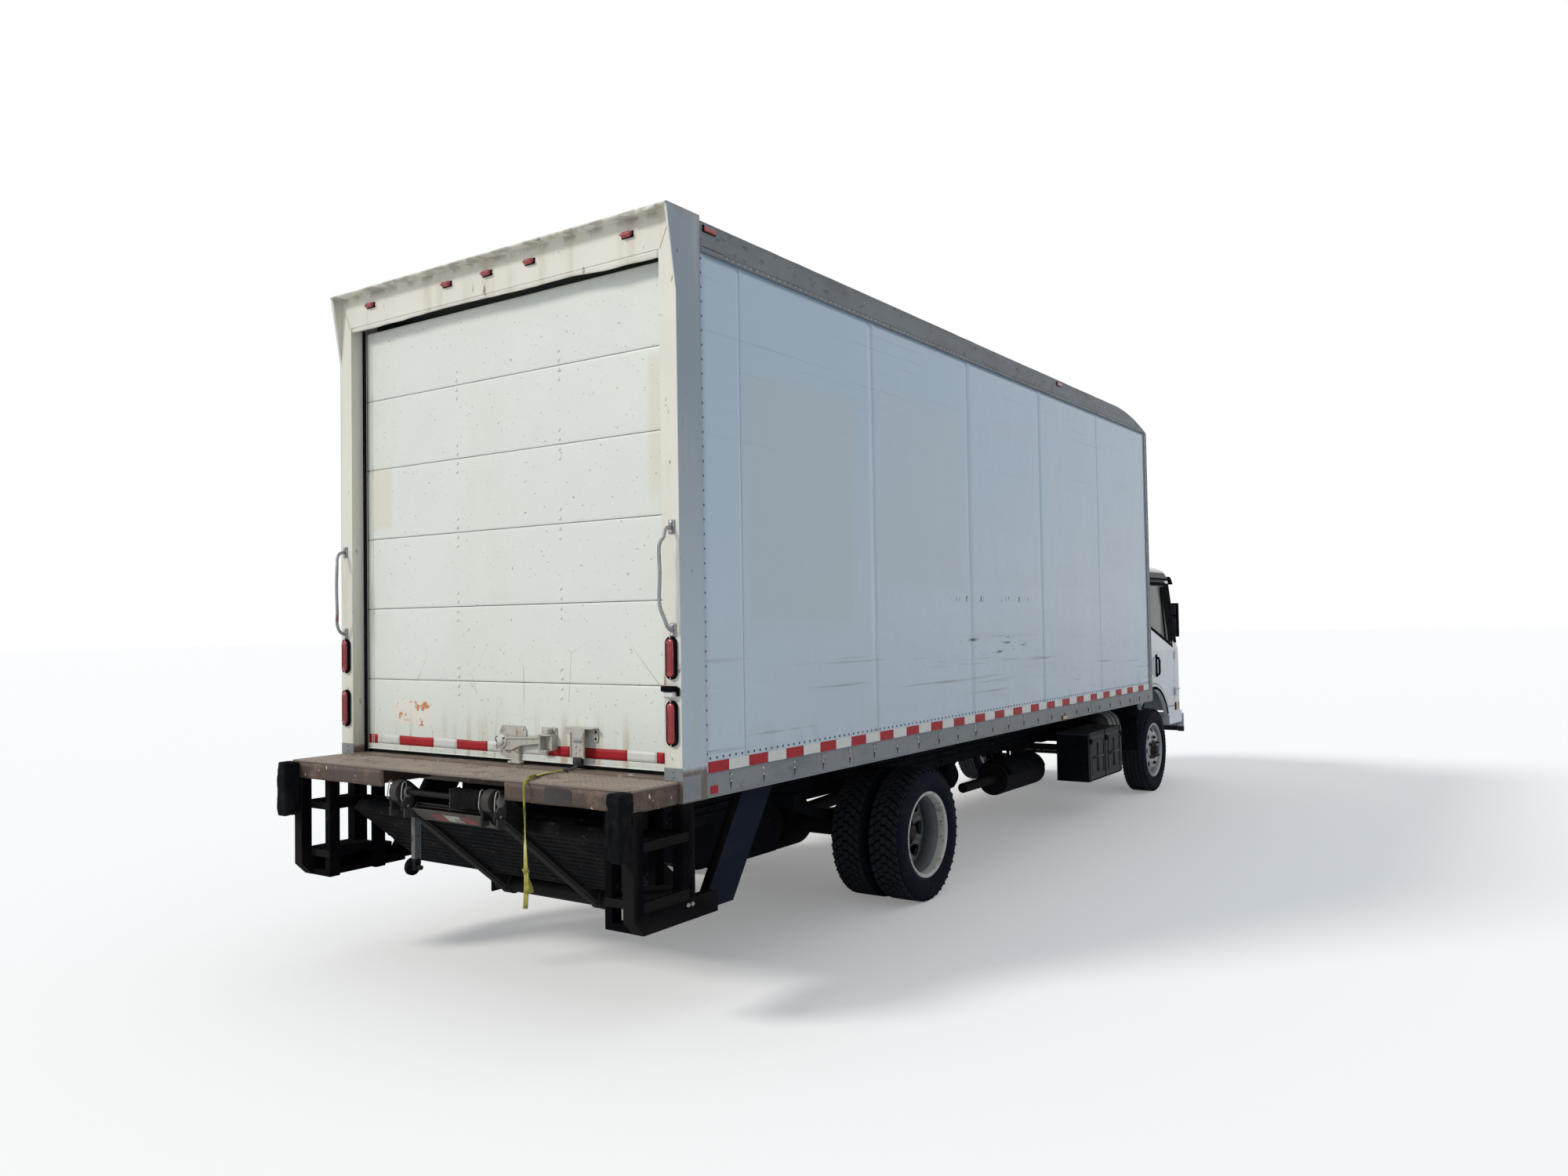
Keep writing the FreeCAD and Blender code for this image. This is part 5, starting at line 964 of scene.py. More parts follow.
def latch_and_handle():
    """White cast latch with its lever, and the folded handle with a hanging plate."""
    form = Form()
    face = DOOR
    form.prism([(0.024, 1.090), (0.024, 1.205), (0.006, 1.236), (-0.150, 1.236), (-0.166, 1.215),
                (-0.166, 1.170), (-0.130, 1.130), (-0.120, 1.075), (-0.020, 1.075)], 1, face,
               face + 0.006)
    form.bars(
        (-0.130, -0.070, face + 0.004, face + 0.020, 1.058, 1.175, 0.004),
        (-0.150, -0.060, face + 0.002, face + 0.034, 1.052, 1.064, 0.003))
    form.rod((-0.020, face + 0.004, 1.158), (-0.020, face + 0.036, 1.158), 0.036, 24, 0.004)
    form.rod((-0.020, face + 0.030, 1.158), (-0.020, face + 0.044, 1.158), 0.019, 20, 0.003)
    lever = [(-0.010, 1.186), (-0.130, 1.181), (-0.285, 1.196), (-0.292, 1.160), (-0.150, 1.143),
             (-0.085, 1.118), (-0.030, 1.120)]
    form.prism(lever, 1, face + 0.014, face + 0.030)
    form.prism([(-0.030, 1.179), (-0.280, 1.190), (-0.280, 1.183), (-0.030, 1.171)], 1,
               face + 0.028, face + 0.036)
    form.bars(
        (-0.378, -0.270, face, face + 0.005, 1.130, 1.236, 0.002),
        (-0.372, -0.285, face + 0.004, face + 0.042, 1.196, 1.206, 0.003),
        (-0.340, -0.285, face + 0.004, face + 0.040, 1.118, 1.128, 0.003),
        (-0.300, -0.288, face + 0.004, face + 0.042, 1.122, 1.200, 0.003),
        (-0.352, -0.318, face + 0.004, face + 0.038, 1.205, 1.232, 0.004),
        (-0.376, -0.360, face + 0.004, face + 0.036, 1.128, 1.205, 0.003))
    for x, z in ((0.010, 1.212), (-0.145, 1.222), (0.012, 1.105), (-0.362, 1.222),
                 (-0.300, 1.222)):
        form.dome((x, face + 0.005, z), Y, 0.008, 0.005, 8)
    ring = [(0.022 + 0.004 * cos(a), face + 0.020, 1.150 + 0.030 * sin(a))
            for a in angles(14)]
    form.tube([(x + 0.010 * sin(k * 0.9), y + 0.004, z) for k, (x, y, z) in enumerate(ring)],
              0.0022, 6, 1, closed=True)
    form.rod((0.006, face + 0.018, 1.158), (0.034, face + 0.018, 1.158), 0.003, 8, 0.0005, 1)

    form.prism([(-0.464, 1.206), (-0.464, 1.238), (-0.476, 1.246), (-0.640, 1.246),
                (-0.648, 1.238), (-0.648, 1.186), (-0.636, 1.178), (-0.610, 1.178),
                (-0.598, 1.200), (-0.500, 1.206)], 1, face, face + 0.006)
    channel = [(-0.460, 0.004), (-0.460, 0.038), (-0.466, 0.044), (-0.590, 0.044),
               (-0.590, 0.038), (-0.470, 0.038), (-0.466, 0.032), (-0.466, 0.004)]
    form.prism([(x, face + y) for x, y in channel], 2, 1.214, 1.245)
    plate = face + 0.0375
    form.bars(
        (-0.648, -0.464, face + 0.004, face + 0.042, 1.240, 1.246, 0.002),
        (-0.598, -0.506, plate, plate + 0.006, 1.102, 1.242, 0.003),
        (-0.598, -0.590, plate, plate + 0.013, 1.110, 1.225, 0.003),
        (-0.514, -0.506, plate, plate + 0.013, 1.110, 1.225, 0.003),
        (-0.585, -0.520, plate + 0.005, plate + 0.0085, 1.196, 1.203, 0.001),
        (-0.580, -0.524, plate + 0.005, plate + 0.0095, 1.176, 1.190, 0.002, 2))
    for x, z in ((-0.540, 1.160), (-0.540, 1.128), (-0.566, 1.145)):
        form.dome((x, plate + 0.006, z), Y, 0.007, 0.004, 8)
    for x, z in ((-0.476, 1.226), (-0.636, 1.226), (-0.634, 1.194)):
        form.dome((x, face + 0.006, z), Y, 0.007, 0.004, 8, 1)
    loop = [(0.000, 1.112), (0.007, 1.104), (0.009, 1.088), (0.006, 1.070), (-0.004, 1.062),
            (-0.010, 1.074), (-0.009, 1.092), (-0.006, 1.104)]
    rings = []
    for x, wide, tall in ((-0.580, 1, 1), (-0.526, 1, 1), (-0.526, 0.55, 0.82),
                          (-0.580, 0.55, 0.82)):
        rings.append([(x, plate + 0.003 + y * wide, 1.088 + (z - 1.088) * tall)
                      for y, z in loop])
    form.loft(rings, 3, True)
    return form


latch_white = finish("latch_white", (0.66, 0.67, 0.62), 0.45, 0, 0.08, 14,
    [(16, 0.54, 0.64, 0.8, (0.40, 0.36, 0.30), 0.6, PLAIN, 1.0),
    (24, 0.60, 0.66, None, (0.36, 0.17, 0.07), 0.8, (1, 1, 0.6), 3.0),
    ([("edge", 0.53, 0.60), 0.5], (0.30, 0.26, 0.22), 0.5)], [(50, 0.001), (300, 0.0003)])
latch_and_handle().make("latch", "truck", "galvanised", latch_white, iron, seam_dark,
                        webbing_black, replaces=["door_hardware"])


# ---------------------------------------------------------------- lamps

def oval(x, low, high, half, grow):
    """Outline of an upright lamp with round ends, as (x, z) points."""
    r = half + grow
    return [(x + r * cos(a), z + r * sin(a))
            for start, z in ((0, high - half), (pi, low + half))
            for a in [start + pi * s for s in shares(10)]]


def tail_lamp(form, x, low, high):
    """Dark grommet, crowned red lens with fine upright flutes, and two screws."""
    for kind, end, rims in (
            (1, 0, ((0, 0.0), (0.001, 0.012), (-0.002, 0.0165), (-0.007, 0.0175),
                    (-0.009, 0.014))),
            (0, -1, ((-0.009, 0.012), (-0.010, 0.019), (-0.014, 0.0215), (-0.021, 0.0230)))):
        form.loft([raised(oval(x, low, high, 0.030, grow), 1, REAR + y) for grow, y in rims], kind,
                  ends=(end,))
    for dx in (-0.014, -0.007, 0, 0.007, 0.014):
        form.bar((x + dx - 0.0012, x + dx + 0.0012), (REAR + 0.020, REAR + 0.0245),
                 (low + 0.030, high - 0.030), 0.0008, 0)
    for z in steps(low + 0.034, high - 0.034, 0.012):
        form.bar(about(x, 0.017), (REAR + 0.021, REAR + 0.0240), about(z, 0.0006), 0.0004, 0)
    for z in (low + 0.0045, high - 0.0045):
        form.dome((x, REAR + 0.0165, z), Y, 0.004, 0.002, 8, 2)


def bar_lamp(form, x, y, z, wide, high, out, kind=0):
    """A small lamp with a base, a crowned lens and a guard rib; out is its facing direction."""
    along = Y if abs(out.x) > 0.5 else X
    centre = Vector((x, y, z))

    def block(half_wide, half_high, near, far, chamfer, number):
        ends = []
        for axis in (X, Y, Z):
            reach = abs(axis.dot(along)) * half_wide + abs(axis.z) * half_high
            middle = centre.dot(axis)
            if abs(axis.dot(out)) > 0.5:
                ends.append(span(*[middle + out.dot(axis) * level for level in (near, far)]))
            else:
                ends.append(about(middle, reach))
        form.bar(*ends, chamfer, number)
    block(wide / 2 + 0.006, high / 2 + 0.003, 0, 0.004, 0.002, 1)
    block(wide / 2, high / 2, 0.003, 0.0115 if abs(out.x) > 0.5 else 0.023, 0.006, kind)
    block(wide / 2 + 0.003, 0.0025, 0.003, 0.0118 if abs(out.x) > 0.5 else 0.0242, 0.001, kind)


lamps = Form()
for side in (-1, 1):
    for low, high in ((1.192, 1.392), (1.484, 1.672)):
        tail_lamp(lamps, side * 1.170, low, high)
    out = X * side
    for y in (3.9025, -0.4375):
        bar_lamp(lamps, side * 1.2200, y, 3.520, 0.085, 0.026, out)
    bar_lamp(lamps, side * 1.2200, -0.3875, 0.967, 0.085, 0.026, out, 4)
for x in (-0.940, -0.305, 0, 0.305, 0.940):
    bar_lamp(lamps, x, REAR, 3.493, 0.060, 0.024, Y)
lamps.bars(
    (-1.200, -1.130, REAR, REAR + 0.038, 1.432, 1.456, 0.004, 1),
    (-1.196, -1.134, REAR, REAR + 0.030, 1.405, 1.434, 0.006, 3),
    (-1.212, -1.198, REAR, REAR + 0.012, 1.412, 1.450, 0.003, 1))
lamps.make("lamps", "truck", "lamp_red", red_lens, trim_black, bright_bolt, clear_lens, amber_lens,
           replaces=["rear_lamps"])


# ---------------------------------------------------------------- rear frame details

frame_trim = Form()
columns = steps(-1.118, 1.118, 0.02)
frame_trim.sheet(
    columns, [0, 0.35, 0.7, 1.0],
    lambda x, s: (x, REAR - 0.002 - 0.004 * s + 0.006 * wobble(x, s, 3, 2) * s,
                  3.396 - s * (0.022 + 0.007 * wobble(x, 0, 1.7, 9) + 0.004 * wobble(x, 0, 8, 1)
                               + 0.014 * eased(-x, 0.55, 0.8) * (1 if x < 0 else 0))),
    thick=(0, -0.0025, 0))
gutter = []
for x in steps(-1.219, 1.219, 0.03):
    dent = eased(-x, 0.93, 1.0) * eased(-x, 1.16, 1.08)
    gutter.append((x, REAR + 0.059 - 0.004 * dent + 0.0015 * wobble(x, 0, 3),
                   3.5675 - 0.012 * dent + 0.002 * wobble(x, 0, 5, 3)))
frame_trim.tube(gutter, 0.0055, 8)
for side in (-1, 1):
    frame_trim.tube([(side * RAIL_X, REAR - 0.164, z) for z in (1.06, 3.5)], 0.0015, 6)
    weld = [(side * (1.128 + 0.080 * s + 0.001 * sin(40 * s)), REAR + 0.001,
             3.396 + 0.170 * s) for s in shares(24)]
    frame_trim.tube(weld, 0.0022, 6)
    frame_trim.tube([(side * 1.210, REAR + 0.002, 3.24), (side * 1.206, REAR + 0.052, 3.552)],
                    0.003, 6)
frame_trim.make("frame_trim", "truck", "frame_paint", frame_white_with_painted_shade)

feet = Form()
for side in (-1, 1):
    x = span(side * 1.116, side * 1.2215)
    feet.bar(x, about(REAR, 0.002), (1.041, 1.098), 0.001)
    feet.bar(span(side * 1.2185, side * 1.2215), (REAR - 0.125, REAR), (0.950, 1.060), 0.001)
    for z in (1.060, 1.085):
        feet.dome((side * 1.168, REAR + 0.0015, z), Y, 0.007, 0.004, 8)
feet.make("post_feet", "truck", "galvanised", bare_rail)

handles = Form()
for side in (-1, 1):
    x = side * 1.179
    path = [(x - side * inward, REAR + back, z) for inward, back, z in (
        (0, 0.004, 2.152), (0, 0.030, 2.150), (0.001, 0.050, 2.135), (0, 0.056, 2.105),
        (0.016, 0.066, 2.085), (0.020, 0.070, 2.05), (0.014, 0.069, 1.95), (0.020, 0.070, 1.86),
        (0.020, 0.068, 1.80), (0.006, 0.062, 1.765), (0, 0.052, 1.735), (0, 0.040, 1.712),
        (0, 0.022, 1.701), (0, 0.004, 1.700))]
    handles.tube([path[0], *bent(path, 4, 1), path[-1]], 0.0085, 10)
    for z in (2.152, 1.700):
        handles.bar(about(x, 0.018), (REAR, REAR + 0.006), about(z, 0.030), 0.002)
        for dz in (-0.020, 0.020):
            handles.nut((x, REAR + 0.006, z + dz), Y, 0.0075, 0.006, 1)
handles.make("grab_handle_rods", "truck", "galvanised", galvanised, bright_bolt,
             replaces=["grab_handles"])


# ---------------------------------------------------------------- dock plate, bumpers, steps

plate = Form()
PLATE_TOP = 1.0395
# a lug's height, half length and half width
LUG, LUG_REACH, LUG_HALF = 0.0028, 0.0090, 0.0045
row = 0
y = REAR + 0.012
while y < REAR + 0.300:
    x = -1.190 + (row % 2) * 0.005
    while x < 1.190:
        lean = 0.0060 if row % 2 else -0.0060
        low, high = PLATE_TOP, PLATE_TOP + LUG
        (x1, x2), (y1, y2) = about(x, LUG_REACH), (y - lean, y + lean)
        points = [(x1, y1 - LUG_HALF, low), (x2, y2 - LUG_HALF, low), (x2 + 0.002, y2, low),
                  (x2, y2 + LUG_HALF, low), (x1, y1 + LUG_HALF, low), (x1 - 0.002, y1, low),
                  (x1 + 0.002, y1, high), (x2 - 0.002, y2, high)]
        plate.add(points, [[0, 1, 7, 6], [1, 2, 7], [2, 3, 7], [3, 4, 6, 7], [4, 5, 6], [5, 0, 6]],
                  1)
        x += 0.033
    y += 0.0160
    row += 1
edge = [(x, REAR + 0.3095 + 0.003 * max(0, wobble(x, 0, 2.3, 6)),
         1.0365 - 0.005 * max(0, wobble(x, 0, 1.7, 2)) - 0.0012 * abs(wobble(x, 0, 9, 2)))
        for x in steps(-1.195, 1.195, 0.025)]
plate.tube(edge, 0.0042, 8)
for x, y in ((0.0, 0.03), (-0.55, 0.03), (0.55, 0.03), (-1.0, 0.03), (1.0, 0.03), (-0.2, 0.27)):
    plate.dome((x, REAR + y, PLATE_TOP + 0.0003), Z, 0.011, 0.0035, 10)
plate.make("plate_lugs", "truck", "rusty_plate", plate_rusty, lug_worn)

skirts = Form()
for side in (-1, 1):
    low, high = span(side * 0.441, side * 1.138)
    skirts.sheet(steps(low, high, 0.03), [0.9485, 0.965, 0.985, 1.005, 1.030],
                 lambda x, z: (x, REAR + 0.3112 + 0.0016 * (1 + wobble(x, z, 6, 3)),
                               z + (0.003 * wobble(x, 0, 5, 2) if z < 0.95 else 0)),
                 thick=(0, -0.0015, 0))
    skirts.bar(span(side * 1.1995, side * 1.2020), (REAR + 0.004, REAR + 0.300), (0.949, 1.031),
               0.001)
    skirts.bar(span(side * 1.1, side * 1.2), (REAR + 0.02, REAR + 0.29), (0.944, 0.952), 0.002)
label = [(-0.695, 0.960), (-0.700, 1.022), (-0.712, 1.027), (-0.852, 1.023), (-0.860, 1.012),
         (-0.856, 0.962), (-0.80, 0.957), (-0.74, 0.9575)]
skirts.prism(label, 1, REAR + 0.3140, REAR + 0.3152, 1)
skirts.make("dock_skirts", "truck", "rusty_plate", skirt_rusty, grime_and_painted_shadow)

bumpers = Form()
for side in (-1, 1):
    x_low, x_high = span(side * 1.1305, side * RAIL_X)
    y_low, y_high, z_low, z_high = REAR + 0.3105, REAR + 0.3995, 0.7505, PLATE_TOP
    xs, ys = steps(x_low, x_high, 0.011), steps(y_low, y_high, 0.011)
    zs = steps(z_low, z_high, 0.012)
    centre = Vector(((x_low + x_high) / 2, (y_low + y_high) / 2, (z_low + z_high) / 2))

    def worn(x, y, z):
        """A point of the block drawn in at its corners, cracks and bitten places."""
        p = Vector((x, y, z))
        out = p - centre
        near = (out.x / 0.0445, out.y / 0.0445, out.z / 0.1445)
        corner = sum(abs(v) ** 6 for v in near) - 1
        deep = 0.006 * max(0, corner) + 0.0035 * (1 + noise.noise(p * 26))
        vein = noise.noise(Vector((p.x * 9, p.y * 9, p.z * 3.2 + side)))
        crack = max(0, 0.06 - abs(vein)) / 0.06
        bite = max(0, noise.noise(p * 11 + Vector((0, side * 3, 0))) - 0.30) * 2.6
        top = eased(z, 0.94, 1.03) * max(0, noise.noise(p * 17 + X * side)) * 0.8
        deep += 0.009 * crack + 0.016 * bite + 0.018 * top
        flat = Vector((out.x, out.y, out.z * 0.30))
        inward = flat.normalized() * min(deep, 0.026)
        inward.y *= 1 if y > y_low + 0.001 else 0
        return p - inward
    for y in (y_high, y_low):
        bumpers.sheet(xs, zs, lambda a, b: worn(a, y, b))
    for x in (x_low, x_high):
        bumpers.sheet(ys, zs, lambda a, b: worn(x, a, b))
    for z in (z_low, z_high):
        bumpers.sheet(xs, ys, lambda a, b: worn(a, b, z))
bumper = bumpers.make("dock_bumper_blocks", "truck", "rubber_black", rubber,
                      replaces=["dock_bumpers"])
worked(bumper.data, 0.0004)

STEP_LEVELS = (0.560, 0.810)
treads = Form()
for side in (-1, 1):
    for z in STEP_LEVELS:
        for i in range(8):
            for k in range(11):
                x = side * (1.010 + i * 0.0215 + (k % 2) * 0.010)
                y = REAR - 0.035 + k * 0.0245
                if abs(x) > 1.172 or (REAR + 0.175 < y and abs(x) < 1.03):
                    continue
                ring = [(x + 0.0085 * cos(a), y + 0.0085 * sin(a),
                         z + 0.004 + 0.0030 * cos(3 * a))
                        for a in angles(9)]
                treads.tube(ring, 0.0024, 4, closed=True)
                treads.tube([(x, y, z + 0.0002), (x, y, z + 0.0010)], 0.0072, 8, 1)
        x = span(side * 0.981, side * 1.199)
        treads.bar(x, (REAR + 0.236, REAR + 0.2425), (z - 0.031, z + 0.006), 0.001)
        treads.bar(x, (REAR - 0.0625, REAR - 0.058), (z - 0.031, z + 0.006), 0.001)
        treads.bar(span(side * 1.1985, side * 1.2005), (REAR - 0.06, REAR + 0.24),
                   (z - 0.034, z + 0.007), 0.0008)
treads.make("step_treads", "truck", "step_black", step_black, grime_and_painted_shadow)

step_trim = Form()
for side in (-1, 1):
    back = REAR + 0.300
    for z in (*STEP_LEVELS, 1.028):
        for x in (side * 1.142, side * 1.197):
            path = [(x, back - 0.058 + 0.001 * sin(k * 1.7), z - 0.035 + 0.004 * k)
                    for k in range(10)]
            step_trim.tube(path, 0.0032, 6)
    step_trim.bar(span(side * 1.1385, side * 1.2005), (back - 0.003, back + 0.001),
                  (0.492, 1.030), 0.001)
    step_trim.prism([(back - 0.0595, 0.4295), (back + 0.0004, 0.4900), (back + 0.0004, 0.4960),
                     (back - 0.0600, 0.4360)], 0, *span(side * 1.1380, side * 1.2005))
    step_trim.tube([(side * 1.2000, REAR + 0.238, 0.524), (side * 1.2003, REAR - 0.258, 0.524)],
                   0.003, 6)
    for y in (REAR - 0.075, REAR - 0.045):
        step_trim.nut((side * 1.2005, y, 0.975), X * side, 0.010, 0.008, 1)
        step_trim.nut((side * 1.2005, y, 0.500), X * side, 0.010, 0.008, 1)
    for z in (0.80, 0.99):
        step_trim.nut((side * 1.168, REAR + 0.3005, z), Y, 0.012, 0.008, 1)
step_trim.make("step_welds", "truck", "step_black", step_black, worn_steel)

brace = Form()
for side in (-1, 1):
    x = span(side * 1.1395, side * 1.1420)
    brace.prism([(REAR - 0.548, 0.944), (REAR - 0.789, 0.944), (REAR - 0.446, 0.432),
                 (REAR - 0.262, 0.432), (REAR - 0.262, 0.500)], 0, *x)
    brace.prism([(REAR - 0.789, 0.944), (REAR - 0.793, 0.940), (REAR - 0.449, 0.428),
                 (REAR - 0.445, 0.432)], 0, *span(side * 1.089, side * 1.1415))
brace.make("step_braces", "truck", "step_black", brace_blue)


# ---------------------------------------------------------------- liftgate

# the arms' lower pivot and their upper pin
HEEL = Vector((0, 3.720, 0.350))
PIN = Vector((0, 4.420, 0.930))
ARM_LENGTH = (PIN - HEEL).length
arm_way = (PIN - HEEL).normalized()
arm_off = Vector((0, -arm_way.z, arm_way.y))
ARM_FRAME = Matrix.Translation(HEEL) @ Matrix((X, arm_way, arm_off)).transposed().to_4x4()


def arm_point(distance, offset=0.0, x=0.0):
    """A point so far up the arms from their heel, and so far off them."""
    return ARM_FRAME @ Vector((x, distance, offset))


def arm_bar(form, x, along, off, chamfer=0.002, number=0):
    """A block set along the arms: spans across, up the arm and square to it."""
    form.bar(x, along, off, chamfer, number, ARM_FRAME)


gate = Form()
for side in (-1, 1):
    for x in (side * 0.3045, side * 0.3555):
        arm_bar(gate, span(x, x + (0.003 if x * side > 0.33 else -0.003) * side),
                (0.04, ARM_LENGTH - 0.075), (-0.050, -0.040), 0.001)
    for distance in (0.30, 0.52, 0.74):
        gate.tube([arm_point(distance - 0.02, 0.0555, side * 0.33),
                   arm_point(distance + 0.02, 0.0555, side * 0.33)], 0.006, 8)
    gate.rod(arm_point(0, 0, side * 0.300), arm_point(0, 0, side * 0.310), 0.056, 24)
    gate.rod(arm_point(0, 0, side * 0.352), arm_point(0, 0, side * 0.360), 0.056, 24)
arm_bar(gate, (-0.276, 0.276), (ARM_LENGTH - 0.192, ARM_LENGTH - 0.068), (-0.0335, -0.0285), 0.002)
arm_bar(gate, (-0.268, 0.268), (ARM_LENGTH - 0.156, ARM_LENGTH - 0.052), (-0.0600, -0.0545),
        0.002, 1)
for x in (-0.258, 0.258):
    arm_bar(gate, about(x, 0.005), (ARM_LENGTH - 0.150, ARM_LENGTH - 0.060), (-0.056, -0.026),
            0.002, 1)
gate.make("arm_welds", "lift_arms", "gate_black", gate_black, bar_dirty)

gate_tape = Form()
for low, high, kind in ((-0.155, -0.060, 0), (-0.060, 0.055, 1), (0.055, 0.150, 0)):
    arm_bar(gate_tape, (low, high), (ARM_LENGTH - 0.138, ARM_LENGTH - 0.082), (-0.0610, -0.0595),
            0.0003, kind)
dirty_red = finish("dirty_red", (0.22, 0.035, 0.030), 0.6, 0, 0.25, 20,
    [(26, 0.48, 0.62, None, (0.09, 0.055, 0.045), 0.8)], [(60, 0.0008)])
dirty_white = finish("dirty_white", (0.40, 0.38, 0.33), 0.6, 0, 0.2, 20,
    [(26, 0.50, 0.64, None, (0.14, 0.12, 0.10), 0.8)], [(60, 0.0008)])
gate_tape.make("cross_bar_tape", "lift_arms", "lamp_red", dirty_red, dirty_white)

shackles = Form()
# the spring's turns, its points round a turn, its radius
TURNS, COIL_SIDES, COIL = 12.5, 14, 0.0405
spring = []
for k in range(int(TURNS * COIL_SIDES) + 1):
    a = tau * k / COIL_SIDES
    spring.append((-0.262 + 0.180 * k / (TURNS * COIL_SIDES), PIN.y + COIL * cos(a),
                   PIN.z + COIL * sin(a)))
shackles.tube(spring, 0.0052, 6, 1)
shackles.tube([spring[-1], (-0.075, PIN.y + 0.030, PIN.z - 0.035),
               (-0.050, PIN.y + 0.020, PIN.z - 0.060), (-0.046, PIN.y + 0.018, PIN.z - 0.070)],
              0.0052, 6, 1)
shackles.bars(
    (-0.070, -0.064, PIN.y - 0.030, PIN.y + 0.034, PIN.z - 0.055, PIN.z + 0.044, 0.002),
    (-0.276, -0.270, PIN.y - 0.030, PIN.y + 0.034, PIN.z - 0.055, PIN.z + 0.044, 0.002))
for side in (-1, 1):
    for near in (0.283, 0.363):
        x = side * (near + 0.007)
        out = side * (1 if near > 0.33 else -1)
        shackles.rod((x, *PIN.yz), (x + out * 0.0125, *PIN.yz), 0.026, 20, 0.003, 2)
        shackles.dome((x + out * 0.0070, PIN.y - 0.002, PIN.z - 0.070), X * out, 0.010, 0.006, 8,
                      2)
        outline = [(PIN.y + y, PIN.z + z) for y, z in (
            (-0.030, 0.030), (0.010, 0.036), (0.034, 0.016), (0.034, -0.060), (0.020, -0.094),
            (-0.020, -0.094), (-0.034, -0.060))]
        shackles.prism(outline, 0, *span(x + out * 0.0065, x + out * 0.0095))
    for x in (side * 0.3845, side * 0.2795):
        ring = [(x, PIN.y + y, PIN.z + z) for y, z in (
            (0.020, 0.052), (0.030, 0.046), (0.038, 0.020), (0.042, -0.020), (0.040, -0.034),
            (0.030, -0.038), (0.020, -0.020), (0.012, 0.020), (0.012, 0.046))]
        shackles.tube(ring, 0.0028, 6, 2, closed=True)
    for x in (side * 0.2745, side * 0.3845):
        shackles.bar(about(x, 0.0065), (PIN.y - 0.020, PIN.y + 0.030),
                     (PIN.z - 0.120, PIN.z - 0.075), 0.003)
shackles.make("shackle_parts", "shackles", "gate_black", gate_black, iron, worn_steel)

platform = Form()
for x_low, x_high in ((-0.900, -0.367), (-0.294, 0.294), (0.367, 0.900)):
    for distance in steps(0.185, 0.700, 0.0425):
        arm_bar(platform, (x_low, x_high), about(distance, 0.006), (-0.031, -0.0275), 0.001)
for x in (-0.8995, 0.8995):
    for off in (-0.014, 0.0, 0.014):
        arm_bar(platform, about(x, 0.0015), (0.170, 0.712), about(off, 0.003), 0.001)
for distance in steps(0.180, 0.640, 0.046):
    arm_bar(platform, (-0.895, 0.895), about(distance, 0.005), (0.0905, 0.0935), 0.001)
for distance in (0.1655, 0.7145):
    for off in (-0.018, 0.0, 0.018):
        for x in ((-0.899, -0.367), (0.367, 0.899)):
            arm_bar(platform, x, about(distance, 0.0015), about(off, 0.004), 0.001)
platform.make("platform_ribs", "lift_arms", "platform_alloy", platform_alloy)

# the roller's y and z
ROLLER = (4.336, 0.545)
roller = Form()
profile = [(-0.010, 0.013), (-0.010, 0.030), (-0.0105, 0.036), (-0.0108, 0.0405), (-0.008, 0.0432),
           (0.008, 0.0432), (0.0108, 0.0405), (0.0105, 0.036), (0.010, 0.030), (0.010, 0.013)]
roller.turned(profile, (0.361, *ROLLER), sides=36)
roller.rod((0.341, *ROLLER), (0.3765, *ROLLER), 0.0125, 16, 0.002, 1)
roller.nut((0.3745, *ROLLER), X, 0.012, 0.008, 1)
roller.make("roller", "lift_arms", "rubber_black", rubber, worn_steel, replaces=["opener_roller"])
strut = Form()
strut.bars(
    (0.3175, 0.3485, *about(ROLLER[0], 0.0175), 0.585, 0.795, 0.003),
    (0.3165, 0.3495, ROLLER[0] - 0.0185, ROLLER[0] - 0.0135, 0.560, 0.800, 0.001))
for z in (0.770, 0.620):
    strut.nut((0.3485, ROLLER[0], z), X, 0.010, 0.008)
strut.make("opener_strut", "lift_arms", "gate_black",
           finish("strut_grey", (0.105, 0.115, 0.125), 0.5, 0, 0.2, 10,
               [(16, 0.52, 0.66, None, (0.06, 0.045, 0.04), 0.8)], [(60, 0.0008)]))


# ---------------------------------------------------------------- wheels

TYRE_R = 0.405
# y of the axles, x of the wheels' middle planes
AXLE_FRONT, AXLE_REAR = -3.419, 1.661
WHEEL_FRONT, REAR_OUTER, REAR_INNER = 0.885, 1.017, 0.757
# low x, high x of the tread's rows of blocks
ROWS = ((-0.092, -0.063), (-0.056, -0.023), (-0.016, 0.016), (0.023, 0.056), (0.063, 0.092))


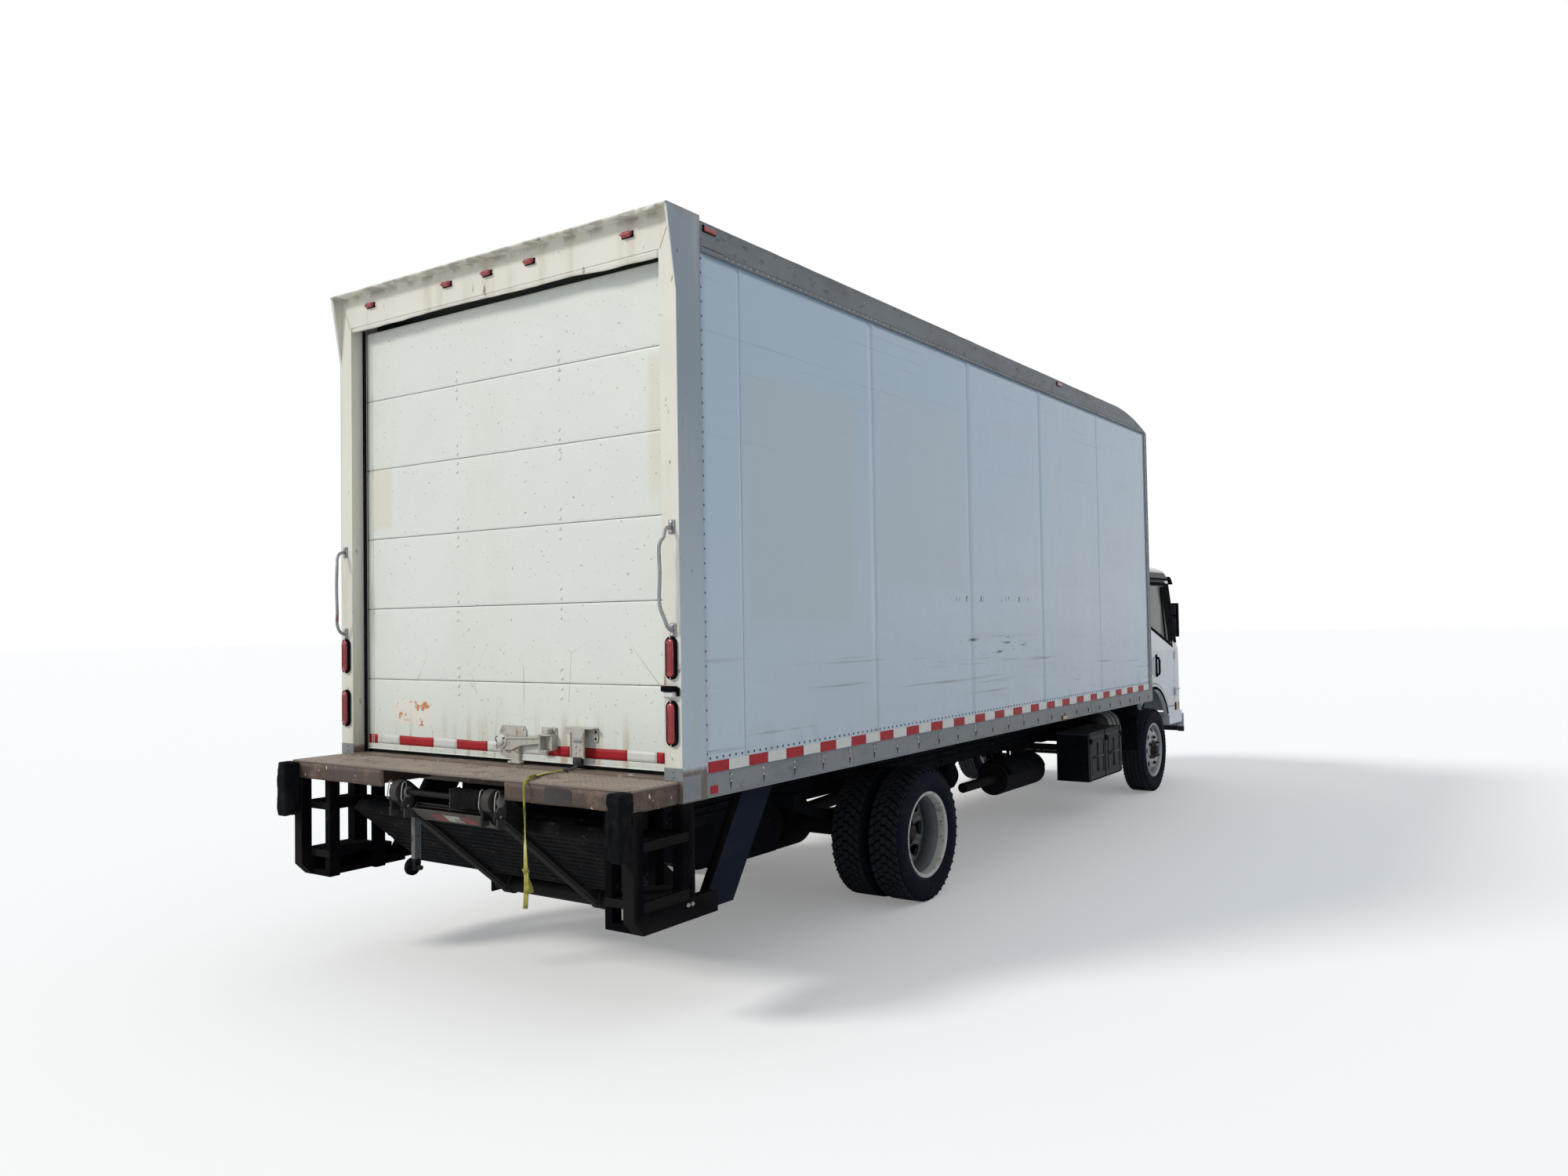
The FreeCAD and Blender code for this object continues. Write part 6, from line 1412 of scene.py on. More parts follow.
def tyre(form, centre, pitches, share, skew):
    """One tyre: beads, crowned side walls with rings and ribs, and blocks round the tread."""
    def wall(sign):
        points = []
        for s in shares(10):
            swell = 0.0138 * sin(pi * s) ** 0.8
            ring = 0.0012 if s in (0.3, 0.8) else 0
            points.append((sign * (0.0985 + 0.001 * s + swell + ring), 0.265 + 0.121 * s))
        return points
    profile = [(-0.0849, 0.2505), (-0.0867, 0.2630), *wall(-1), (-0.0925, 0.3950),
               (0.0925, 0.3950), *reversed(wall(1)), (0.0867, 0.2630), (0.0849, 0.2505)]
    form.turned(profile, centre, X, 72)
    x0, y0, z0 = centre
    for index, (low, high) in enumerate(ROWS):
        for k in range(pitches):
            start = tau * (k + 0.5 * (index % 2)) / pitches
            end = start + tau / pitches * share
            lean = skew * (1 if index < 2 else -1 if index > 2 else 0) / TYRE_R
            rings = []
            for radius, shrink in ((0.3935, 0), (0.4035, 0), (0.4048, 0.0016)):
                ring = []
                for x, a in ((low, start), (high, start + lean), (high, end + lean), (low, end)):
                    x += shrink if x == low else -shrink
                    a += (shrink if a in (start, start + lean) else -shrink) / TYRE_R
                    edge = 0.016 if abs(x) > 0.088 and radius > 0.40 else 0
                    r = radius - edge * 0.02
                    ring.append(Vector((x0 + x, y0 + r * cos(a), z0 + r * sin(a))))
                rings.append(ring)
            form.loft(rings, 1, smooth=False)
    for side in (-1, 1):
        for k in range(pitches):
            a = tau * (k + 0.25) / pitches
            path = [(x0 + side * u, y0 + r * cos(a), z0 + r * sin(a))
                    for u, r in ((0.0935, 0.3990), (0.1000, 0.3880), (0.1050, 0.3760))]
            form.tube(path, 0.006, 5, radii=[0.007, 0.0055, 0.002])


def turned_out(form, profile, centre, outward, sides, kind):
    """A turned part of a wheel whose profile says how far outward, and how far off the axis."""
    form.turned([(outward * u, r) for u, r in profile], centre, X, sides, kind)


def barrel(form, centre, outward, kind=0):
    """A rim's barrel with its well, bead seats and rolled flanges."""
    profile = [(-0.099, 0.240), (-0.099, 0.2595), (-0.0965, 0.262), (-0.089, 0.262),
               (-0.085, 0.2502), (-0.050, 0.248), (-0.040, 0.237), (0.030, 0.237),
               (0.044, 0.2485), (0.085, 0.2502), (0.089, 0.262), (0.0965, 0.262),
               (0.099, 0.2595), (0.099, 0.2500), (0.090, 0.2410), (0.044, 0.2385),
               (0.028, 0.2270), (-0.042, 0.2270), (-0.052, 0.2380), (-0.090, 0.240)]
    turned_out(form, profile, centre, outward, 72, kind)
    # The lip takes finish 2: on the rear rims the plain cream, while the rest of the rim takes the
    # painted-shade copy of the same paint.
    lip = [(0.0400, 0.2375), (0.0410, 0.2450), (0.0860, 0.2470), (0.0892, 0.2600),
           (0.0915, 0.2628), (0.0965, 0.2628), (0.1000, 0.2598), (0.1000, 0.2510),
           (0.0930, 0.2425), (0.0880, 0.2400), (0.0490, 0.2350), (0.0430, 0.2345)]
    turned_out(form, lip, centre, outward, 72, 2)


def pierced_disc(form, centre, front, thick, low, high, circle, hole, count=8, kind=0):
    """A wheel disc whose face lies at front(radius), with oval holes on a circle."""
    x0, y0, z0 = centre
    half = pi / count
    corner = atan2(half * circle, (high - low) / 2)
    turns = sorted(angles(24) + [corner, pi - corner, pi + corner, tau - corner])

    def frame_point(a):
        across, along = cos(a), sin(a)
        reach = min((high - low) / 2 / max(abs(across), 1e-9),
                    half * circle / max(abs(along), 1e-9))
        return (low + high) / 2 + across * reach, along * reach / circle

    def hole_point(a):
        return circle + hole[0] * cos(a), hole[1] * sin(a) / circle

    for turn in angles(count):
        rings = []
        for share, back in ((0.0, 0), (0.10, 0), (0.45, 0), (1.0, 0),
                            (1.0, thick), (0.45, thick), (0.10, thick), (0.0, thick)):
            lip = 0.003 * max(0, 1 - share * 9) * (1 if thick < 0 else -1)
            ring = []
            for a in turns:
                (r1, t1), (r2, t2) = hole_point(a), frame_point(a)
                r, t = r1 + (r2 - r1) * share, t1 + (t2 - t1) * share + turn
                ring.append((x0 + front(r) + back + lip * 0.5, y0 + r * cos(t),
                             z0 + r * sin(t)))
            rings.append(ring)
        form.loft(rings, kind, True)


def nut_ring(form, centre, out, circle, count, radius, height, kind, at):
    """Nuts on a circle round a wheel's axis, at an offset along it."""
    x0, y0, z0 = centre
    for k in range(count):
        a = tau * (k + 0.5) / count
        place = (x0 + at, y0 + circle * cos(a), z0 + circle * sin(a))
        form.nut(place, X * out, radius, height, kind)


def front_wheel(side):
    """Front rim with its pierced disc, dark hub, nuts and brake drum."""
    form = Form()
    centre = Vector((side * WHEEL_FRONT, AXLE_FRONT, TYRE_R))
    barrel(form, centre, side)

    def face(r):
        return side * (0.090 - 0.036 * eased(r, 0.160, 0.238))
    pierced_disc(form, centre, face, -side * 0.008, 0.080, 0.240, 0.196, (0.026, 0.035))
    hub = [(0.020, 0.037), (0.020, 0.088), (0.094, 0.088), (0.100, 0.083), (0.104, 0.066),
           (0.112, 0.060), (0.127, 0.052), (0.133, 0.046), (0.136, 0.030), (0.136, 0.001),
           (0.064, 0.001), (0.064, 0.037)]
    turned_out(form, hub, centre, side, 40, 1)
    drum = [(-0.090, 0.152), (-0.090, 0.172), (-0.082, 0.1745), (-0.075, 0.172), (0.024, 0.172),
            (0.032, 0.165), (0.032, 0.092), (0.022, 0.092), (0.020, 0.152)]
    turned_out(form, drum, centre, side, 48, 1)
    nut_ring(form, centre, side, 0.124, 6, 0.0165, 0.018, 1, side * 0.090)
    nut_ring(form, centre, side, 0.072, 8, 0.0075, 0.008, 1, side * 0.101)
    form.rod(centre + Vector((side * 0.062, 0.212, 0.108)),
             centre + Vector((side * 0.100, 0.205, 0.104)), 0.004, 8, 0.001, 1)
    return form


def rear_wheels(side):
    """Both rear rims, disc to disc, with the deep outer dish, dark hub, nuts and drum."""
    form = Form()
    outer = Vector((side * REAR_OUTER, AXLE_REAR, TYRE_R))
    inner = Vector((side * REAR_INNER, AXLE_REAR, TYRE_R))
    barrel(form, outer, side)
    barrel(form, inner, side)
    pierced_disc(form, outer, lambda r: side * (-0.119 + 0.058 * eased(r, 0.140, 0.205)),
                 -side * 0.0095, 0.090, 0.2395, 0.196, (0.029, 0.045))
    pierced_disc(form, outer, lambda r: side * (-0.141 - 0.036 * eased(r, 0.164, 0.240)),
                 side * 0.0095, 0.090, 0.2395, 0.194, (0.025, 0.035), 8, 1)
    hub = [(-0.118, 0.001), (-0.118, 0.098), (-0.100, 0.098), (-0.094, 0.090), (-0.064, 0.084),
           (-0.058, 0.090), (-0.046, 0.090), (-0.041, 0.084), (-0.039, 0.060), (-0.030, 0.055),
           (-0.012, 0.050), (-0.006, 0.042), (-0.004, 0.030), (-0.004, 0.001)]
    turned_out(form, hub, outer, side, 44, 1)
    inside = [(-0.250, 0.0665), (-0.250, 0.098), (-0.142, 0.098), (-0.142, 0.0665)]
    turned_out(form, inside, outer, side, 40, 1)
    drum = [(-0.350, 0.150), (-0.350, 0.178), (-0.342, 0.180), (-0.330, 0.178), (-0.322, 0.180),
            (-0.310, 0.178), (-0.190, 0.176), (-0.182, 0.168), (-0.182, 0.0665), (-0.192, 0.0665),
            (-0.192, 0.150)]
    turned_out(form, drum, outer, side, 48, 1)
    nut_ring(form, outer, side, 0.132, 6, 0.0180, 0.024, 1, side * -0.119)
    nut_ring(form, outer, side, 0.074, 8, 0.0080, 0.008, 1, side * -0.0405)
    form.rod(outer + Vector((side * -0.080, 0.212, 0.098)),
             outer + Vector((side * 0.094, 0.213, 0.105)), 0.004, 8, 0.001, 1)
    return form


for word, side in SIDES:
    form = Form()
    tyre(form, (side * WHEEL_FRONT, AXLE_FRONT, TYRE_R), 62, 0.93, 0.006)
    form.make("front_tyre_blocks_" + word, "front_wheel_" + word, "tyre_rubber", tyre_rubber,
              tread_worn, replaces=["front_tyre_" + word])
    front_wheel(side).make("front_wheel_disc_" + word, "front_wheel_" + word, "rim_silver",
                           rim_silver, hub_dark, rim_silver, replaces=["front_rim_" + word])
    form = Form()
    for middle in (REAR_OUTER, REAR_INNER):
        tyre(form, (side * middle, AXLE_REAR, TYRE_R), 44, 0.72, 0.016)
    form.make("rear_tyre_blocks_" + word, "rear_wheels_" + word, "tyre_rubber", tyre_rubber,
              tread_worn, replaces=["rear_tyres_" + word])
    rear_wheels(side).make("rear_wheel_discs_" + word, "rear_wheels_" + word, "rim_cream",
                           rim_cream, hub_dark, rim_lip, replaces=["rear_rims_" + word])


# ---------------------------------------------------------------- cab

# height, front y, half width, front corner radius of the cab's outer form
CAB_FORM = ((0.710, -4.480, 0.996, 0.200), (1.380, -4.450, 1.004, 0.210),
            (1.420, -4.410, 1.002, 0.210), (2.120, -4.280, 0.950, 0.170),
            (2.190, -4.200, 0.926, 0.160), (2.220, -4.070, 0.880, 0.150))


def cab_row(z):
    """Front y, half width and corner radius of the cab at a height."""
    for low, high in zip(CAB_FORM, CAB_FORM[1:]):
        if z <= high[0] or high is CAB_FORM[-1]:
            share = min(max((z - low[0]) / (high[0] - low[0]), 0), 1)
            return [a + (b - a) * share for a, b in zip(low[1:], high[1:])]


def cab_side(y, z, side, grow=0.0):
    """The point on the cab's side, round its front corner where y reaches that far."""
    front, half, corner = cab_row(z)
    past = front + corner - y
    if past <= 0:
        return side * (half + grow), y, z
    across = sqrt(max(corner * corner - min(past, corner) ** 2, 0))
    normal = Vector((across, -past, 0)).normalized() * grow
    return side * (half - corner + across + normal.x), y + normal.y, z


def cab_nose(x, z, grow=0.0):
    """The point on the cab's front at x, z."""
    front, half, corner = cab_row(z)
    past = abs(x) - (half - corner)
    if past <= 0:
        return x, front - grow, z
    along = sqrt(max(corner * corner - past * past, 0))
    normal = Vector((past, -along, 0)).normalized() * grow
    return x + copysign(normal.x, x), front + corner - along + normal.y, z


def filled_out(outline, pitch=0.04):
    """The outline with points between its corners."""
    points = []
    for (a, b), (c, d) in zip(outline, outline[1:] + outline[:1]):
        count = max(1, round(hypot(c - a, d - b) / pitch))
        points += [(a + (c - a) * k / count, b + (d - b) * k / count) for k in range(count)]
    return points


def grown(outline, by):
    """The outline moved outward by a distance, corner by corner."""
    area = sum(a * d - c * b for (a, b), (c, d) in zip(outline, outline[1:] + outline[:1]))
    turn = 1 if area > 0 else -1
    result = []
    for k in range(len(outline)):
        before, here, after = [Vector((*outline[i % len(outline)], 0)) for i in (k - 1, k, k + 1)]
        one, two = (here - before).normalized(), (after - here).normalized()
        n1, n2 = Vector((one.y, -one.x, 0)) * turn, Vector((two.y, -two.x, 0)) * turn
        mid = (n1 + n2).normalized()
        moved = here + mid * by / max(mid.dot(n1), 0.4)
        result.append((moved.x, moved.y))
    return result


def surround(form, outline, inner, outer, place, proud, sunk, kind=0):
    """A rubber or painted band round an opening, laid on a curved surface by place(a, b, grow)."""
    rings = []
    for by, grow in ((outer, -0.001), (outer, proud * 0.6), (outer - 0.003, proud),
                     (inner + 0.003, proud), (inner, proud * 0.4), (inner, -sunk)):
        rings.append([place(a, b, grow) for a, b in filled_out(grown(outline, by))])
    count = min(len(ring) for ring in rings)
    form.loft([[ring[round(i * len(ring) / count) % len(ring)] for i in range(count)]
               for ring in rings], kind, True)


# outlines of a door's window (y, z), of the windshield and of the back window (x, z)
WINDOW = [(-4.050, 1.430), (-3.330, 1.640), (-3.330, 2.030), (-3.965, 2.030), (-4.050, 1.540)]
WINDSHIELD = [(-0.860, 1.460), (0.860, 1.460), (0.800, 2.050), (-0.800, 2.050)]
BACK_WINDOW = rectangle(-0.520, 0.520, 1.560, 1.960)


def cab_back(x, z, grow=0.0):
    """The point on the cab's back wall at x, z."""
    share = min(max((z - 1.420) / 0.700, 0), 1)
    return x, -2.765 - 0.015 * share + grow, z


def door_details(side):
    """Window seal, belt seal, trim strips at the window's front and top, an upright bar inside the
    window, and the handle in its recess, of one cab door.
    """
    form = Form()

    def lay(a, b, grow):
        return cab_side(a, b, side, grow)
    surround(form, WINDOW, 0.002, 0.026, lay, 0.004, 0.014)
    form.tube([lay(-4.045, 1.434, -0.004), lay(-3.335, 1.641, -0.004)], 0.006, 8)
    form.sheet([0, 0.5, 1], steps(1.470, 2.070, 0.06),
               lambda s, z: lay(-4.062 + 0.085 * max(0, (z - 1.54) / 0.49)
                                - s * (0.054 - 0.004 * (z - 1.47)), z, 0.0022),
               thick=(-side * 0.004, 0, 0))
    form.sheet(steps(-3.960, -3.320, 0.08), [2.052, 2.072],
               lambda y, z: lay(y, z, 0.0022), thick=(-side * 0.004, 0, 0))
    form.tube([lay(-3.9, 1.474, -0.012), lay(-3.899, 2.020, -0.012)], 0.008, 6)
    low, high = 1.115, 1.345
    recess = [(-3.535, low), (-3.480, low + 0.008), (-3.472, high - 0.010), (-3.488, high),
              (-3.530, high - 0.004)]
    form.prism(recess, 0, *span(side * 1.0015, side * 1.0065))
    grip = [lay(-3.507, low + 0.020, 0.004), lay(-3.507, low + 0.030, 0.024),
            lay(-3.506, low + 0.050, 0.031), lay(-3.502, high - 0.060, 0.031),
            lay(-3.501, high - 0.038, 0.022), lay(-3.501, high - 0.030, 0.004)]
    form.tube(grip, 0.011, 10)
    form.rod(lay(-3.500, high - 0.018, 0.003), lay(-3.500, high - 0.018, 0.009), 0.009, 12)
    return form


for word, side in SIDES:
    door_details(side).make("cab_door_trim_" + word, "door_" + word, "trim_plastic", trim_black)

# the wheel arch's radius, and where the corner lamps begin
ARCH_RADIUS, CORNER_Y = 0.514, -4.136
nose = Form()
surround(nose, WINDSHIELD, 0.002, 0.024, cab_nose, 0.004, 0.014)
surround(nose, BACK_WINDOW, 0.002, 0.022, cab_back, 0.004, 0.012)
for side in (-1, 1):
    def pillar(s, z, side=side):
        """From the door's front edge round the corner to the windshield."""
        x_end = 0.886 - 0.060 * (z - 1.46) / 0.59
        start = -4.133 + 0.100 * max(0, (z - 1.475) / 0.605)
        end = cab_nose(x_end, z)[1]
        return cab_side(start + (end - start) * s ** 0.8, z, side, 0.0025)
    nose.sheet(shares(8), steps(1.445, 2.062, 0.05), pillar,
               thick=(-side * 0.003, 0.003, 0))
    nose.sheet([0, 0.5, 1], steps(-4.130, -3.255, 0.05),
               lambda s, y, side=side: cab_side(y, 2.093 + 0.020 * s, side, 0.003),
               thick=(-side * 0.004, 0, 0))
    strip = [cab_side(CORNER_Y - 0.014 * k, 0.960, side, 0.003) for k in range(13)]
    nose.tube(strip, 0.013, 8, 1, flat=0.35, up=(0, 0, 1))
    for k in range(8):
        pa, pb = [Vector(cab_side(CORNER_Y - 0.016 * i, 0.785, side, 0.006)) for i in (k, k + 1)]
        lift, back = Z * 0.040, Vector((-side * 0.008, 0.004, 0))
        nose.add([pa - lift, pb - lift, pb + lift, pa + lift,
                  pa - lift + back, pb - lift + back, pb + lift + back, pa + lift + back],
                 [[0, 1, 2, 3], [7, 6, 5, 4], [0, 1, 5, 4], [3, 2, 6, 7], [1, 2, 6, 5],
                  [0, 3, 7, 4]], 2 if 1 < k < 7 else 0)
    arch = []
    for a in steps(radians(26), radians(139), radians(113) / 40):
        y, z = AXLE_FRONT - ARCH_RADIUS * cos(a), 0.500 + ARCH_RADIUS * sin(a)
        arch.append(cab_side(y, max(z, 0.712), side, 0.001))
    nose.tube(arch, 0.014, 8, 0, flat=0.5, up=(side, 0, 0))
grille = [(-0.530, 0.790), (0.530, 0.790), (0.545, 0.850), (0.530, 1.020), (-0.530, 1.020),
          (-0.545, 0.850)]
surround(nose, grille, -0.018, 0.012, cab_nose, 0.012, 0.001)
for k in range(6):
    z = 0.822 + 0.034 * k
    bow = [cab_nose(x, z, 0.006 + 0.002 * (k % 2)) for x in steps(-0.520, 0.520, 0.08)]
    nose.tube(bow, 0.010, 8, flat=0.55)
for x in (-0.26, 0, 0.26):
    nose.bar(about(x, 0.006), (-4.488, -4.466), (0.800, 1.012), 0.003)
nose.sheet(steps(-0.500, 0.500, 0.1), [1.060, 1.064, 1.068], lambda x, z: cab_nose(x, z, 0.002),
           thick=(0, 0.004, 0))
nose.sheet(steps(-0.94, 0.94, 0.094), [0, 0.12, 0.4, 0.7, 1.0],
           lambda x, s: (x, -4.288 - 0.125 * s + 0.05 * (abs(x) / 0.94) ** 4,
                         2.138 - 0.075 * s * s),
           thick=(0, 0.003, -0.006))
for x in (-0.62, 0, 0.62):
    nose.bar(about(x, 0.015), (-4.345, -4.262), (2.108, 2.128), 0.004)
for pivot, tip in ((-0.30, -0.800), (0.42, -0.100)):
    base = Vector(cab_nose(pivot, 1.425, 0.012))
    end = Vector(cab_nose((pivot + tip) / 2, 1.490, 0.016))
    nose.rod(base + Vector((0, 0.020, 0)), base - Vector((0, 0.006, 0)), 0.014, 12)
    nose.tube([base, (base + end) / 2 + Vector((0, -0.008, 0)), end], 0.005, 8,
              radii=[0.008, 0.006, 0.004])
    blade = [cab_nose(tip + 0.07 * k, 1.474 + 0.0025 * k, 0.010) for k in range(9)]
    nose.tube(blade, 0.006, 6, flat=0.6)
nose.make("cab_trim", "cab", "trim_plastic", trim_black, lining, amber_lens)

roof = Form()
for x in (-0.74, -0.17, 0, 0.17, 0.74):
    roof.bars(
        (x - 0.040, x + 0.040, -4.040, -3.985, 2.2185, 2.224, 0.002, 1),
        (x - 0.034, x + 0.034, -4.036, -3.990, 2.2235, 2.2440, 0.008, 0))
for x in (-0.55, -0.28, 0, 0.28, 0.55):
    roof.bar(about(x, 0.030), (-3.900, -2.900), (2.2185, 2.2235), 0.0035, 2)
roof.make("cab_roof_details", "cab", "cab_paint", red_lens, trim_black, cab_white)

front_lamps = Form()
for side in (-1, 1):
    front_lamps.bar(span(side * 0.560, side * 0.790), (-4.486, -4.466), (0.770, 0.930), 0.005, 1)
    for low, high, kind in ((0.566, 0.712, 0), (0.718, 0.785, 2)):
        def lens(a, z, low=low, high=high, side=side):
            u, v = (a - low) / (high - low) * 2 - 1, (z - 0.850) / 0.074
            crown = (1 - u ** 6) * (1 - v ** 6)
            return side * a, -4.4855 - 0.0095 * crown, z
        front_lamps.sheet(steps(low, high, 0.010), steps(0.776, 0.924, 0.012), lens, kind,
                          (0, 0.004, 0))
    bowl = [(0.000, 0.001), (0.000, 0.020), (0.004, 0.030), (0.006, 0.058), (0.009, 0.060),
            (0.009, 0.001)]
    front_lamps.turned([(-u, r) for u, r in bowl], (side * 0.639, -4.4855, 0.850), Y, 32, 3)
front_lamps.make("headlamp_units", "cab", "lamp_clear", clear_lens, trim_black, amber_lens, chrome,
                 replaces=["headlamps"])

faces_of_mirrors = Form()
for side in (-1, 1):
    inner = span(side * 0.785, side * 0.935)
    faces_of_mirrors.bar(inner, (-4.4765, -4.4745), (1.515, 1.720), 0.0008, 0)
    faces_of_mirrors.bar(inner, (-4.4765, -4.4745), (1.735, 1.845), 0.0008, 0)
    for low, high in ((1.508, 1.727), (1.728, 1.852)):
        rim = filled_out(rectangle(side * 0.778, side * 0.942, low, high), 0.05)
        faces_of_mirrors.tube(raised(rim, 1, -4.4755), 0.003, 6, 1, closed=True)
mirror_glass = finish("mirror_glass", (0.50, 0.54, 0.56), 0.05, 0.9, 0.03, 4,
    [(5, 0.6, 0.8, 0.3, (0.20, 0.20, 0.19), 0.5)])
faces_of_mirrors.make("mirror_faces", "cab", "trim_plastic", mirror_glass, trim_black)

panel = Form()
panel.bars(
    (0.290, 0.710, -4.230, -4.045, 1.424, 1.468, 0.018),
    (0.320, 0.680, -4.046, -4.034, 1.350, 1.440, 0.006, 1))
for x in (0.420, 0.580):
    panel.turned([(0, 0.001), (0, 0.036), (0.006, 0.036), (0.006, 0.030), (0.004, 0.001)],
                 (x, -4.036, 1.394), Y, 24, 2)
panel.bar((-0.100, 0.180), (-4.034, -4.020), (1.170, 1.400), 0.008, 1)
for z in (1.200, 1.235, 1.270):
    panel.bar((-0.080, 0.160), (-4.022, -4.014), (z, z + 0.020), 0.003, 2)
for x in (-0.700, -0.240, 0.260, 0.740):
    for k in range(5):
        panel.bar(about(x, 0.045), (-4.046, -4.036), (1.352 + 0.014 * k, 1.357 + 0.014 * k),
                  0.001, 1)
panel.bar((-0.700, -0.250), (-4.040, -4.026), (1.180, 1.310), 0.010)
panel.tube([(0.05, -3.86, 1.090), (0.06, -3.85, 1.25), (0.10, -3.80, 1.345)], 0.010, 10, 1)
panel.dome((0.10, -3.80, 1.335), (0.2, 0.3, 1), 0.026, 0.034, 14, 1)
panel.tube([(0.05, -3.86, 1.090), (0.051, -3.858, 1.13)], 0.05, 16, 1, radii=[0.06, 0.018])
for x in (0.40, 0.53, 0.62):
    panel.bar(about(x, 0.025), (-4.075, -4.060), (1.135, 1.205), 0.004, 1)
panel.make("dashboard_trim", "cab", "trim_plastic", inner_grey, trim_black, clear_lens)


# ---------------------------------------------------------------- below the load space

cover = Form()
cover.bars(
    (-1.010, -0.996, -2.345, -1.505, 0.335, 0.715, 0.010),
    (-1.012, -0.715, -2.348, -1.502, 0.716, 0.738, 0.008))
for y0, y1 in ((-2.285, -1.985), (-1.865, -1.565)):
    ring = filled_out(rectangle(y0, y1, 0.380, 0.665), 0.05)
    cover.tube(raised(ring, 0, -1.011), 0.009, 8, closed=True)
    middle = (y0 + y1) / 2
    cover.tube([(-1.011, middle, 0.400), (-1.011, middle, 0.645)], 0.013, 10)
    cover.tube([(-1.011, y0 + 0.03, 0.522), (-1.011, y1 - 0.03, 0.522)], 0.013, 10)
for y in (-2.315, -1.925, -1.535):
    cover.bars(
        (-1.018, -1.004, y - 0.018, y + 0.018, 0.330, 0.738, 0.004),
        (-1.022, -1.010, y - 0.026, y + 0.026, 0.640, 0.690, 0.004, 1))
    cover.nut((-1.022, y, 0.665), -X, 0.009, 0.007, 1)
cover.make("battery_cover", "truck", "trim_plastic", cover_navy, chassis_black)

canister = Form()
for y in (-2.760, -2.655, -2.550):
    canister.turned([(-0.012, 0.1295), (-0.012, 0.1330), (0.012, 0.1330), (0.012, 0.1295)],
                    (-0.720, y, 0.700), Y, 40, 1)
    canister.bar((-0.740, -0.700), about(y, 0.010), (0.832, 0.848), 0.004, 1)
for y, out in ((-2.490, 1), (-2.820, -1)):
    canister.turned([(0.001 * out, 0.001), (0.001 * out, 0.118), (0.010 * out, 0.112),
                     (0.013 * out, 0.080), (0.022 * out, 0.070), (0.024 * out, 0.001)],
                    (-0.720, y, 0.700), Y, 36, 0)
hose = [(-0.720, -2.498, 0.700), (-0.720, -2.440, 0.705), (-0.705, -2.400, 0.715),
        (-0.660, -2.372, 0.722), (-0.600, -2.366, 0.726), (-0.470, -2.366, 0.728)]
path = bent(hose, 6)
canister.tube(path, 0.042, 16, 2, radii=[0.042 + 0.004 * (k % 2) for k in range(len(path))])
canister.make("air_cleaner_bands", "truck", "cleaner_grey", cleaner_grey, worn_steel, rubber)

rails = Form()
for side in (-1, 1):
    for y in steps(-4.10, 3.60, 0.35):
        for z in (0.640, 0.690, 0.745, 0.800):
            rails.dome((side * 0.425, y, z), X * side, 0.011, 0.007, 8)
            rails.dome((side * 0.425, y + 0.055, z), X * side, 0.011, 0.007, 8)
    for y in steps(-2.3, 3.6, 0.98):
        rails.bar(span(side * 0.424, side * 0.437), about(y, 0.045), (0.700, 0.836), 0.003)
        for z in (0.730, 0.775):
            rails.nut((side * 0.437, y, z), X * side, 0.013, 0.011, 1)
    for z, sway, pace, seed, radius in ((0.668, 0.010, 1.4, 7, 0.006),
                                        (0.715, 0.014, 1.1, 9, 0.009)):
        rails.tube([(side * 0.431, y, z + sway * wobble(y, side, pace, seed))
                    for y in steps(-2.4, 3.3, 0.15)], radius, 8)
rails.make("rail_rivets", "truck", "chassis_black", chassis_black, iron)

hung = Form()
shield = []
for s in shares(12):
    a = radians(15 + 150 * s)
    shield.append((-0.500 + 0.150 * cos(a), 0.420 + 0.150 * sin(a)))
hung.sheet(steps(-1.430, -0.690, 0.1), shield, lambda y, p: (p[0], y, p[1]), thick=(0, 0, -0.004))
for y in (-1.40, -1.06, -0.72):
    hung.tube([(x, y, z + 0.003) for x, z in shield], 0.006, 6)
    hung.bar((-0.475, -0.455), about(y, 0.015), (0.560, 0.640), 0.003)
for y, z, low, high in ((-0.28, 0.485, -0.36, 0.36), (0.02, 0.500, -0.34, 0.34)):
    dome = ((0, 0.002), (0.008, 0.060), (0.035, 0.098), (0.050, 0.104))
    hung.turned([*[(low + u, r) for u, r in dome], *[(high - u, r) for u, r in reversed(dome)]],
                (0, y, z), X, 32)
    for x in (low + 0.12, high - 0.12):
        hung.turned([(-0.015, 0.103), (-0.015, 0.107), (0.015, 0.107), (0.015, 0.103)],
                    (x, y, z), X, 32, 0)
        hung.bars(
            (x - 0.015, x + 0.015, y - 0.006, y + 0.006, z + 0.100, 0.640, 0.002),
            (x - 0.02, x + 0.02, y - 0.12, y + 0.12, 0.632, 0.644, 0.002))
for k, y in enumerate(steps(-2.35, 1.10, 0.23)):
    droop = 0.03 * sin(k * 1.9)
    hung.tube([(-0.40, y, 0.655), (-0.36, y + 0.06, 0.600 + droop),
               (-0.38, y + 0.14, 0.585 + droop), (-0.41, y + 0.22, 0.650)], 0.010, 8)
hung.make("air_tanks_and_shield", "truck", "chassis_black", chassis_black)


# ---------------------------------------------------------------- seats

# how far the cloth simulation may move a point
SWELL = 0.024


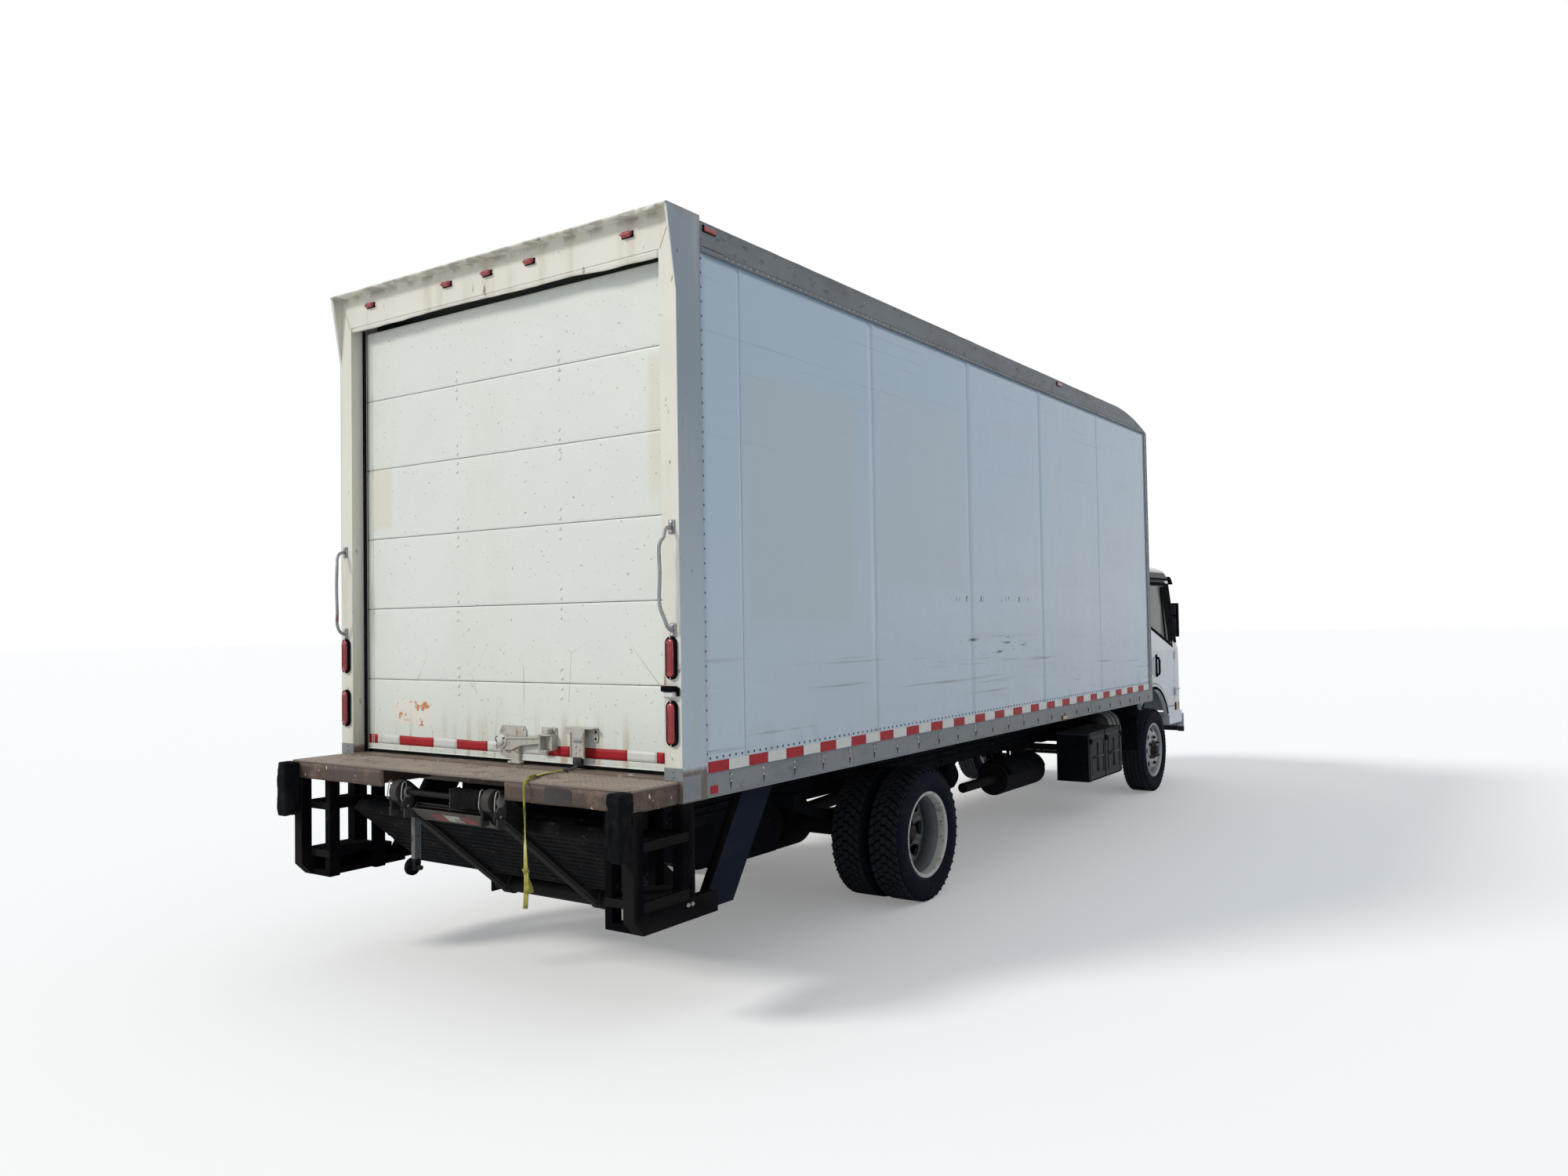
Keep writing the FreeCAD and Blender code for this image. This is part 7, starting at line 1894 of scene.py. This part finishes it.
def shaped(form, name, bounds):
    """A pad blown up by a cloth simulation, kept near its start and inside its bounds."""
    mesh = bpy.data.meshes.new(name)
    mesh.from_pydata([tuple(p) for p in form.points], [], form.faces)
    pad = bpy.data.objects.new(name, mesh)
    scene.collection.objects.link(pad)
    remesh = pad.modifiers.new("remesh", "REMESH")
    remesh.mode = "VOXEL"
    remesh.voxel_size = 0.012
    bake(pad)
    start = [v.co.copy() for v in pad.data.vertices]
    cloth = pad.modifiers.new("cloth", "CLOTH")
    cloth.settings.use_pressure = True
    cloth.settings.uniform_pressure_force = 4
    cloth.settings.quality = 4
    cloth.settings.effector_weights.gravity = 0
    cloth.point_cache.frame_end = 20
    for moment in range(1, 21):
        scene.frame_set(moment)
    bake(pad)
    scene.frame_set(1)
    for v, before in zip(pad.data.vertices, start):
        moved = v.co - before
        if moved.length > SWELL:
            v.co = before + moved.normalized() * SWELL
        for axis, (low, high) in enumerate(bounds):
            v.co[axis] = min(max(v.co[axis], low), high)
    smooth = pad.modifiers.new("smooth", "SUBSURF")
    smooth.levels = 1
    bake(pad)
    for polygon in pad.data.polygons:
        polygon.use_smooth = True
    return pad


def bake(piece):
    """Leave the result of the piece's modifiers as its mesh."""
    view = bpy.context.evaluated_depsgraph_get()
    result = bpy.data.meshes.new_from_object(piece.evaluated_get(view))
    piece.modifiers.clear()
    piece.data = result


def piping(form, pad, loops, matrix, radius=0.0032, kind=0):
    """Sewn edges and channels laid on the pad's skin."""
    for loop, closed in loops:
        points = []
        for p in loop:
            _, place, normal, _ = pad.closest_point_on_mesh(Vector(p))
            points.append(matrix @ (place + normal * radius * 0.3))
        form.tube(points, radius, 6, kind, closed=closed)


def pad_piece(name, x, y, z, matrix, channels, seams, back=False):
    """One upholstered pad between bounds in its own frame, then set in the cab."""
    form = Form()
    form.bar((x[0] + 0.014, x[1] - 0.014), (y[0] + 0.012, y[1] - 0.012),
             (z[0] + (0.008 if back else 0.001), z[1] - 0.014), 0.030)
    pad = shaped(form, name, (x, y, z))
    face = y[0] if back else z[1]
    loops = []
    for share in channels:
        a = x[0] + (x[1] - x[0]) * share
        if back:
            loops.append(([(a, face, b) for b in steps(z[0] + 0.03, z[1] - 0.03, 0.015)], False))
        else:
            loops.append(([(a, b, face) for b in steps(y[0] + 0.03, y[1] - 0.05, 0.015)], False))
    if back:
        loops.append((raised(filled_out(rectangle(*x, *z), 0.02), 1, y[0] + 0.022), True))
    else:
        loops.append((raised(filled_out(rectangle(*x, *y), 0.02), 2, z[1] - 0.028), True))
    piping(seams, pad, loops, matrix)
    pad.data.transform(matrix)
    pad.data.materials.clear()
    pad.data.materials.append(seat_cloth)
    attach(pad, "cab")


# how far the backrests lean, and their own frame in the cab
LEAN = atan2(0.090, 0.580)
BACKREST = Matrix.Translation((0, -2.980, 1.350)) @ Matrix.Rotation(-LEAN, 4, "X")
seams, frames = Form(), Form()
for word, low, high, channels, heads in (("driver", 0.280, 0.760, (0.22, 0.78), (0.520,)),
                                         ("bench", -0.760, 0.200, (0.12, 0.38, 0.5, 0.62, 0.88),
                                          (-0.520, -0.040))):
    pad_piece("seat_cushion_" + word, (low, high), (-3.420, -2.935), (1.226, 1.370), Matrix(),
              channels, seams)
    pad_piece("seat_back_" + word, (low, high), (-0.055, 0.050), (0.015, 0.430), BACKREST,
              channels, seams, True)
    for k, x in enumerate(heads):
        pad_piece(f"head_rest_{word}_{k}", about(x, 0.130), (-0.052, 0.045), (0.446, 0.585),
                  BACKREST, (), seams, True)
        for dx in (-0.060, 0.060):
            frames.rod(BACKREST @ Vector((x + dx, 0, 0.400)),
                       BACKREST @ Vector((x + dx, 0, 0.470)), 0.006, 10, 0.001, 1)
    frames.bars(
        (low + 0.020, high - 0.020, -3.400, -2.930, 1.214, 1.227, 0.004),
        (low + 0.032, high - 0.032, -3.338, -2.942, 1.0905, 1.104, 0.003))
    for x in (low + 0.034, high - 0.056):
        frames.bars(
            (x, x + 0.022, -3.330, -2.950, 1.100, 1.216, 0.003),
            (x + 0.004, x + 0.018, -3.410, -2.930, 1.205, 1.217, 0.002, 1))
    frames.bars(
        (low + 0.036, high - 0.036, -3.325, -3.300, 1.100, 1.214, 0.003),
        (low + 0.036, high - 0.036, -2.980, -2.955, 1.100, 1.214, 0.003))
    side_x = high if word == "driver" else low
    frames.bar(span(side_x, side_x + (0.018 if word == "driver" else -0.018)),
               (-3.000, -2.925), (1.225, 1.400), 0.006)
seams.make("seat_piping", "cab", "seat_cloth", seat_cloth)
frames.make("seat_frames", "cab", "trim_plastic", trim_black, worn_steel, replaces=["seats"])


# ---------------------------------------------------------------- stage

def plain(name, colour, lift):
    """A dull plain colour, lifted by an even share of white where the camera sees it itself."""
    graph = Graph(bpy.data.materials.new(name))
    seen = graph.node("ShaderNodeLightPath").outputs["Is Camera Ray"]
    return graph.surface(graph.node(
        "ShaderNodeBsdfPrincipled", Base_Color=colour, Roughness=0.9, Emission_Color=(1, 1, 1),
        Emission_Strength=graph.math("MULTIPLY", seen, lift)))


FLOOR_REACH = 120
floor_mesh = bpy.data.meshes.new("floor")
floor_mesh.from_pydata(raised(rectangle(*about(0, FLOOR_REACH), *about(0, FLOOR_REACH)), 2, 0),
                       [], [(0, 1, 2, 3)])
floor_mesh.materials.append(plain("floor", (0.93, 0.93, 0.93), 0.20))
floor = bpy.data.objects.new("floor", floor_mesh)
scene.collection.objects.link(floor)

sky = Graph(bpy.data.worlds.new("studio"))
scene.world = sky.owner
paths = sky.node("ShaderNodeLightPath").outputs
seen = sky.math("MAXIMUM", paths["Is Camera Ray"], paths["Is Glossy Ray"])
both = sky.node("ShaderNodeMixShader", Fac=sky.math("MAXIMUM", seen, paths["Is Transmission Ray"]))
soft = sky.node("ShaderNodeBackground", Color=(0.88, 0.94, 1.0), Strength=0.52)
white = sky.node("ShaderNodeBackground", Color=(1, 1, 1), Strength=1.0)
sky.feed(both.inputs[1], soft.outputs[0])
sky.feed(both.inputs[2], white.outputs[0])
sky.node("ShaderNodeOutputWorld", Surface=both.outputs[0])

key = bpy.data.lights.new("key", "SUN")
key.energy = 1.75
key.angle = radians(14)
key.color = (1.0, 0.965, 0.90)
key_lamp = bpy.data.objects.new("key", key)
key_lamp.rotation_mode = "QUATERNION"
key_lamp.rotation_quaternion = Vector((-0.50, -0.72, -0.62)).to_track_quat("-Z", "Y")
scene.collection.objects.link(key_lamp)
